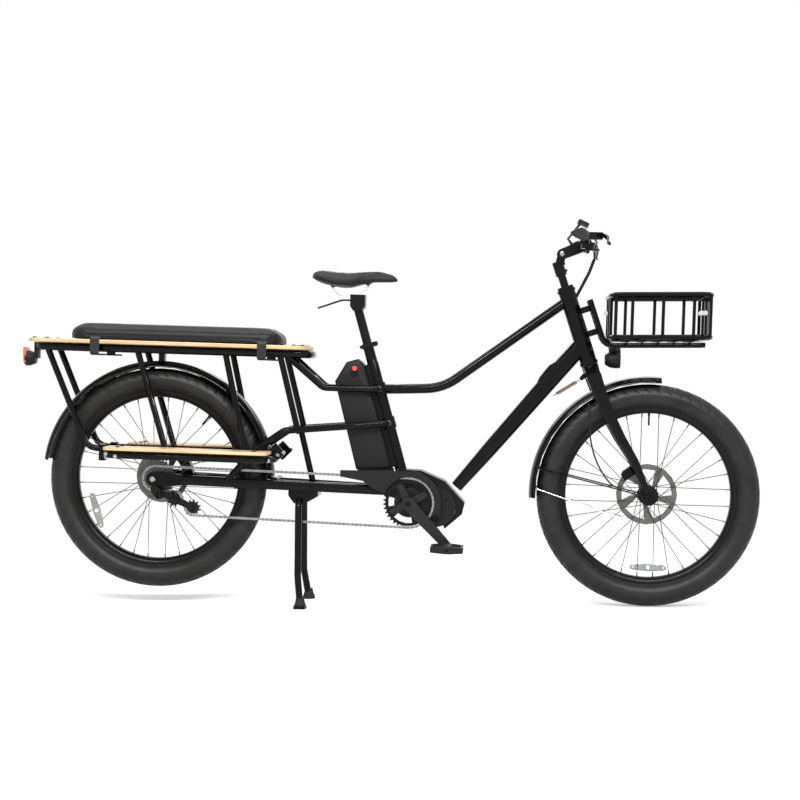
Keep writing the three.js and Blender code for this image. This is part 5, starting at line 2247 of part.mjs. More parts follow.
// The wrapped cable bundle from the handlebar down past the head tube, with its hoses to the levers
function bundleRoute() {
  const bar = barCentre();
  return [
    shifted(bar, BUNDLE_AHEAD, -BUNDLE_DROP),
    shifted(bar, BUNDLE_AHEAD / 2, -2 * BUNDLE_DROP),
    onHead(HEAD_TUBE_RADIUS / 2, HEAD_TUBE_END - BUNDLE_DROP),
  ];
}

// One hose, from the top of the bundle along under the bar to the inner end of a lever body
function leverHose(side) {
  const bar = barCentre();
  const lever = barPoint(side, LEVER_CLAMP_Y);
  const end = LEVER_CLAMP_Y - (LEVER_CLAMP_WIDTH + LEVER_BODY_WIDTH) / 2 - SEAT_GAP;
  return tube(rounded([
    shifted(bar, BUNDLE_AHEAD, -BUNDLE_DROP - BUNDLE_RADIUS, side * SEAT_GAP),
    shifted(bar, BUNDLE_AHEAD, -BUNDLE_DROP / 2, side * BAR_BEND_Y / 2),
    shifted(bar, BUNDLE_AHEAD, 0, side * BAR_RISE_Y),
    at(lever.x + LEVER_BODY_AHEAD * HOSE_SHARE, lever.z, side * (end - OVERRUN)),
    at(lever.x + LEVER_BODY_AHEAD * HOSE_SHARE, lever.z, side * end),
  ], BUNDLE_DROP, 2), HOSE_RADIUS, 6);
}

function cableBundle() {
  const bundle = tube(rounded(bundleRoute(), BUNDLE_DROP, 3), BUNDLE_RADIUS, TUBE_SIDES);
  return join([largest(cut(bundle, headTubeBlank(SEAT_GAP))), ...SIDES.map(leverHose)]);
}

const model = new THREE.Group();
const bike = new THREE.Group();
bike.rotation.y = PITCH;
model.add(bike);

add(bike, 'head_tube', headTube(), glossPaint());
add(bike, 'top_tube', topTube(), glossPaint());
add(bike, 'down_tube', downTube(), glossPaint());
add(bike, 'seat_tube', seatTube(), glossPaint());
add(bike, 'motor_bracket', motorBracket(), glossPaint());
add(bike, 'drive_unit', driveUnit(), satinBlack());
add(bike, 'chainstays', chainstays(), glossPaint());
add(bike, 'rack_rail', rackRail(), glossPaint());
add(bike, 'upper_stays', upperStays(), glossPaint());
add(bike, 'lower_stays', lowerStays(), glossPaint());
add(bike, 'deck_board', deckBoard(), plywood());
add(bike, 'seat_pad', seatPad(), blackVinyl());
add(bike, 'tail_light', tailLight(), satinBlack());
add(bike, 'rear_fender', rearFender(), glossPaint());
add(bike, 'chain_guard', chainGuard(), satinBlack());
add(bike, 'battery', battery(), satinBlack());
add(bike, 'battery_button', batteryButton(), redPlastic());
add(bike, 'seatpost', seatpost(), satinBlack());
add(bike, 'saddle', saddle(), blackVinyl());
add(bike, 'clamp_lever', clampLever(), satinBlack());
add(bike, 'kickstand', kickstand(), glossPaint());
for (const side of SIDES) {
  add(bike, `rack_side_${sideName(side)}`, rackSide(side), glossPaint());
  add(bike, `footboard_${sideName(side)}`, footboard(side), plywood());
}

const frontGroup = new THREE.Group();
frontGroup.position.copy(FRONT_AXLE);
bike.add(frontGroup);
add(frontGroup, 'front_tyre', tyre(), blackRubber());
add(frontGroup, 'front_wheel', frontWheel(), satinBlack());
add(frontGroup, 'front_rotor', rotor(FRONT_ROTOR_RADIUS, FRONT_ROTOR_Y), brightMetal());
add(bike, 'rear_tyre', tyre(), blackRubber());
add(bike, 'rear_wheel', rearWheel(), satinBlack());
add(bike, 'rear_rotor', rotor(REAR_ROTOR_RADIUS, REAR_ROTOR_Y), brightMetal());
add(bike, 'cassette', cassette(), brightMetal());
add(bike, 'chainring', chainring(), satinBlack());
add(bike, 'chain', chain(), brightMetal());
add(bike, 'guide_pulley', pulley(guidePulley()), matteBlack());
add(bike, 'tension_pulley', pulley(tensionPulley()), matteBlack());
add(bike, 'derailleur_body', derailleurBody(), satinBlack());
add(bike, 'derailleur_link', derailleurLink(), satinBlack());
add(bike, 'derailleur_knuckle', derailleurKnuckle(), satinBlack());
add(bike, 'derailleur_cage', derailleurCage(), satinBlack());
for (const side of SIDES) {
  add(bike, `crank_${sideName(side)}`, crank(side), satinBlack());
  add(bike, `pedal_${sideName(side)}`, pedal(side), satinBlack());
}
add(bike, 'fork', fork(), glossPaint());
add(bike, 'front_fender', frontFender(), glossPaint());
add(bike, 'steering_spring', steeringSpring(), brightMetal());
add(bike, 'stem_riser', stemRiser(), satinBlack());
add(bike, 'stem_arm', stemArm(), satinBlack());
add(bike, 'handlebar', handlebar(), satinBlack());
add(bike, 'shift_lever', shiftLever(), satinBlack());
add(bike, 'display', display(), satinBlack());
for (const side of SIDES) {
  add(bike, `grip_${sideName(side)}`, grip(side), blackRubber());
  add(bike, `brake_lever_${sideName(side)}`, brakeLever(side), satinBlack());
}
add(bike, 'front_carrier', frontCarrier(), satinBlack());
add(bike, 'front_basket', basket(), satinBlack());
add(bike, 'headlamp', headlamp(), satinBlack());
add(bike, 'cable_bundle', cableBundle(), blackRubber());

// The origin is the middle of the box at floor height
const bounds = new THREE.Box3().setFromObject(model, true);
const middle = bounds.getCenter(new THREE.Vector3());
bike.position.set(-middle.x, -middle.y, -bounds.min.z);

export default model;
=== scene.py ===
"""Looks of the longtail cargo bicycle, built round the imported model. Metres, +X forward, +Z up."""

import json
from math import asin, atan2, ceil, cos, exp, pi, radians, sin

import bmesh
import bpy
import numpy as np
from mathutils import Matrix, Vector
from mathutils.bvhtree import BVHTree


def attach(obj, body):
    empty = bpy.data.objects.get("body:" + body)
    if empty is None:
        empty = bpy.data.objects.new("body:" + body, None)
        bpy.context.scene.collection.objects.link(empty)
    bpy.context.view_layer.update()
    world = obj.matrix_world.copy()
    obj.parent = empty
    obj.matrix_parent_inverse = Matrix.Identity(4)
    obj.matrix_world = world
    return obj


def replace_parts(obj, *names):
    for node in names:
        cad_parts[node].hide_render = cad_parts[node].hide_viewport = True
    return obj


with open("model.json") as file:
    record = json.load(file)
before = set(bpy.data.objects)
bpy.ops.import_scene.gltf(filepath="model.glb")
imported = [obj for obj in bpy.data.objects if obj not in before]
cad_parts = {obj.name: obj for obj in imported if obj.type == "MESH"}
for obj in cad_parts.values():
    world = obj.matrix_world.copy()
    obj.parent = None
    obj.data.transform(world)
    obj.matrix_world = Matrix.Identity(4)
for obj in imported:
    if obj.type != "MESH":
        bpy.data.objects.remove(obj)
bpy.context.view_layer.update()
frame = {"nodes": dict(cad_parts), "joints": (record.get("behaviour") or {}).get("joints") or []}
NODES = frame["nodes"]
JOINTS = {joint["name"]: joint for joint in frame["joints"]}

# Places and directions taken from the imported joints
REAR_AXLE, FRONT_AXLE, CRANK_AXLE, GUIDE_PULLEY, TENSION_PULLEY, STEM_PIVOT = (
    Vector(JOINTS[name]["pos_m"]) for name in ("rear_wheel_spin", "front_wheel_spin", "crank_turn",
                                               "guide_pulley_spin", "tension_pulley_spin", "stem_tilt"))
UP = Vector(JOINTS["derailleur_link_swing"]["axis"]).normalized()
AHEAD = Vector((UP.z, 0, -UP.x))
ACROSS = Vector((0, 1, 0))
FLOOR_AHEAD = Vector((1, 0, 0))
FLOOR_UP = Vector((0, 0, 1))
RIGHT, LEFT = -1, 1
SIDES = ((RIGHT, "right"), (LEFT, "left"))


def bike(x, y, z):
    """A point given ahead of and above the rear axle in the bicycle's own level."""
    return REAR_AXLE + AHEAD * x + ACROSS * y + UP * z


def outward(turn):
    """The direction at an angle in a wheel's plane: nought is straight ahead, then over the top."""
    return AHEAD * cos(turn) + UP * sin(turn)


def circle(sides):
    """The angles of evenly spaced points round a circle."""
    return [2 * pi * side / sides for side in range(sides)]


# Camera and studio

PHOTO_SIZE = 800
FOCAL_PIXELS = 1665
CAMERA_PLACE = (0.3387, -4.9326, 0.694)
CAMERA_YAW = 3.5
CAMERA_DROP = 1.01
SENSOR = 36.0
WHITE = (1, 1, 1, 1)
WORLD_LEVEL = 0.42
# Each lamp's place, aim, size and power in watts
LAMPS = {
    "key_strip": ((0.2, -3.4, 3.2), (0, 0, 0.45), (4.6, 0.24), 190),
    "top_strip": ((0, 0.2, 3.4), (0, 0, 0.4), (4.4, 0.7), 55),
    "back_strip": ((0.3, 3.1, 2.2), (0, 0, 0.5), (4.2, 0.3), 20),
}
FLOOR_REACH = 4
FLOOR_COLOR = (0.9, 0.9, 0.9, 1)
FLOOR_GLOW = 0.3
FLOOR_FADE_START, FLOOR_FADE_END = 1.3, 2.6


def new_object(name, data):
    made = bpy.data.objects.new(name, data)
    bpy.context.collection.objects.link(made)
    return made


def make_camera():
    data = bpy.data.cameras.new("camera")
    data.sensor_width = SENSOR
    data.lens = SENSOR * FOCAL_PIXELS / PHOTO_SIZE
    camera = new_object("camera", data)
    camera.location = CAMERA_PLACE
    camera.rotation_euler = (radians(90 - CAMERA_DROP), 0, radians(CAMERA_YAW))
    bpy.context.scene.camera = camera


def area_light(name, place, aim, size, power):
    data = bpy.data.lights.new(name, "AREA")
    data.shape = "RECTANGLE"
    data.size, data.size_y = size
    data.energy = power
    lamp = new_object(name, data)
    lamp.location = place
    lamp.rotation_euler = (Vector(aim) - Vector(place)).to_track_quat("-Z", "Y").to_euler()


def feed(node, inputs):
    """Gives each named input of a node its value or its link."""
    for key, value in inputs.items():
        if isinstance(value, bpy.types.NodeSocket):
            node.id_data.links.new(value, node.inputs[key])
        else:
            node.inputs[key].default_value = value


def new_node(tree, kind, inputs=None, **settings):
    made = tree.nodes.new(kind)
    for name, value in settings.items():
        setattr(made, name, value)
    feed(made, inputs or {})
    return made


def make_studio():
    """The lamps, and a world that is white to the camera and in mirrors and soft as a light."""
    scene = bpy.context.scene
    scene.view_settings.view_transform = "Standard"
    for name, lamp in LAMPS.items():
        area_light(name, *lamp)
    world = bpy.data.worlds.new("studio")
    scene.world = world
    world.use_nodes = True
    tree = world.node_tree
    tree.nodes.clear()
    path = new_node(tree, "ShaderNodeLightPath").outputs
    shown = path["Is Camera Ray"]
    for ray in ("Is Transmission Ray", "Is Glossy Ray"):
        shown = new_node(tree, "ShaderNodeMath", {0: shown, 1: path[ray]}, operation="MAXIMUM").outputs[0]
    soft, white = (new_node(tree, "ShaderNodeBackground", {"Color": WHITE, "Strength": level}).outputs[0]
                   for level in (WORLD_LEVEL, 1))
    mix = new_node(tree, "ShaderNodeMixShader", {0: shown, 1: soft, 2: white})
    new_node(tree, "ShaderNodeOutputWorld", {0: mix.outputs[0]})


def make_floor():
    """A pale floor that keeps the shadow under the bicycle and fades out into the white behind."""
    mesh = bpy.data.meshes.new("floor")
    corners = [(x * FLOOR_REACH, y * FLOOR_REACH, 0) for x, y in ((-1, -1), (1, -1), (1, 1), (-1, 1))]
    mesh.from_pydata(corners, [], [(0, 1, 2, 3)])
    floor = new_object("floor", mesh)
    material = bpy.data.materials.new("pale_floor")
    material.use_nodes = True
    tree = material.node_tree
    shader = tree.nodes["Principled BSDF"]
    shown = new_node(tree, "ShaderNodeLightPath").outputs["Is Camera Ray"]
    glow = new_node(tree, "ShaderNodeMath", {0: shown, 1: FLOOR_GLOW}, operation="MULTIPLY")
    feed(shader, {"Base Color": FLOOR_COLOR, "Roughness": 0.95, "Specular IOR Level": 0.1,
                  "Emission Color": WHITE, "Emission Strength": glow.outputs[0]})
    place = new_node(tree, "ShaderNodeTexCoord").outputs["Object"]
    far = new_node(tree, "ShaderNodeVectorMath", {0: place}, operation="LENGTH").outputs["Value"]
    limits = {"From Min": FLOOR_FADE_START, "From Max": FLOOR_FADE_END}
    fade = new_node(tree, "ShaderNodeMapRange", {**limits, "Value": far}).outputs["Result"]
    clear = new_node(tree, "ShaderNodeBsdfTransparent").outputs[0]
    mix = new_node(tree, "ShaderNodeMixShader", {0: fade, 1: shader.outputs[0], 2: clear})
    feed(tree.nodes["Material Output"], {0: mix.outputs[0]})
    mesh.materials.append(material)


# Materials

LEAST_ROUGHNESS = 0.02
PLIES_PER_METRE = 75
RIBS_PER_METRE = 110
WEAVE_PER_METRE = 900


class Surface:
    """A node material round one Principled shader, with short calls for its textures."""

    def __init__(self, name, color, roughness, metallic=0.0, coat=0.0, coat_roughness=0.03, sheen=0.0,
                 shine=0.5):
        self.material = bpy.data.materials.new(name)
        self.material.use_nodes = True
        self.tree = self.material.node_tree
        self.shader = self.tree.nodes["Principled BSDF"]
        self.color, self.roughness = color, roughness
        feed(self.shader, {"Base Color": (*color, 1), "Roughness": roughness, "Metallic": metallic,
                           "Coat Weight": coat, "Coat Roughness": coat_roughness, "Sheen Weight": sheen,
                           "Specular IOR Level": shine})
        self.place = self.node("ShaderNodeTexCoord").outputs["Object"]
        self.height = None

    def node(self, kind, inputs=None, **settings):
        return new_node(self.tree, kind, inputs, **settings)

    def stretched(self, scale):
        """The place in the piece, drawn out by a scale for each axis."""
        return self.node("ShaderNodeMapping", {"Scale": scale, "Vector": self.place}).outputs["Vector"]

    def noise(self, size, detail=3.0, vector=None):
        """A noise pattern whose lumps are about size metres across."""
        inputs = {"Scale": 1 / size, "Detail": detail, "Vector": vector or self.place}
        return self.node("ShaderNodeTexNoise", inputs).outputs["Fac"]

    def cells(self, size):
        """A pattern of cells that are about size metres across."""
        inputs = {"Scale": 1 / size, "Vector": self.place}
        return self.node("ShaderNodeTexVoronoi", inputs).outputs["Distance"]

    def ramp(self, value, low, high, start=0.3, end=0.7):
        """Maps a pattern to colours between two."""
        made = self.node("ShaderNodeValToRGB", {"Fac": value})
        for element, position, color in zip(made.color_ramp.elements, (start, end), (low, high)):
            element.position = position
            element.color = (*color, 1)
        return made.outputs["Color"]

    def vary_color(self, pattern, spread):
        low = [value * (1 - spread) for value in self.color]
        high = [min(1, value * (1 + spread)) for value in self.color]
        feed(self.shader, {"Base Color": self.ramp(pattern, low, high)})

    def vary_roughness(self, pattern, spread):
        low, high = max(LEAST_ROUGHNESS, self.roughness - spread), min(1, self.roughness + spread)
        varied = self.node("ShaderNodeMapRange", {"To Min": low, "To Max": high, "Value": pattern})
        feed(self.shader, {"Roughness": varied.outputs["Result"]})

    def bump(self, pattern, distance, strength=0.5):
        inputs = {"Strength": strength, "Distance": distance, "Height": pattern}
        if self.height is not None:
            inputs["Normal"] = self.height
        self.height = self.node("ShaderNodeBump", inputs).outputs["Normal"]
        feed(self.shader, {"Normal": self.height})


def noisy(name, color, roughness, tint, wear=None, lumps=None, cells=None, **looks):
    """A surface with noise: tint and wear end with their spread, lumps and cells with their bump."""
    made = Surface(name, color, roughness, **looks)
    made.vary_color(made.noise(*tint[:-1]), tint[-1])
    if wear:
        made.vary_roughness(made.noise(*wear[:-1]), wear[-1])
    if lumps:
        made.bump(made.noise(*lumps[:-2]), *lumps[-2:])
    if cells:
        made.bump(made.cells(cells[0]), *cells[1:])
    return made


def brushed(name, color, roughness, scratches, stretch, wear, tint, depth, **looks):
    """A metal with fine lines along it."""
    made = Surface(name, color, roughness, **looks)
    lines = made.noise(*scratches, made.stretched((1, stretch, 1)))
    made.vary_roughness(lines, wear)
    made.vary_color(made.noise(tint[0]), tint[1])
    made.bump(lines, 0.0001, depth)
    return made


def steel(name, level, roughness):
    return brushed(name, (level, level, level * 0.97), roughness, (0.0018, 4.0), 6, 0.1, (0.02, 0.18), 0.15,
                   metallic=1.0)


def plastic(name, level, roughness):
    return noisy(name, (level, level, level * 1.03), roughness, (0.1, 0.2), (0.02, 0.06),
                 cells=(0.0011, 0.0002, 0.25), shine=0.22)


def reflector(name, color):
    return noisy(name, color, 0.16, (0.01, 0.12), cells=(0.0028, 0.0008, 0.6), coat=0.8)


def plywood():
    """Pale wood with grain along the board, and thin darker glue lines that show on its edges."""
    made = Surface("oiled_plywood", (0.72, 0.47, 0.22), 0.42, coat=0.3, coat_roughness=0.15)
    grain = made.noise(0.012, 6.0, made.stretched((0.09, 1.0, 1.0)))
    turned = made.node("ShaderNodeVectorRotate", {"Angle": -asin(UP.x), "Vector": made.place},
                       rotation_type="Y_AXIS").outputs["Vector"]
    plies = made.node("ShaderNodeTexWave", {"Scale": PLIES_PER_METRE, "Distortion": 0.4, "Vector": turned},
                      wave_type="BANDS", bands_direction="Z")
    wood = made.ramp(grain, (0.66, 0.42, 0.19), (0.93, 0.72, 0.42), 0.25, 0.7)
    layers = made.ramp(plies.outputs["Fac"], (0.62, 0.46, 0.30), (1, 1, 1), 0.05, 0.35)
    mix = made.node("ShaderNodeMix", {"Factor": 0.45, "A": wood, "B": layers}, data_type="RGBA",
                    blend_type="MULTIPLY")
    feed(made.shader, {"Base Color": mix.outputs["Result"]})
    made.vary_roughness(grain, 0.1)
    made.bump(grain, 0.0004, 0.25)
    return made


def vinyl(name, roughness):
    made = Surface(name, (0.008, 0.008, 0.0083), roughness, sheen=0.02, shine=0.25)
    pores = made.cells(0.0021)
    creases = made.noise(0.03, 5.0)
    made.vary_color(made.noise(0.06), 0.25)
    made.vary_roughness(creases, 0.07)
    made.bump(pores, 0.0005, 0.35)
    made.bump(creases, 0.001, 0.12)
    return made


def ribbed_rubber():
    made = Surface("grip_rubber", (0.018, 0.018, 0.019), 0.6, shine=0.25)
    made.vary_color(made.noise(0.02), 0.3)
    diamonds = made.node("ShaderNodeTexWave", {"Scale": RIBS_PER_METRE, "Vector": made.place},
                         wave_type="BANDS", bands_direction="DIAGONAL")
    made.bump(diamonds.outputs["Fac"], 0.0006, 0.4)
    return made


def webbing():
    made = Surface("woven_webbing", (0.012, 0.012, 0.012), 0.8, sheen=0.3)
    weave = made.node("ShaderNodeTexChecker", {"Scale": WEAVE_PER_METRE, "Vector": made.place})
    made.vary_color(made.noise(0.004), 0.4)
    made.bump(weave.outputs["Fac"], 0.0004, 0.5)
    return made


def make_materials():
    lens = noisy("clear_lens", (0.86, 0.88, 0.9), 0.07, (0.02, 0.06), cells=(0.003, 0.0006, 0.4), coat=0.5)
    feed(lens.shader, {"Transmission Weight": 0.35})
    button = noisy("lit_red_button", (0.85, 0.07, 0.03), 0.3, (0.004, 0.15), lumps=(0.001, 0.0001, 0.2),
                   coat=0.4)
    feed(button.shader, {"Emission Color": (1.0, 0.09, 0.04, 1), "Emission Strength": 0.35})
    surfaces = {
        "paint": noisy("gloss_black_paint", (0.003, 0.003, 0.0031), 0.12, (0.12, 0.25), (0.05, 0.05),
                       (0.004, 1.0, 0.0002, 0.08), coat=0.16, coat_roughness=0.02, shine=0.09),
        "metal": noisy("satin_black_metal", (0.006, 0.006, 0.0063), 0.28, (0.08, 0.25), (0.03, 0.07),
                       (0.0012, 2.0, 0.0002, 0.12), coat=0.1, coat_roughness=0.12, shine=0.12),
        "alloy": brushed("dark_grey_alloy", (0.02, 0.02, 0.0205), 0.34, (0.003, 3.0), 12, 0.08, (0.05, 0.2),
                         0.1, metallic=0.35, shine=0.3),
        "plastic": plastic("moulded_black_plastic", 0.011, 0.42),
        "case": plastic("battery_case_plastic", 0.010, 0.5),
        "screen": plastic("dark_screen", 0.006, 0.12),
        "wood": plywood(),
        "pad_vinyl": vinyl("pad_vinyl", 0.42),
        "saddle_vinyl": vinyl("saddle_vinyl", 0.5),
        "tyre": noisy("tyre_rubber", (0.012, 0.012, 0.0117), 0.43, (0.045, 5.0, 0.45), (0.03, 4.0, 0.12),
                      (0.0016, 2.0, 0.0004, 0.3), shine=0.32),
        "grip": ribbed_rubber(),
        "chain": steel("plated_chain", 0.34, 0.3),
        "dark_steel": steel("dark_steel", 0.1, 0.4),
        "spring": noisy("brown_spring_steel", (0.30, 0.20, 0.12), 0.4, (0.01, 0.2), (0.004, 0.08),
                        (0.0012, 0.0001, 0.2), metallic=0.6),
        "disc": steel("disc_steel", 0.17, 0.3),
        "cogs": steel("cog_steel", 0.11, 0.32),
        "bolt": steel("bright_bolt", 0.5, 0.22),
        "webbing": webbing(),
        "white": reflector("white_reflector", (0.82, 0.83, 0.8)),
        "grey": reflector("spoke_reflector_plastic", (0.3, 0.31, 0.3)),
        "amber": reflector("amber_reflector", (0.75, 0.2, 0.09)),
        "glass": lens,
        "button": button,
    }
    return {name: surface.material for name, surface in surfaces.items()}


# Mesh building

PIECE_SMOOTHING = 40
TINY = 0.0001
BOLT_EDGE_SHARE = 0.22
SOCKET_SHARE, SOCKET_FLOOR_SHARE, SOCKET_HEIGHT_SHARE = 0.5, 0.45, 0.4
BOX_BEVEL_SHARE = 0.18


def piece(name, vertices, faces, material, body):
    """A named smooth mesh that rides on a body."""
    mesh = bpy.data.meshes.new(name)
    mesh.from_pydata([tuple(point) for point in vertices], [], faces)
    mesh.update()
    made = new_object(name, mesh)
    mesh.materials.append(MATERIALS[material])
    mesh.shade_smooth()
    mesh.set_sharp_from_angle(angle=radians(PIECE_SMOOTHING))
    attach(made, body)
    return made


class Parts:
    """Vertices and faces gathered for one mesh."""

    def __init__(self):
        self.vertices, self.faces = [], []

    def add(self, vertices, faces):
        start = len(self.vertices)
        self.vertices += [Vector(point) for point in vertices]
        self.faces += [tuple(start + corner for corner in face) for face in faces]
        return self

    def rings(self, rings, closed=False):
        """Skins rings of equally many points, and caps or closes the ends."""
        sides = len(rings[0])
        count = len(rings)
        faces = []
        for index in range(count if closed else count - 1):
            low, high = index * sides, ((index + 1) % count) * sides
            for side in range(sides):
                after = (side + 1) % sides
                faces.append((low + side, low + after, high + after, high + side))
        if not closed:
            faces.append(tuple(range(sides))[::-1])
            faces.append(tuple(range((count - 1) * sides, count * sides)))
        return self.add([point for ring in rings for point in ring], faces)

    def tube(self, points, radius, sides=10, closed=False):
        """A round tube along points; radius may be a list with one value for each point."""
        points = [Vector(point) for point in points]
        count = len(points)
        radii = radius if isinstance(radius, list) else [radius] * count
        rings, across = [], None
        for index, point in enumerate(points):
            before = points[index - 1] if index or closed else point
            after = points[(index + 1) % count] if index < count - 1 or closed else point
            along = (after - before).normalized()
            if across is None:
                across = along.orthogonal().normalized()
            across = (across - along * across.dot(along)).normalized()
            other = along.cross(across)
            rings.append([point + (across * cos(turn) + other * sin(turn)) * radii[index]
                          for turn in circle(sides)])
        return self.rings(rings, closed)

    def turned(self, centre, axis, profile, sides=32, closed=False):
        """A profile of radius and height pairs turned about an axis through centre."""
        axis = Vector(axis).normalized()
        across = axis.orthogonal().normalized()
        other = axis.cross(across)
        return self.rings([[Vector(centre) + axis * height
                            + (across * cos(turn) + other * sin(turn)) * radius
                            for turn in circle(sides)] for radius, height in profile], closed)

    def bolt(self, centre, axis, radius, height):
        """A socket screw's head with a rounded edge and a sunk middle."""
        edge = radius * BOLT_EDGE_SHARE
        return self.turned(centre, axis, [
            (radius, 0), (radius, height - edge), (radius - edge, height), (radius * SOCKET_SHARE, height),
            (radius * SOCKET_FLOOR_SHARE, height * SOCKET_FLOOR_SHARE), (TINY, height * SOCKET_HEIGHT_SHARE)],
            18)

    def box(self, centre, size, ahead=FLOOR_AHEAD, up=FLOOR_UP):
        """A box with a small bevel, given by its size along ahead, across and up."""
        made = bmesh.new()
        bmesh.ops.create_cube(made, size=1.0)
        matrix = Matrix((ahead * size[0], ACROSS * size[1], up * size[2])).transposed().to_4x4()
        matrix.translation = Vector(centre)
        bmesh.ops.transform(made, matrix=matrix, verts=made.verts)
        bmesh.ops.bevel(made, geom=made.edges[:], offset=min(size) * BOX_BEVEL_SHARE, segments=2,
                        affect="EDGES")
        made.verts.index_update()
        points = [vertex.co.copy() for vertex in made.verts]
        faces = [tuple(vertex.index for vertex in face.verts) for face in made.faces]
        made.free()
        return self.add(points, faces)

    def make(self, name, material, body, slot):
        return piece(name, self.vertices, self.faces, material, body)


def curve_points(points, steps=8):
    """A smooth line through given points."""
    points = [Vector(point) for point in points]
    ends = [points[0] * 2 - points[1], *points, points[-1] * 2 - points[-2]]
    line = []
    for index in range(1, len(ends) - 2):
        before, start, end, after = ends[index - 1:index + 3]
        for step in range(steps):
            t = step / steps
            line.append(0.5 * (2 * start + (end - before) * t
                               + (2 * before - 5 * start + 4 * end - after) * t * t
                               + (3 * start - before - 3 * end + after) * t ** 3))
    return [*line, points[-1]]


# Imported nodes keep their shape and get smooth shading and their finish

FINISHES = {
    "paint": ["head_tube", "top_tube", "down_tube", "seat_tube", "chainstays", "rack_rail",
              "rack_side_right", "rack_side_left", "upper_stays", "lower_stays", "rear_fender", "kickstand",
              "fork", "front_fender", "front_carrier", "front_basket"],
    "metal": ["motor_bracket", "seatpost", "clamp_lever", "stem_riser", "stem_arm", "handlebar",
              "brake_lever_right", "brake_lever_left", "chainring", "derailleur_body", "derailleur_link",
              "derailleur_knuckle", "derailleur_cage"],
    "alloy": ["crank_right", "crank_left"],
    "plastic": ["drive_unit", "chain_guard", "tail_light", "headlamp", "display", "shift_lever",
                "pedal_right", "pedal_left", "guide_pulley", "tension_pulley", "cable_bundle"],
    "case": ["battery"],
    "wood": ["deck_board", "footboard_right", "footboard_left"],
    "grip": ["grip_right", "grip_left"],
    "disc": ["front_rotor", "rear_rotor"],
    "spring": ["steering_spring"],
    "cogs": ["cassette"],
    "button": ["battery_button"],
}
CRISP = {"chainring", "cassette", "guide_pulley", "tension_pulley", "front_rotor", "rear_rotor", "deck_board",
         "footboard_right", "footboard_left"}
TUBE_SMOOTHING, CRISP_SMOOTHING = 50, 25
WELD_DISTANCE = 0.00001


def smoothing_group(name, degrees):
    """Geometry nodes that weld a mesh and shade it smooth up to an angle."""
    group = bpy.data.node_groups.new(name, "GeometryNodeTree")
    for way in ("INPUT", "OUTPUT"):
        group.interface.new_socket("Geometry", in_out=way, socket_type="NodeSocketGeometry")
    start = new_node(group, "NodeGroupInput").outputs[0]
    weld = new_node(group, "GeometryNodeMergeByDistance", {"Geometry": start, "Distance": WELD_DISTANCE})
    faces = new_node(group, "GeometryNodeSetShadeSmooth", {"Geometry": weld.outputs["Geometry"]})
    angle = new_node(group, "GeometryNodeInputMeshEdgeAngle").outputs["Unsigned Angle"]
    sharp = new_node(group, "FunctionNodeCompare", {0: angle, 1: radians(degrees)},
                     operation="GREATER_THAN")
    edges = new_node(group, "GeometryNodeSetShadeSmooth",
                     {"Geometry": faces.outputs["Geometry"], "Selection": sharp.outputs[0],
                      "Shade Smooth": False}, domain="EDGE")
    new_node(group, "NodeGroupOutput", {0: edges.outputs["Geometry"]})
    return group


def finish_nodes():
    round_group = smoothing_group("smooth_tubes", TUBE_SMOOTHING)
    crisp_group = smoothing_group("smooth_rims", CRISP_SMOOTHING)
    for finish, names in FINISHES.items():
        for name in names:
            node = NODES[name]
            for slot in node.material_slots:
                slot.material = MATERIALS[finish]
            modifier = node.modifiers.new("smooth", "NODES")
            modifier.node_group = crisp_group if name in CRISP else round_group


# Tyres

TYRE_RADIUS = 0.3275
TYRE_HALF_WIDTH = 0.038
TYRE_HALF_DEPTH = 0.036
TYRE_SKIN = 0.001
TYRE_WRAP = radians(145)
TYRE_ROWS = 38
RIM_RADIUS = 0.2595
RIM_HALF_WIDTH = 0.021
BEAD_INSET, BEAD_DEPTH = 0.0035, 0.003
RIDGE_ANGLES = (84, 126)
RIDGE_HEIGHT, RIDGE_SPREAD = 0.0009, 0.035
TREAD_DEPTH = 0.0042
TREAD_BLOCKS, BLOCK_STEPS = 60, 8
TREAD_LIMIT = radians(72)
SIDE_GROOVE_START = radians(12)
MIDDLE_GROOVE_END = radians(9)
RING_GROOVE_PLACE, RING_GROOVE_HALF = radians(30), 0.04
GROOVE_SLANT = 5


def ring_about(centre, profile, segments, drop_at=lambda row, step: 0):
    """Vertices and faces of a closed ring about a wheel's axle; drop_at lowers points by row and step."""
    vertices, faces = [], []
    count = len(profile)
    for step, turn in enumerate(circle(segments)):
        vertices += [centre + outward(turn) * (radius - drop_at(row, step)) + ACROSS * y
                     for row, (radius, y) in enumerate(profile)]
    for step in range(segments):
        low, high = step * count, (step + 1) % segments * count
        for row in range(count):
            beside = (row + 1) % count
            faces.append((low + row, low + beside, high + beside, high + row))
    return vertices, faces


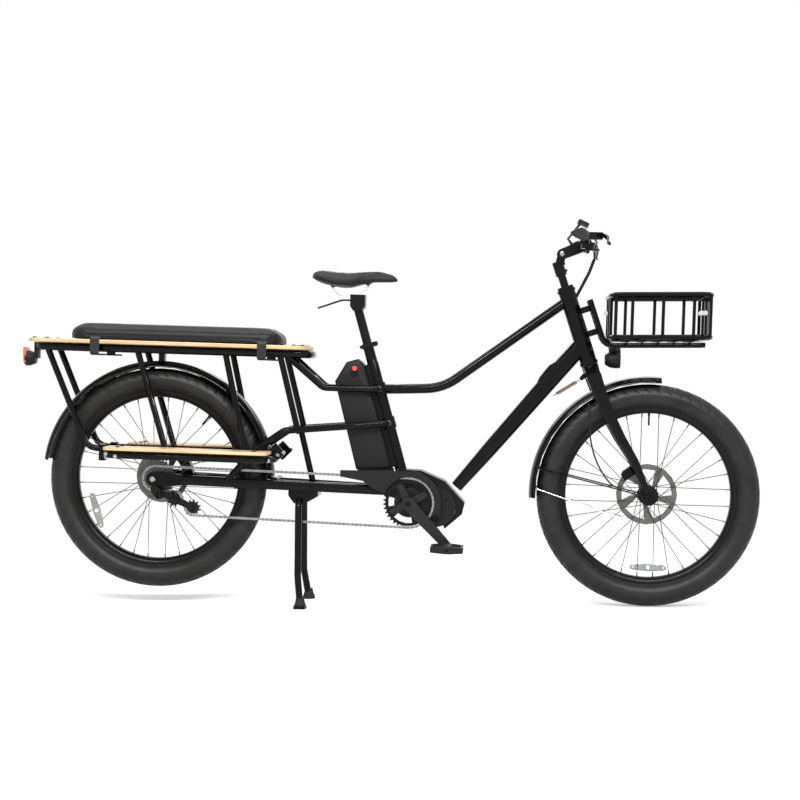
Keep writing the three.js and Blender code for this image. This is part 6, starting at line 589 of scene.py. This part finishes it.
def make_tyre(name, centre):
    """A balloon tyre: a round section with moulded rings on its walls and slanted tread grooves."""
    turns = [TYRE_WRAP * (2 * row / (TYRE_ROWS - 1) - 1) for row in range(TYRE_ROWS)]
    middle = TYRE_RADIUS - TYRE_HALF_DEPTH
    profile = []
    for turn in turns:
        ridge = sum(RIDGE_HEIGHT * exp(-((abs(turn) - radians(place)) / RIDGE_SPREAD) ** 2)
                    for place in RIDGE_ANGLES)
        profile.append((middle + (TYRE_HALF_DEPTH - TYRE_SKIN + ridge * 0.5) * cos(turn),
                        (TYRE_HALF_WIDTH - TYRE_SKIN + ridge) * sin(turn)))
    bead = RIM_HALF_WIDTH - BEAD_INSET
    profile = [(RIM_RADIUS - BEAD_DEPTH, -bead), *profile, (RIM_RADIUS - BEAD_DEPTH, bead)]

    def groove(row, step):
        """How deep the tread is cut: the first and last rows are the beads."""
        if row in (0, TYRE_ROWS + 1) or abs(turns[row - 1]) > TREAD_LIMIT:
            return 0
        lean = abs(turns[row - 1])
        slant = (step + int(round(lean * GROOVE_SLANT))) % BLOCK_STEPS
        side_groove = slant == 0 and lean > SIDE_GROOVE_START
        ring_groove = abs(lean - RING_GROOVE_PLACE) < RING_GROOVE_HALF
        middle_groove = lean < MIDDLE_GROOVE_END and step % BLOCK_STEPS == BLOCK_STEPS // 2
        return TREAD_DEPTH if side_groove or ring_groove or middle_groove else 0

    vertices, faces = ring_about(centre, profile, TREAD_BLOCKS * BLOCK_STEPS, groove)
    made = piece(name + "_tyre_cover", vertices, faces, "tyre", name + "_wheel")
    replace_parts(made, name + "_tyre")


# Wheels: rim, spokes, hub and reflector

RIM_DEPTH = 0.0185
RIM_INNER = RIM_RADIUS - RIM_DEPTH
RIM_LIP = 0.0025
RIM_WELL = 0.010
RIM_SEGMENTS = 160
# Heights above the rim's inner edge, with shares of its half width
RIM_SIDE = ((0, 0.42), (0.004, 0.72), (0.011, 0.96), (RIM_DEPTH, 1),
            (RIM_DEPTH, 1 - RIM_LIP / RIM_HALF_WIDTH), (0.012, 0.7))
# Heights above the rim's inner edge, with radii
VALVE = ((0.006, 0.004), (-0.004, 0.004), (-0.008, 0.0028), (-0.034, 0.0028), (-0.036, 0.0015))
SPOKES = 32
SPOKE_RADIUS = 0.0011
SPOKE_LEAN = radians(60)
SPOKE_HOLE_INSET = 0.0035
SPOKE_SEAT = 0.003
SPOKE_OFFSET_SHARE = 0.8
NIPPLE_RADII, NIPPLE_LENGTHS = [0.002, 0.002, 0.0012], (0, 0.013, 0.015)
FLANGE_RADIUS = 0.029
FLANGE_WIDTH = 0.005
FLANGE_EDGE = 0.001
BARREL_RADIUS = 0.015
BARREL_WAIST_SHARE, BARREL_END_SHARE = 0.92, 0.9
AXLE_RADIUS = 0.0075
# How far past the barrel's radius and the disc's middle
DISC_SEAT = ((0.008, -0.004), (0.008, -0.0013), (0.0035, -0.0013), (0.0035, 0.003))
DISC_BOLTS = 6
DISC_BOLT_CIRCLE = 0.0225
DISC_BOLT_RADIUS, DISC_BOLT_HEIGHT, DISC_BOLT_SEAT = 0.0035, 0.003, 0.0009
WING_REACH = 0.212
WING_Y = -0.009
WING_HALF = 0.054
WING_STEPS = 16
WING_WIDTH, WING_TAPER, WING_END_SHARE = 0.0118, 0.0045, 0.4
WING_SECTION = ((-1, -0.002), (-0.7, -0.0035), (0.7, -0.0035), (1, -0.002), (1, 0.002), (-1, 0.002))
# Shares of the half length, with the clips' radii
WING_CLIPS = ((-0.82, 0.003), (0, 0.0065), (0.82, 0.003))
CLIP_SEAT, CLIP_HEIGHT = 0.003, 0.002
# Flanges at left and right, hub ends at right and left, the disc, then the valve's and reflector's places
WHEELS = {
    "rear": (REAR_AXLE, (0.034, 0.022), (0.0246, 0.074), 0.056, 52, 210, (0.285, 0, -0.958)),
    "front": (FRONT_AXLE, (0.027, 0.033), (0.0495, 0.0495), 0.039, 91, 272, (1, 0, -0.03)),
}


def make_rim(name, centre, valve_degrees):
    left = [(RIM_INNER + height, -RIM_HALF_WIDTH * share) for height, share in RIM_SIDE]
    right = [(radius, -y) for radius, y in left[::-1]]
    made = Parts()
    made.add(*ring_about(centre, [*left, (RIM_INNER + RIM_WELL, 0), *right], RIM_SEGMENTS))
    out = outward(radians(valve_degrees))
    made.tube([centre + out * (RIM_INNER + height) for height, _ in VALVE],
              [radius for _, radius in VALVE], 12)
    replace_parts(made.make(name + "_rim", "metal", name + "_wheel", "black_metal"), name + "_wheel")


def make_spokes(name, centre, flanges):
    """Crossed spokes from the flanges to their nipples in the rim."""
    left_y, right_y = flanges
    made = Parts()
    for index in range(SPOKES):
        angle = 2 * pi * (index + 0.5) / SPOKES
        turn = 1 if (index // 2) % 2 == 0 else -1
        side = LEFT if index % 2 == 0 else RIGHT
        y = (left_y if side == LEFT else -right_y) + turn * FLANGE_WIDTH / 4
        lean = angle + turn * SPOKE_LEAN
        hub_end = centre + outward(lean) * (FLANGE_RADIUS - SPOKE_HOLE_INSET) + ACROSS * y
        rim_end = (centre + outward(angle) * (RIM_INNER + SPOKE_SEAT)
                   + ACROSS * (side + turn * SPOKE_OFFSET_SHARE) * FLANGE_WIDTH)
        made.tube([hub_end, rim_end], SPOKE_RADIUS, 6)
        toward = (hub_end - rim_end).normalized()
        made.tube([rim_end + toward * length for length in NIPPLE_LENGTHS], NIPPLE_RADII, 8)
    made.make(name + "_spokes", "dark_steel", name + "_wheel", "black_metal")


def make_hub(name, centre, flanges, ends, disc_y):
    left_y, right_y = flanges
    right_end, left_end = ends

    def flange(y):
        low, high, inner = y - FLANGE_WIDTH / 2, y + FLANGE_WIDTH / 2, FLANGE_RADIUS - FLANGE_EDGE
        return [(BARREL_RADIUS, low), (inner, low), (FLANGE_RADIUS, low + FLANGE_EDGE),
                (FLANGE_RADIUS, high - FLANGE_EDGE), (inner, high), (BARREL_RADIUS, high)]

    profile = [(AXLE_RADIUS, -right_end), (BARREL_RADIUS, -right_end), *flange(-right_y),
               (BARREL_RADIUS * BARREL_WAIST_SHARE, 0), *flange(left_y),
               *((BARREL_RADIUS + out, disc_y + y) for out, y in DISC_SEAT),
               (BARREL_RADIUS * BARREL_END_SHARE, left_end), (AXLE_RADIUS, left_end)]
    Parts().turned(centre, ACROSS, profile, 40, closed=True).make(
        name + "_hub", "metal", name + "_wheel", "black_metal")
    locks = Parts()
    for turn in circle(DISC_BOLTS):
        place = centre + outward(turn) * DISC_BOLT_CIRCLE + ACROSS * (disc_y + DISC_BOLT_SEAT)
        locks.bolt(place, ACROSS, DISC_BOLT_RADIUS, DISC_BOLT_HEIGHT)
    locks.make(name + "_rotor_bolts", "bolt", name + "_wheel", "steel")


def make_spoke_reflector(name, centre, degrees, direction):
    """A grey reflector on the spokes: two tapering wings, a round boss and two clips."""
    along = Vector(direction).normalized()
    across = Vector((-along.z, 0, along.x))
    place = centre + outward(radians(degrees)) * WING_REACH + ACROSS * WING_Y
    wings, clips = Parts(), Parts()
    rings = []
    for step in range(WING_STEPS + 1):
        share = 2 * step / WING_STEPS - 1
        width = WING_WIDTH - WING_TAPER * abs(share)
        if step in (0, WING_STEPS):
            width *= WING_END_SHARE
        rings.append([place + along * share * WING_HALF + across * lift * width + ACROSS * y
                      for lift, y in WING_SECTION])
    wings.rings(rings)
    wings.make(name + "_spoke_reflector", "grey", name + "_wheel", "steel")
    for share, radius in WING_CLIPS:
        clips.bolt(place + along * share * WING_HALF - ACROSS * CLIP_SEAT, -ACROSS, radius, CLIP_HEIGHT)
    clips.make(name + "_reflector_clips", "white", name + "_wheel", "steel")


def make_wheel(name):
    centre, flanges, ends, disc_y, valve, reflector, direction = WHEELS[name]
    make_rim(name, centre, valve)
    make_spokes(name, centre, flanges)
    make_hub(name, centre, flanges, ends, disc_y)
    make_spoke_reflector(name, centre, reflector, direction)


# Chain

CHAIN_PITCH = 0.0127
CHAIN_LINE_Y = -0.052
CHAINRING_TEETH = 36
COG_TEETH = 18
PULLEY_TEETH = 11
ARC_STEP = radians(3)
PLATE_THICKNESS = 0.0009
PLATE_END_RADIUS = 0.0041
PLATE_WAIST_SHARE = 0.68
INNER_PLATE_Y, OUTER_PLATE_Y = 0.0013, 0.0024
PIN_START = 0.0035
ROLLER = ((0.0016, 0), (0.0016, 0.0022), (0.0036, 0.0023), (0.0036, 0.0047), (0.0016, 0.0048),
          (0.0016, 0.007))


def chain_line():
    """The chain's centre line over the pitch circles, as points one link apart."""
    stations = [(CRANK_AXLE, CHAINRING_TEETH, -1), (TENSION_PULLEY, PULLEY_TEETH, -1),
                (GUIDE_PULLEY, PULLEY_TEETH, 1), (REAR_AXLE, COG_TEETH, -1)]
    flat = [(np.array([(centre - REAR_AXLE).dot(AHEAD), (centre - REAR_AXLE).dot(UP)]),
             CHAIN_PITCH / (2 * sin(pi / teeth)), turn) for centre, teeth, turn in stations]
    tangents = []
    for index, (centre, radius, turn) in enumerate(flat):
        other, other_radius, other_turn = flat[(index + 1) % len(flat)]
        gap = other - centre
        crossing = asin((radius * turn - other_radius * other_turn) / np.hypot(*gap))
        heading = atan2(gap[1], gap[0]) + crossing
        side = np.array([sin(heading), -cos(heading)])
        tangents.append((heading, centre + side * radius * turn, other + side * other_radius * other_turn))
    fine = []
    for index, (centre, radius, turn) in enumerate(flat):
        before = tangents[index - 1]
        first = atan2(*(before[2] - centre)[::-1])
        swing = ((tangents[index][0] - before[0]) * turn) % (2 * pi)
        steps = max(2, ceil(swing / ARC_STEP))
        for step in range(steps):
            angle = first + turn * swing * step / steps
            fine.append(centre + radius * np.array([cos(angle), sin(angle)]))
        fine.append(tangents[index][1])
    loop = np.array([*fine, fine[0]])
    spans = np.hypot(*np.diff(loop, axis=0).T)
    along = np.concatenate([[0], np.cumsum(spans)])
    links = 2 * round(along[-1] / CHAIN_PITCH / 2)
    marks = np.arange(links) * along[-1] / links
    return [bike(np.interp(mark, along, loop[:, 0]), CHAIN_LINE_Y, np.interp(mark, along, loop[:, 1]))
            for mark in marks]


def link_plate(parts, start, end, y):
    """A waisted side plate round two pins."""
    along = (end - start).normalized()
    across = Vector((-along.z, 0, along.x))
    middle = start + along * (end - start).length / 2
    waist = across * PLATE_END_RADIUS * PLATE_WAIST_SHARE
    ends = []
    for centre, sign in ((start, -1), (end, 1)):
        ends.append([centre + along * sign * PLATE_END_RADIUS * cos(turn)
                     + across * sign * PLATE_END_RADIUS * sin(turn)
                     for turn in (radians(-75 + 25 * step) for step in range(7))])
    outline = [*ends[0], middle - waist, *ends[1], middle + waist]
    low = [point + ACROSS * (y - start.y) for point in outline]
    parts.rings([low, [point + ACROSS * PLATE_THICKNESS for point in low]])


def make_chain():
    points = chain_line()
    plates, rollers = Parts(), Parts()
    for index, start in enumerate(points):
        end = points[(index + 1) % len(points)]
        near = OUTER_PLATE_Y if index % 2 == 0 else INNER_PLATE_Y
        for y in (-near - PLATE_THICKNESS, near):
            link_plate(plates, start, end, CHAIN_LINE_Y + y)
        rollers.turned(start - ACROSS * PIN_START, ACROSS, ROLLER, 10)
    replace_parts(plates.make("chain_plates", "chain", "frame", "steel"), "chain")
    rollers.make("chain_rollers", "dark_steel", "frame", "steel")


# Padded pieces

DECK_TOP_Z = 0.4056
CLOTH_QUALITY, CLOTH_FRAMES = 5, 20
PAD_REAR_X, PAD_FRONT_X = -0.267, 0.369
PAD_HALF_WIDTH = 0.100
PAD_THICKNESS = 0.047
PAD_BASE_Z = DECK_TOP_Z + 0.001
PAD_CORNER, PAD_CORNER_TIGHTENING = 0.058, 0.5
# Shares of the thickness, with how far the sides draw in
PAD_SIDE = ((0.0, 0.010), (0.10, 0.003), (0.35, 0.0), (0.62, 0.003), (0.80, 0.011), (0.91, 0.024),
            (0.955, 0.048))
PAD_HELD_Z = PAD_BASE_Z + 0.006
PIPING_RADIUS, PIPING_INSET = 0.0021, 0.0045
SADDLE_BASE_HEIGHT = 0.012
STRAP_HALF_WIDTH = 0.0135
STRAP_EDGE_Y = 0.1045
# How far past the deck's edge and above its top
STRAP_ROUTE = ((-0.0125, 0.010), (-0.006, 0.006), (0.0012, 0.0015), (0.0015, -0.018), (0.001, -0.040),
               (-0.006, -0.043))
STRAP_SECTION = ((-1, 0, 0), (1, 0, 0), (1, 0.0012, 0.0009), (-1, 0.0012, 0.0009))


def apply_modifiers(item):
    depsgraph = bpy.context.evaluated_depsgraph_get()
    mesh = bpy.data.meshes.new_from_object(item.evaluated_get(depsgraph))
    item.modifiers.clear()
    item.data = mesh


def even_mesh(item, voxel, rounds):
    """Makes the mesh anew from even faces and smooths it."""
    modifier = item.modifiers.new("remesh", "REMESH")
    modifier.mode = "VOXEL"
    modifier.voxel_size = voxel
    apply_modifiers(item)
    relax(item, rounds)


def inflate(item, pressure, cap, pinned):
    """Blows the piece up as cloth, with its flat underside held and no point moving further than cap."""
    rest = [vertex.co.copy() for vertex in item.data.vertices]
    group = item.vertex_groups.new(name="held")
    group.add([index for index, point in enumerate(rest) if pinned(point)], 1.0, "REPLACE")
    settings = item.modifiers.new("cloth", "CLOTH").settings
    settings.use_pressure = True
    settings.uniform_pressure_force = pressure
    settings.vertex_group_mass = "held"
    settings.effector_weights.gravity = 0
    settings.quality = CLOTH_QUALITY
    scene = bpy.context.scene
    for step in range(1, CLOTH_FRAMES + 1):
        scene.frame_set(step)
    apply_modifiers(item)
    for vertex, start in zip(item.data.vertices, rest):
        moved = vertex.co - start
        if moved.length > cap:
            vertex.co = start + moved.normalized() * cap
    scene.frame_set(1)


def relax(item, rounds):
    made = bmesh.new()
    made.from_mesh(item.data)
    for _ in range(rounds):
        bmesh.ops.smooth_vert(made, verts=made.verts, factor=0.5, use_axis_x=True, use_axis_y=True,
                              use_axis_z=True)
    made.to_mesh(item.data)
    made.free()


def finish_pad(item, material, body):
    subdivide = item.modifiers.new("fine", "SUBSURF")
    subdivide.levels = subdivide.render_levels = 1
    apply_modifiers(item)
    item.data.materials.clear()
    item.data.materials.append(MATERIALS[material])
    item.data.shade_smooth()
    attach(item, body)


def rounded_outline(sides, inset, corner, steps):
    """A rounded rectangle, drawn in from its sides, in the bicycle's level plane as pairs of x and y."""
    rear, front, low, high = sides
    rear, low = rear + inset, low + inset
    front, high = front - inset, high - inset
    points = []
    for x, y, start in ((front - corner, high - corner, 0), (rear + corner, high - corner, 90),
                        (rear + corner, low + corner, 180), (front - corner, low + corner, 270)):
        for step in range(steps + 1):
            turn = radians(start + 90 * step / steps)
            points.append((x + corner * cos(turn), y + corner * sin(turn)))
    return points


def pad_outline(inset, corner, steps=8):
    return rounded_outline((PAD_REAR_X, PAD_FRONT_X, -PAD_HALF_WIDTH, PAD_HALF_WIDTH), inset, corner, steps)


def make_seat_pad():
    """The long passenger cushion: crowned top, drawn-in sides and a flat base on the deck."""
    shell = Parts().rings([[bike(x, y, PAD_BASE_Z + PAD_THICKNESS * up)
                            for x, y in pad_outline(inset, PAD_CORNER - inset * PAD_CORNER_TIGHTENING)]
                           for up, inset in PAD_SIDE])
    mesh = bpy.data.meshes.new("seat_pad_cushion")
    mesh.from_pydata([tuple(point) for point in shell.vertices], [], shell.faces)
    cushion = new_object("seat_pad_cushion", mesh)
    even_mesh(cushion, voxel=0.0055, rounds=3)
    inflate(cushion, pressure=4, cap=0.004,
            pinned=lambda point: (point - REAR_AXLE).dot(UP) < PAD_HELD_Z)
    finish_pad(cushion, "pad_vinyl", "frame")
    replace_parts(cushion, "seat_pad")
    seam = [bike(x, y, PAD_BASE_Z + PIPING_INSET)
            for x, y in pad_outline(PIPING_INSET, corner=0.055, steps=12)]
    Parts().tube(seam, PIPING_RADIUS, 8, closed=True).make(
        "seat_pad_piping", "pad_vinyl", "frame", "black_vinyl")


def make_straps():
    """Webbing straps from the cushion round the deck's edge, with their keepers below it."""
    for name, x in (("rear", -0.181), ("front", 0.313)):
        bands, keepers = Parts(), Parts()
        for side in (RIGHT, LEFT):
            bands.rings([[bike(x + ahead * STRAP_HALF_WIDTH, side * (STRAP_EDGE_Y + y + out),
                               DECK_TOP_Z + z + lift)
                          for ahead, out, lift in STRAP_SECTION] for y, z in STRAP_ROUTE])
            keepers.box(bike(x + 0.012, side * (STRAP_EDGE_Y - 0.004), DECK_TOP_Z - 0.0435),
                        (0.046, 0.010, 0.005), AHEAD, UP)
        bands.make("pad_strap_" + name, "webbing", "frame", "black_vinyl")
        keepers.make("pad_strap_keeper_" + name, "plastic", "frame", "black_plastic")


def make_saddle():
    """The saddle's padded cover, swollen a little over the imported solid."""
    cover = new_object("saddle_cover", NODES["saddle"].data.copy())
    even_mesh(cover, voxel=0.0042, rounds=8)
    held = min(vertex.co.z for vertex in cover.data.vertices) + SADDLE_BASE_HEIGHT
    inflate(cover, pressure=3, cap=0.003, pinned=lambda point: point.z < held)
    relax(cover, rounds=2)
    finish_pad(cover, "saddle_vinyl", "seatpost")
    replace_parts(cover, "saddle")


# Boards and fenders

EASE = 0.0015
BOARD_STEPS = 10
# Each board's rear, front, low and high sides, its faces' heights and its corners' radius
DECK_BOARD = ((-0.390, 0.447, -0.103, 0.103), (0.3946, DECK_TOP_Z), 0.052)
FOOTBOARD_ENDS, FOOTBOARD_EDGES, FOOTBOARD_CORNER = (-0.1255, 0.3525), (0.1005, 0.2135), 0.018
FOOTBOARD_FACES = (0.0868, 0.0958)
DECK_BOLT, FOOTBOARD_BOLT = (0.0065, 0.0035), (0.006, 0.003)
FENDER_RADIUS = 0.349
FENDER_HALF_WIDTH = 0.042
FENDER_CROWN = 0.018
# How deep under the outer face and how far in from the edge each face lies
FENDER_OUTER, FENDER_INNER = (-0.0004, -0.0004), (0.0044, 0.0034)
FENDER_ROWS, FENDER_STEPS = 14, 90
FENDER_END_STEPS, FENDER_END_SHARE = 3, 0.9


def make_board(name, node, sides, faces, corner):
    """A board with eased edges and rounded corners."""
    low, high = faces
    made = Parts().rings([
        [bike(x, y, z) for x, y in rounded_outline(sides, inset, corner - inset, BOARD_STEPS)]
        for z, inset in ((low, EASE), (low + EASE, 0), (high - EASE, 0), (high, EASE))])
    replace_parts(made.make(name, "wood", "frame", "plywood"), node)


def make_boards():
    make_board("deck_board_panel", "deck_board", *DECK_BOARD)
    bolts = Parts()
    for x in (-0.372, -0.335, 0.402, 0.428):
        for y in (-0.062, 0.062):
            bolts.bolt(bike(x, y, DECK_TOP_Z), UP, *DECK_BOLT)
    for side, side_name in SIDES:
        sides = (*FOOTBOARD_ENDS, *sorted(side * edge for edge in FOOTBOARD_EDGES))
        make_board("footboard_panel_" + side_name, "footboard_" + side_name, sides, FOOTBOARD_FACES,
                   FOOTBOARD_CORNER)
        for x in (-0.085, 0.31):
            for y in (0.128, 0.186):
                bolts.bolt(bike(x, side * y, FOOTBOARD_FACES[1]), UP, *FOOTBOARD_BOLT)
    bolts.make("board_bolts", "metal", "frame", "black_metal")


def make_fender_skin(name, centre, tail, front, body):
    """A smooth blade over a fender's packed arch."""
    def section(depth, edge):
        return [(FENDER_RADIUS - depth - (FENDER_CROWN - depth) * (1 - cos(turn)),
                 (FENDER_HALF_WIDTH - edge) * sin(turn))
                for turn in (pi * (row / FENDER_ROWS - 0.5) for row in range(FENDER_ROWS + 1))]

    profile = [*section(*FENDER_OUTER), *section(*FENDER_INNER)[::-1]]
    rings = []
    for step in range(FENDER_STEPS + 1):
        out = outward(radians(tail + (front - tail) * step / FENDER_STEPS))
        inside = min(1, min(step, FENDER_STEPS - step) / FENDER_END_STEPS)
        taper = FENDER_END_SHARE + (1 - FENDER_END_SHARE) * inside
        rings.append([centre + out * radius + ACROSS * y * taper for radius, y in profile])
    Parts().rings(rings).make(name, "paint", body, "frame_paint")


# Small fittings

SIDE_START = 0.4
LONGEST_SEARCH = 1.0
BRACKET_BOLT, BRACKET_LEAST_Y = (0.0058, 0.0035), 0.08
AXLE_NUT = (0.0085, 0.004)
MOTOR_AHEAD, MOTOR_BOLT_CIRCLE, MOTOR_BOLT_DEGREES = 0.055, 0.058, range(-60, 121, 36)
MOTOR_BOLT = (0.0036, 0.002)
CRANK_BOLT = (0.0095, 0.003)
STEM_CAP = (0.007, 0.003)
LOCK_PLACE = Vector((-0.0967, 0, 0.6841))
HOSE_RADIUS = 0.0023
SPRING_END_POINTS = 5
COIL_RADIUS, COIL_WIRE, COIL_LEAD = 0.0046, 0.0013, 0.012
COIL_TURNS, COIL_STEPS = 17, 12
STAY_RADIUS, STAY_CLIP, STAY_CLIP_SEAT = 0.0017, (0.004, 0.004), 0.002
SOLE_HEIGHT = 0.006


def seat_on(names, middle, side):
    """The place where a line from one side to a middle point first meets the named nodes, or None."""
    start, inward = middle + ACROSS * side * SIDE_START, ACROSS * -side
    nearest, reach = None, LONGEST_SEARCH
    for name in names:
        node = NODES[name]
        into = node.matrix_world.inverted()
        tree = BVHTree.FromPolygons([vertex.co for vertex in node.data.vertices],
                                    [face.vertices for face in node.data.polygons])
        place = tree.ray_cast(into @ start, (into.to_3x3() @ inward).normalized())[0]
        if place is not None and (node.matrix_world @ place - start).length < reach:
            nearest = node.matrix_world @ place
            reach = (nearest - start).length
    return nearest


def make_frame_bolts():
    """Bright bolts on the footboard brackets, the axle's end nuts and dark bolts round the motor."""
    bolts, motor = Parts(), Parts()
    for side, side_name in SIDES:
        for x, z in ((-0.118, 0.076), (-0.118, 0.066), (-0.088, 0.070), (0.350, 0.070), (0.366, 0.083),
                     (0.384, 0.092), (0.372, 0.068)):
            place = seat_on(["rack_side_" + side_name, "footboard_" + side_name], bike(x, 0, z), side)
            if place is not None and abs(place.y) > BRACKET_LEAST_Y:
                bolts.bolt(place, ACROSS * side, *BRACKET_BOLT)
        bolts.bolt(seat_on(["chainstays", "derailleur_body"], REAR_AXLE, side), ACROSS * side, *AXLE_NUT)
    bolts.make("bracket_bolts", "bolt", "frame", "steel")
    for degrees in MOTOR_BOLT_DEGREES:
        middle = CRANK_AXLE + AHEAD * MOTOR_AHEAD + outward(radians(degrees)) * MOTOR_BOLT_CIRCLE
        place = seat_on(["drive_unit"], middle, RIGHT)
        if place is not None:
            motor.bolt(place, -ACROSS, *MOTOR_BOLT)
    motor.make("motor_bolts", "metal", "frame", "black_metal")


def make_small_marks():
    """The crank bolts, the stem's pivot cap and the battery's lock."""
    for side, side_name in SIDES:
        place = seat_on(["crank_" + side_name], CRANK_AXLE, side)
        Parts().bolt(place, ACROSS * side, *CRANK_BOLT).make(
            "crank_bolt_" + side_name, "metal", "cranks", "black_metal")
    place = seat_on(["stem_arm", "stem_riser"], STEM_PIVOT, RIGHT)
    Parts().bolt(place, -ACROSS, *STEM_CAP).make("stem_pivot_cap", "bolt", "steering", "steel")
    Parts().turned(seat_on(["battery"], LOCK_PLACE, RIGHT), -ACROSS, [
        (0.0095, -0.001), (0.0095, 0.0006), (0.0085, 0.0012), (0.0068, 0.0012), (0.0062, 0.0002),
        (TINY, 0.0001)], 28).make("battery_lock", "screen", "battery", "black_plastic")


def make_reflectors():
    """White reflectors on the basket, and the lenses of both lamps."""
    white = Parts()
    for x, depth in ((0.6425, 0.011), (0.9275, 0.022)):
        white.box((x, 0, 0.862), (depth, 0.052, 0.013))
    white.make("basket_reflectors", "white", "frame", "frame_paint")
    Parts().turned((0.6835, 0, 0.733), FLOOR_AHEAD, [
        (0.026, -0.004), (0.027, 0.0), (0.022, 0.0028), (0.010, 0.004), (TINY, 0.0044)]).make(
        "headlamp_lens", "glass", "frame", "black_plastic")
    Parts().turned((0.681, 0, 0.733), FLOOR_AHEAD, [
        (0.0295, -0.004), (0.0305, 0.002), (0.0285, 0.005), (0.027, 0.004), (0.0265, -0.002)],
        closed=True).make("headlamp_bezel", "plastic", "frame", "black_plastic")
    Parts().box((-1.0885, 0, 0.742), (0.010, 0.042, 0.046)).make(
        "tail_lens", "amber", "frame", "black_plastic")


def make_hose():
    """The front brake hose where it runs down the fork."""
    line = curve_points([(0.592, -0.050, 0.600), (0.594, -0.063, 0.545), (0.598, -0.068, 0.485),
                         (0.618, -0.070, 0.420), (0.655, -0.071, 0.365), (0.690, -0.066, 0.350)])
    Parts().tube(line, HOSE_RADIUS, 8).make("front_brake_hose", "plastic", "steering", "black_plastic")


def make_spring():
    """The steering stabiliser: a close brown coil between its two straight ends."""
    node = NODES["steering_spring"]
    points = [node.matrix_world @ vertex.co for vertex in node.data.vertices]
    points.sort(key=lambda point: point.x)
    rear = sum(points[:SPRING_END_POINTS], Vector()) / SPRING_END_POINTS
    front = sum(points[-SPRING_END_POINTS:], Vector()) / SPRING_END_POINTS
    along = (front - rear).normalized()
    other = along.cross(ACROSS)
    length = (front - rear).length - 2 * COIL_LEAD
    count = COIL_TURNS * COIL_STEPS
    coil = [rear + along * (COIL_LEAD + length * step / count)
            + (ACROSS * cos(turn) + other * sin(turn)) * COIL_RADIUS
            for step, turn in ((step, 2 * pi * step / COIL_STEPS) for step in range(count + 1))]
    hook = along * COIL_LEAD * 0.5
    made = Parts().tube([rear, rear + hook, *coil, front - hook, front], COIL_WIRE, 6)
    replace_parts(made.make("stabiliser_coil", "spring", "frame", "steel"), "steering_spring")


def make_fender_stays():
    """Bright rods from the front fender's tail to the fork's ends, with a clip on the blade."""
    made = Parts()
    for side in (RIGHT, LEFT):
        tail, foot = Vector((0.4417, side * 0.046, 0.3477)), Vector((0.6978, side * 0.058, 0.2583))
        made.tube([tail, foot], STAY_RADIUS, 8)
        made.bolt(tail - ACROSS * side * STAY_CLIP_SEAT, ACROSS * side, *STAY_CLIP)
    made.make("front_fender_stays", "bolt", "steering", "steel")


def make_stand_feet():
    """Flared rubber feet on the stand's legs."""
    node = NODES["kickstand"]
    points = [node.matrix_world @ vertex.co for vertex in node.data.vertices]
    made = Parts()
    for side in (RIGHT, LEFT):
        leg = [point for point in points if point.y * side > 0]
        low = min(point.z for point in leg)
        sole = [point for point in leg if point.z < low + SOLE_HEIGHT]
        centre = sum(sole, Vector()) / len(sole)
        made.turned((centre.x, centre.y, low), FLOOR_UP, [
            (0.0185, 0.0), (0.0195, 0.003), (0.0165, 0.011), (0.0135, 0.022), (0.0125, 0.030),
            (0.0105, 0.031)], 24)
    made.make("stand_feet", "grip", "kickstand", "grip_rubber")


def make_battery_dock():
    """The low cradle under the battery, on the motor bracket."""
    Parts().box((-0.0345, 0, 0.4), (0.105, 0.062, 0.013), AHEAD, UP).make(
        "battery_dock", "case", "frame", "black_plastic")


# Run

make_camera()
make_studio()
make_floor()
MATERIALS = make_materials()
finish_nodes()
make_tyre("rear", REAR_AXLE)
make_tyre("front", FRONT_AXLE)
for wheel in WHEELS:
    make_wheel(wheel)
make_chain()
make_seat_pad()
make_straps()
make_saddle()
make_boards()
make_fender_skin("rear_fender_skin", REAR_AXLE, 172.6, 2.6, "frame")
make_fender_skin("front_fender_skin", FRONT_AXLE, 183.1, 85.5, "steering")
make_frame_bolts()
make_reflectors()
make_small_marks()
make_hose()
make_spring()
make_fender_stays()
make_stand_feet()
make_battery_dock()
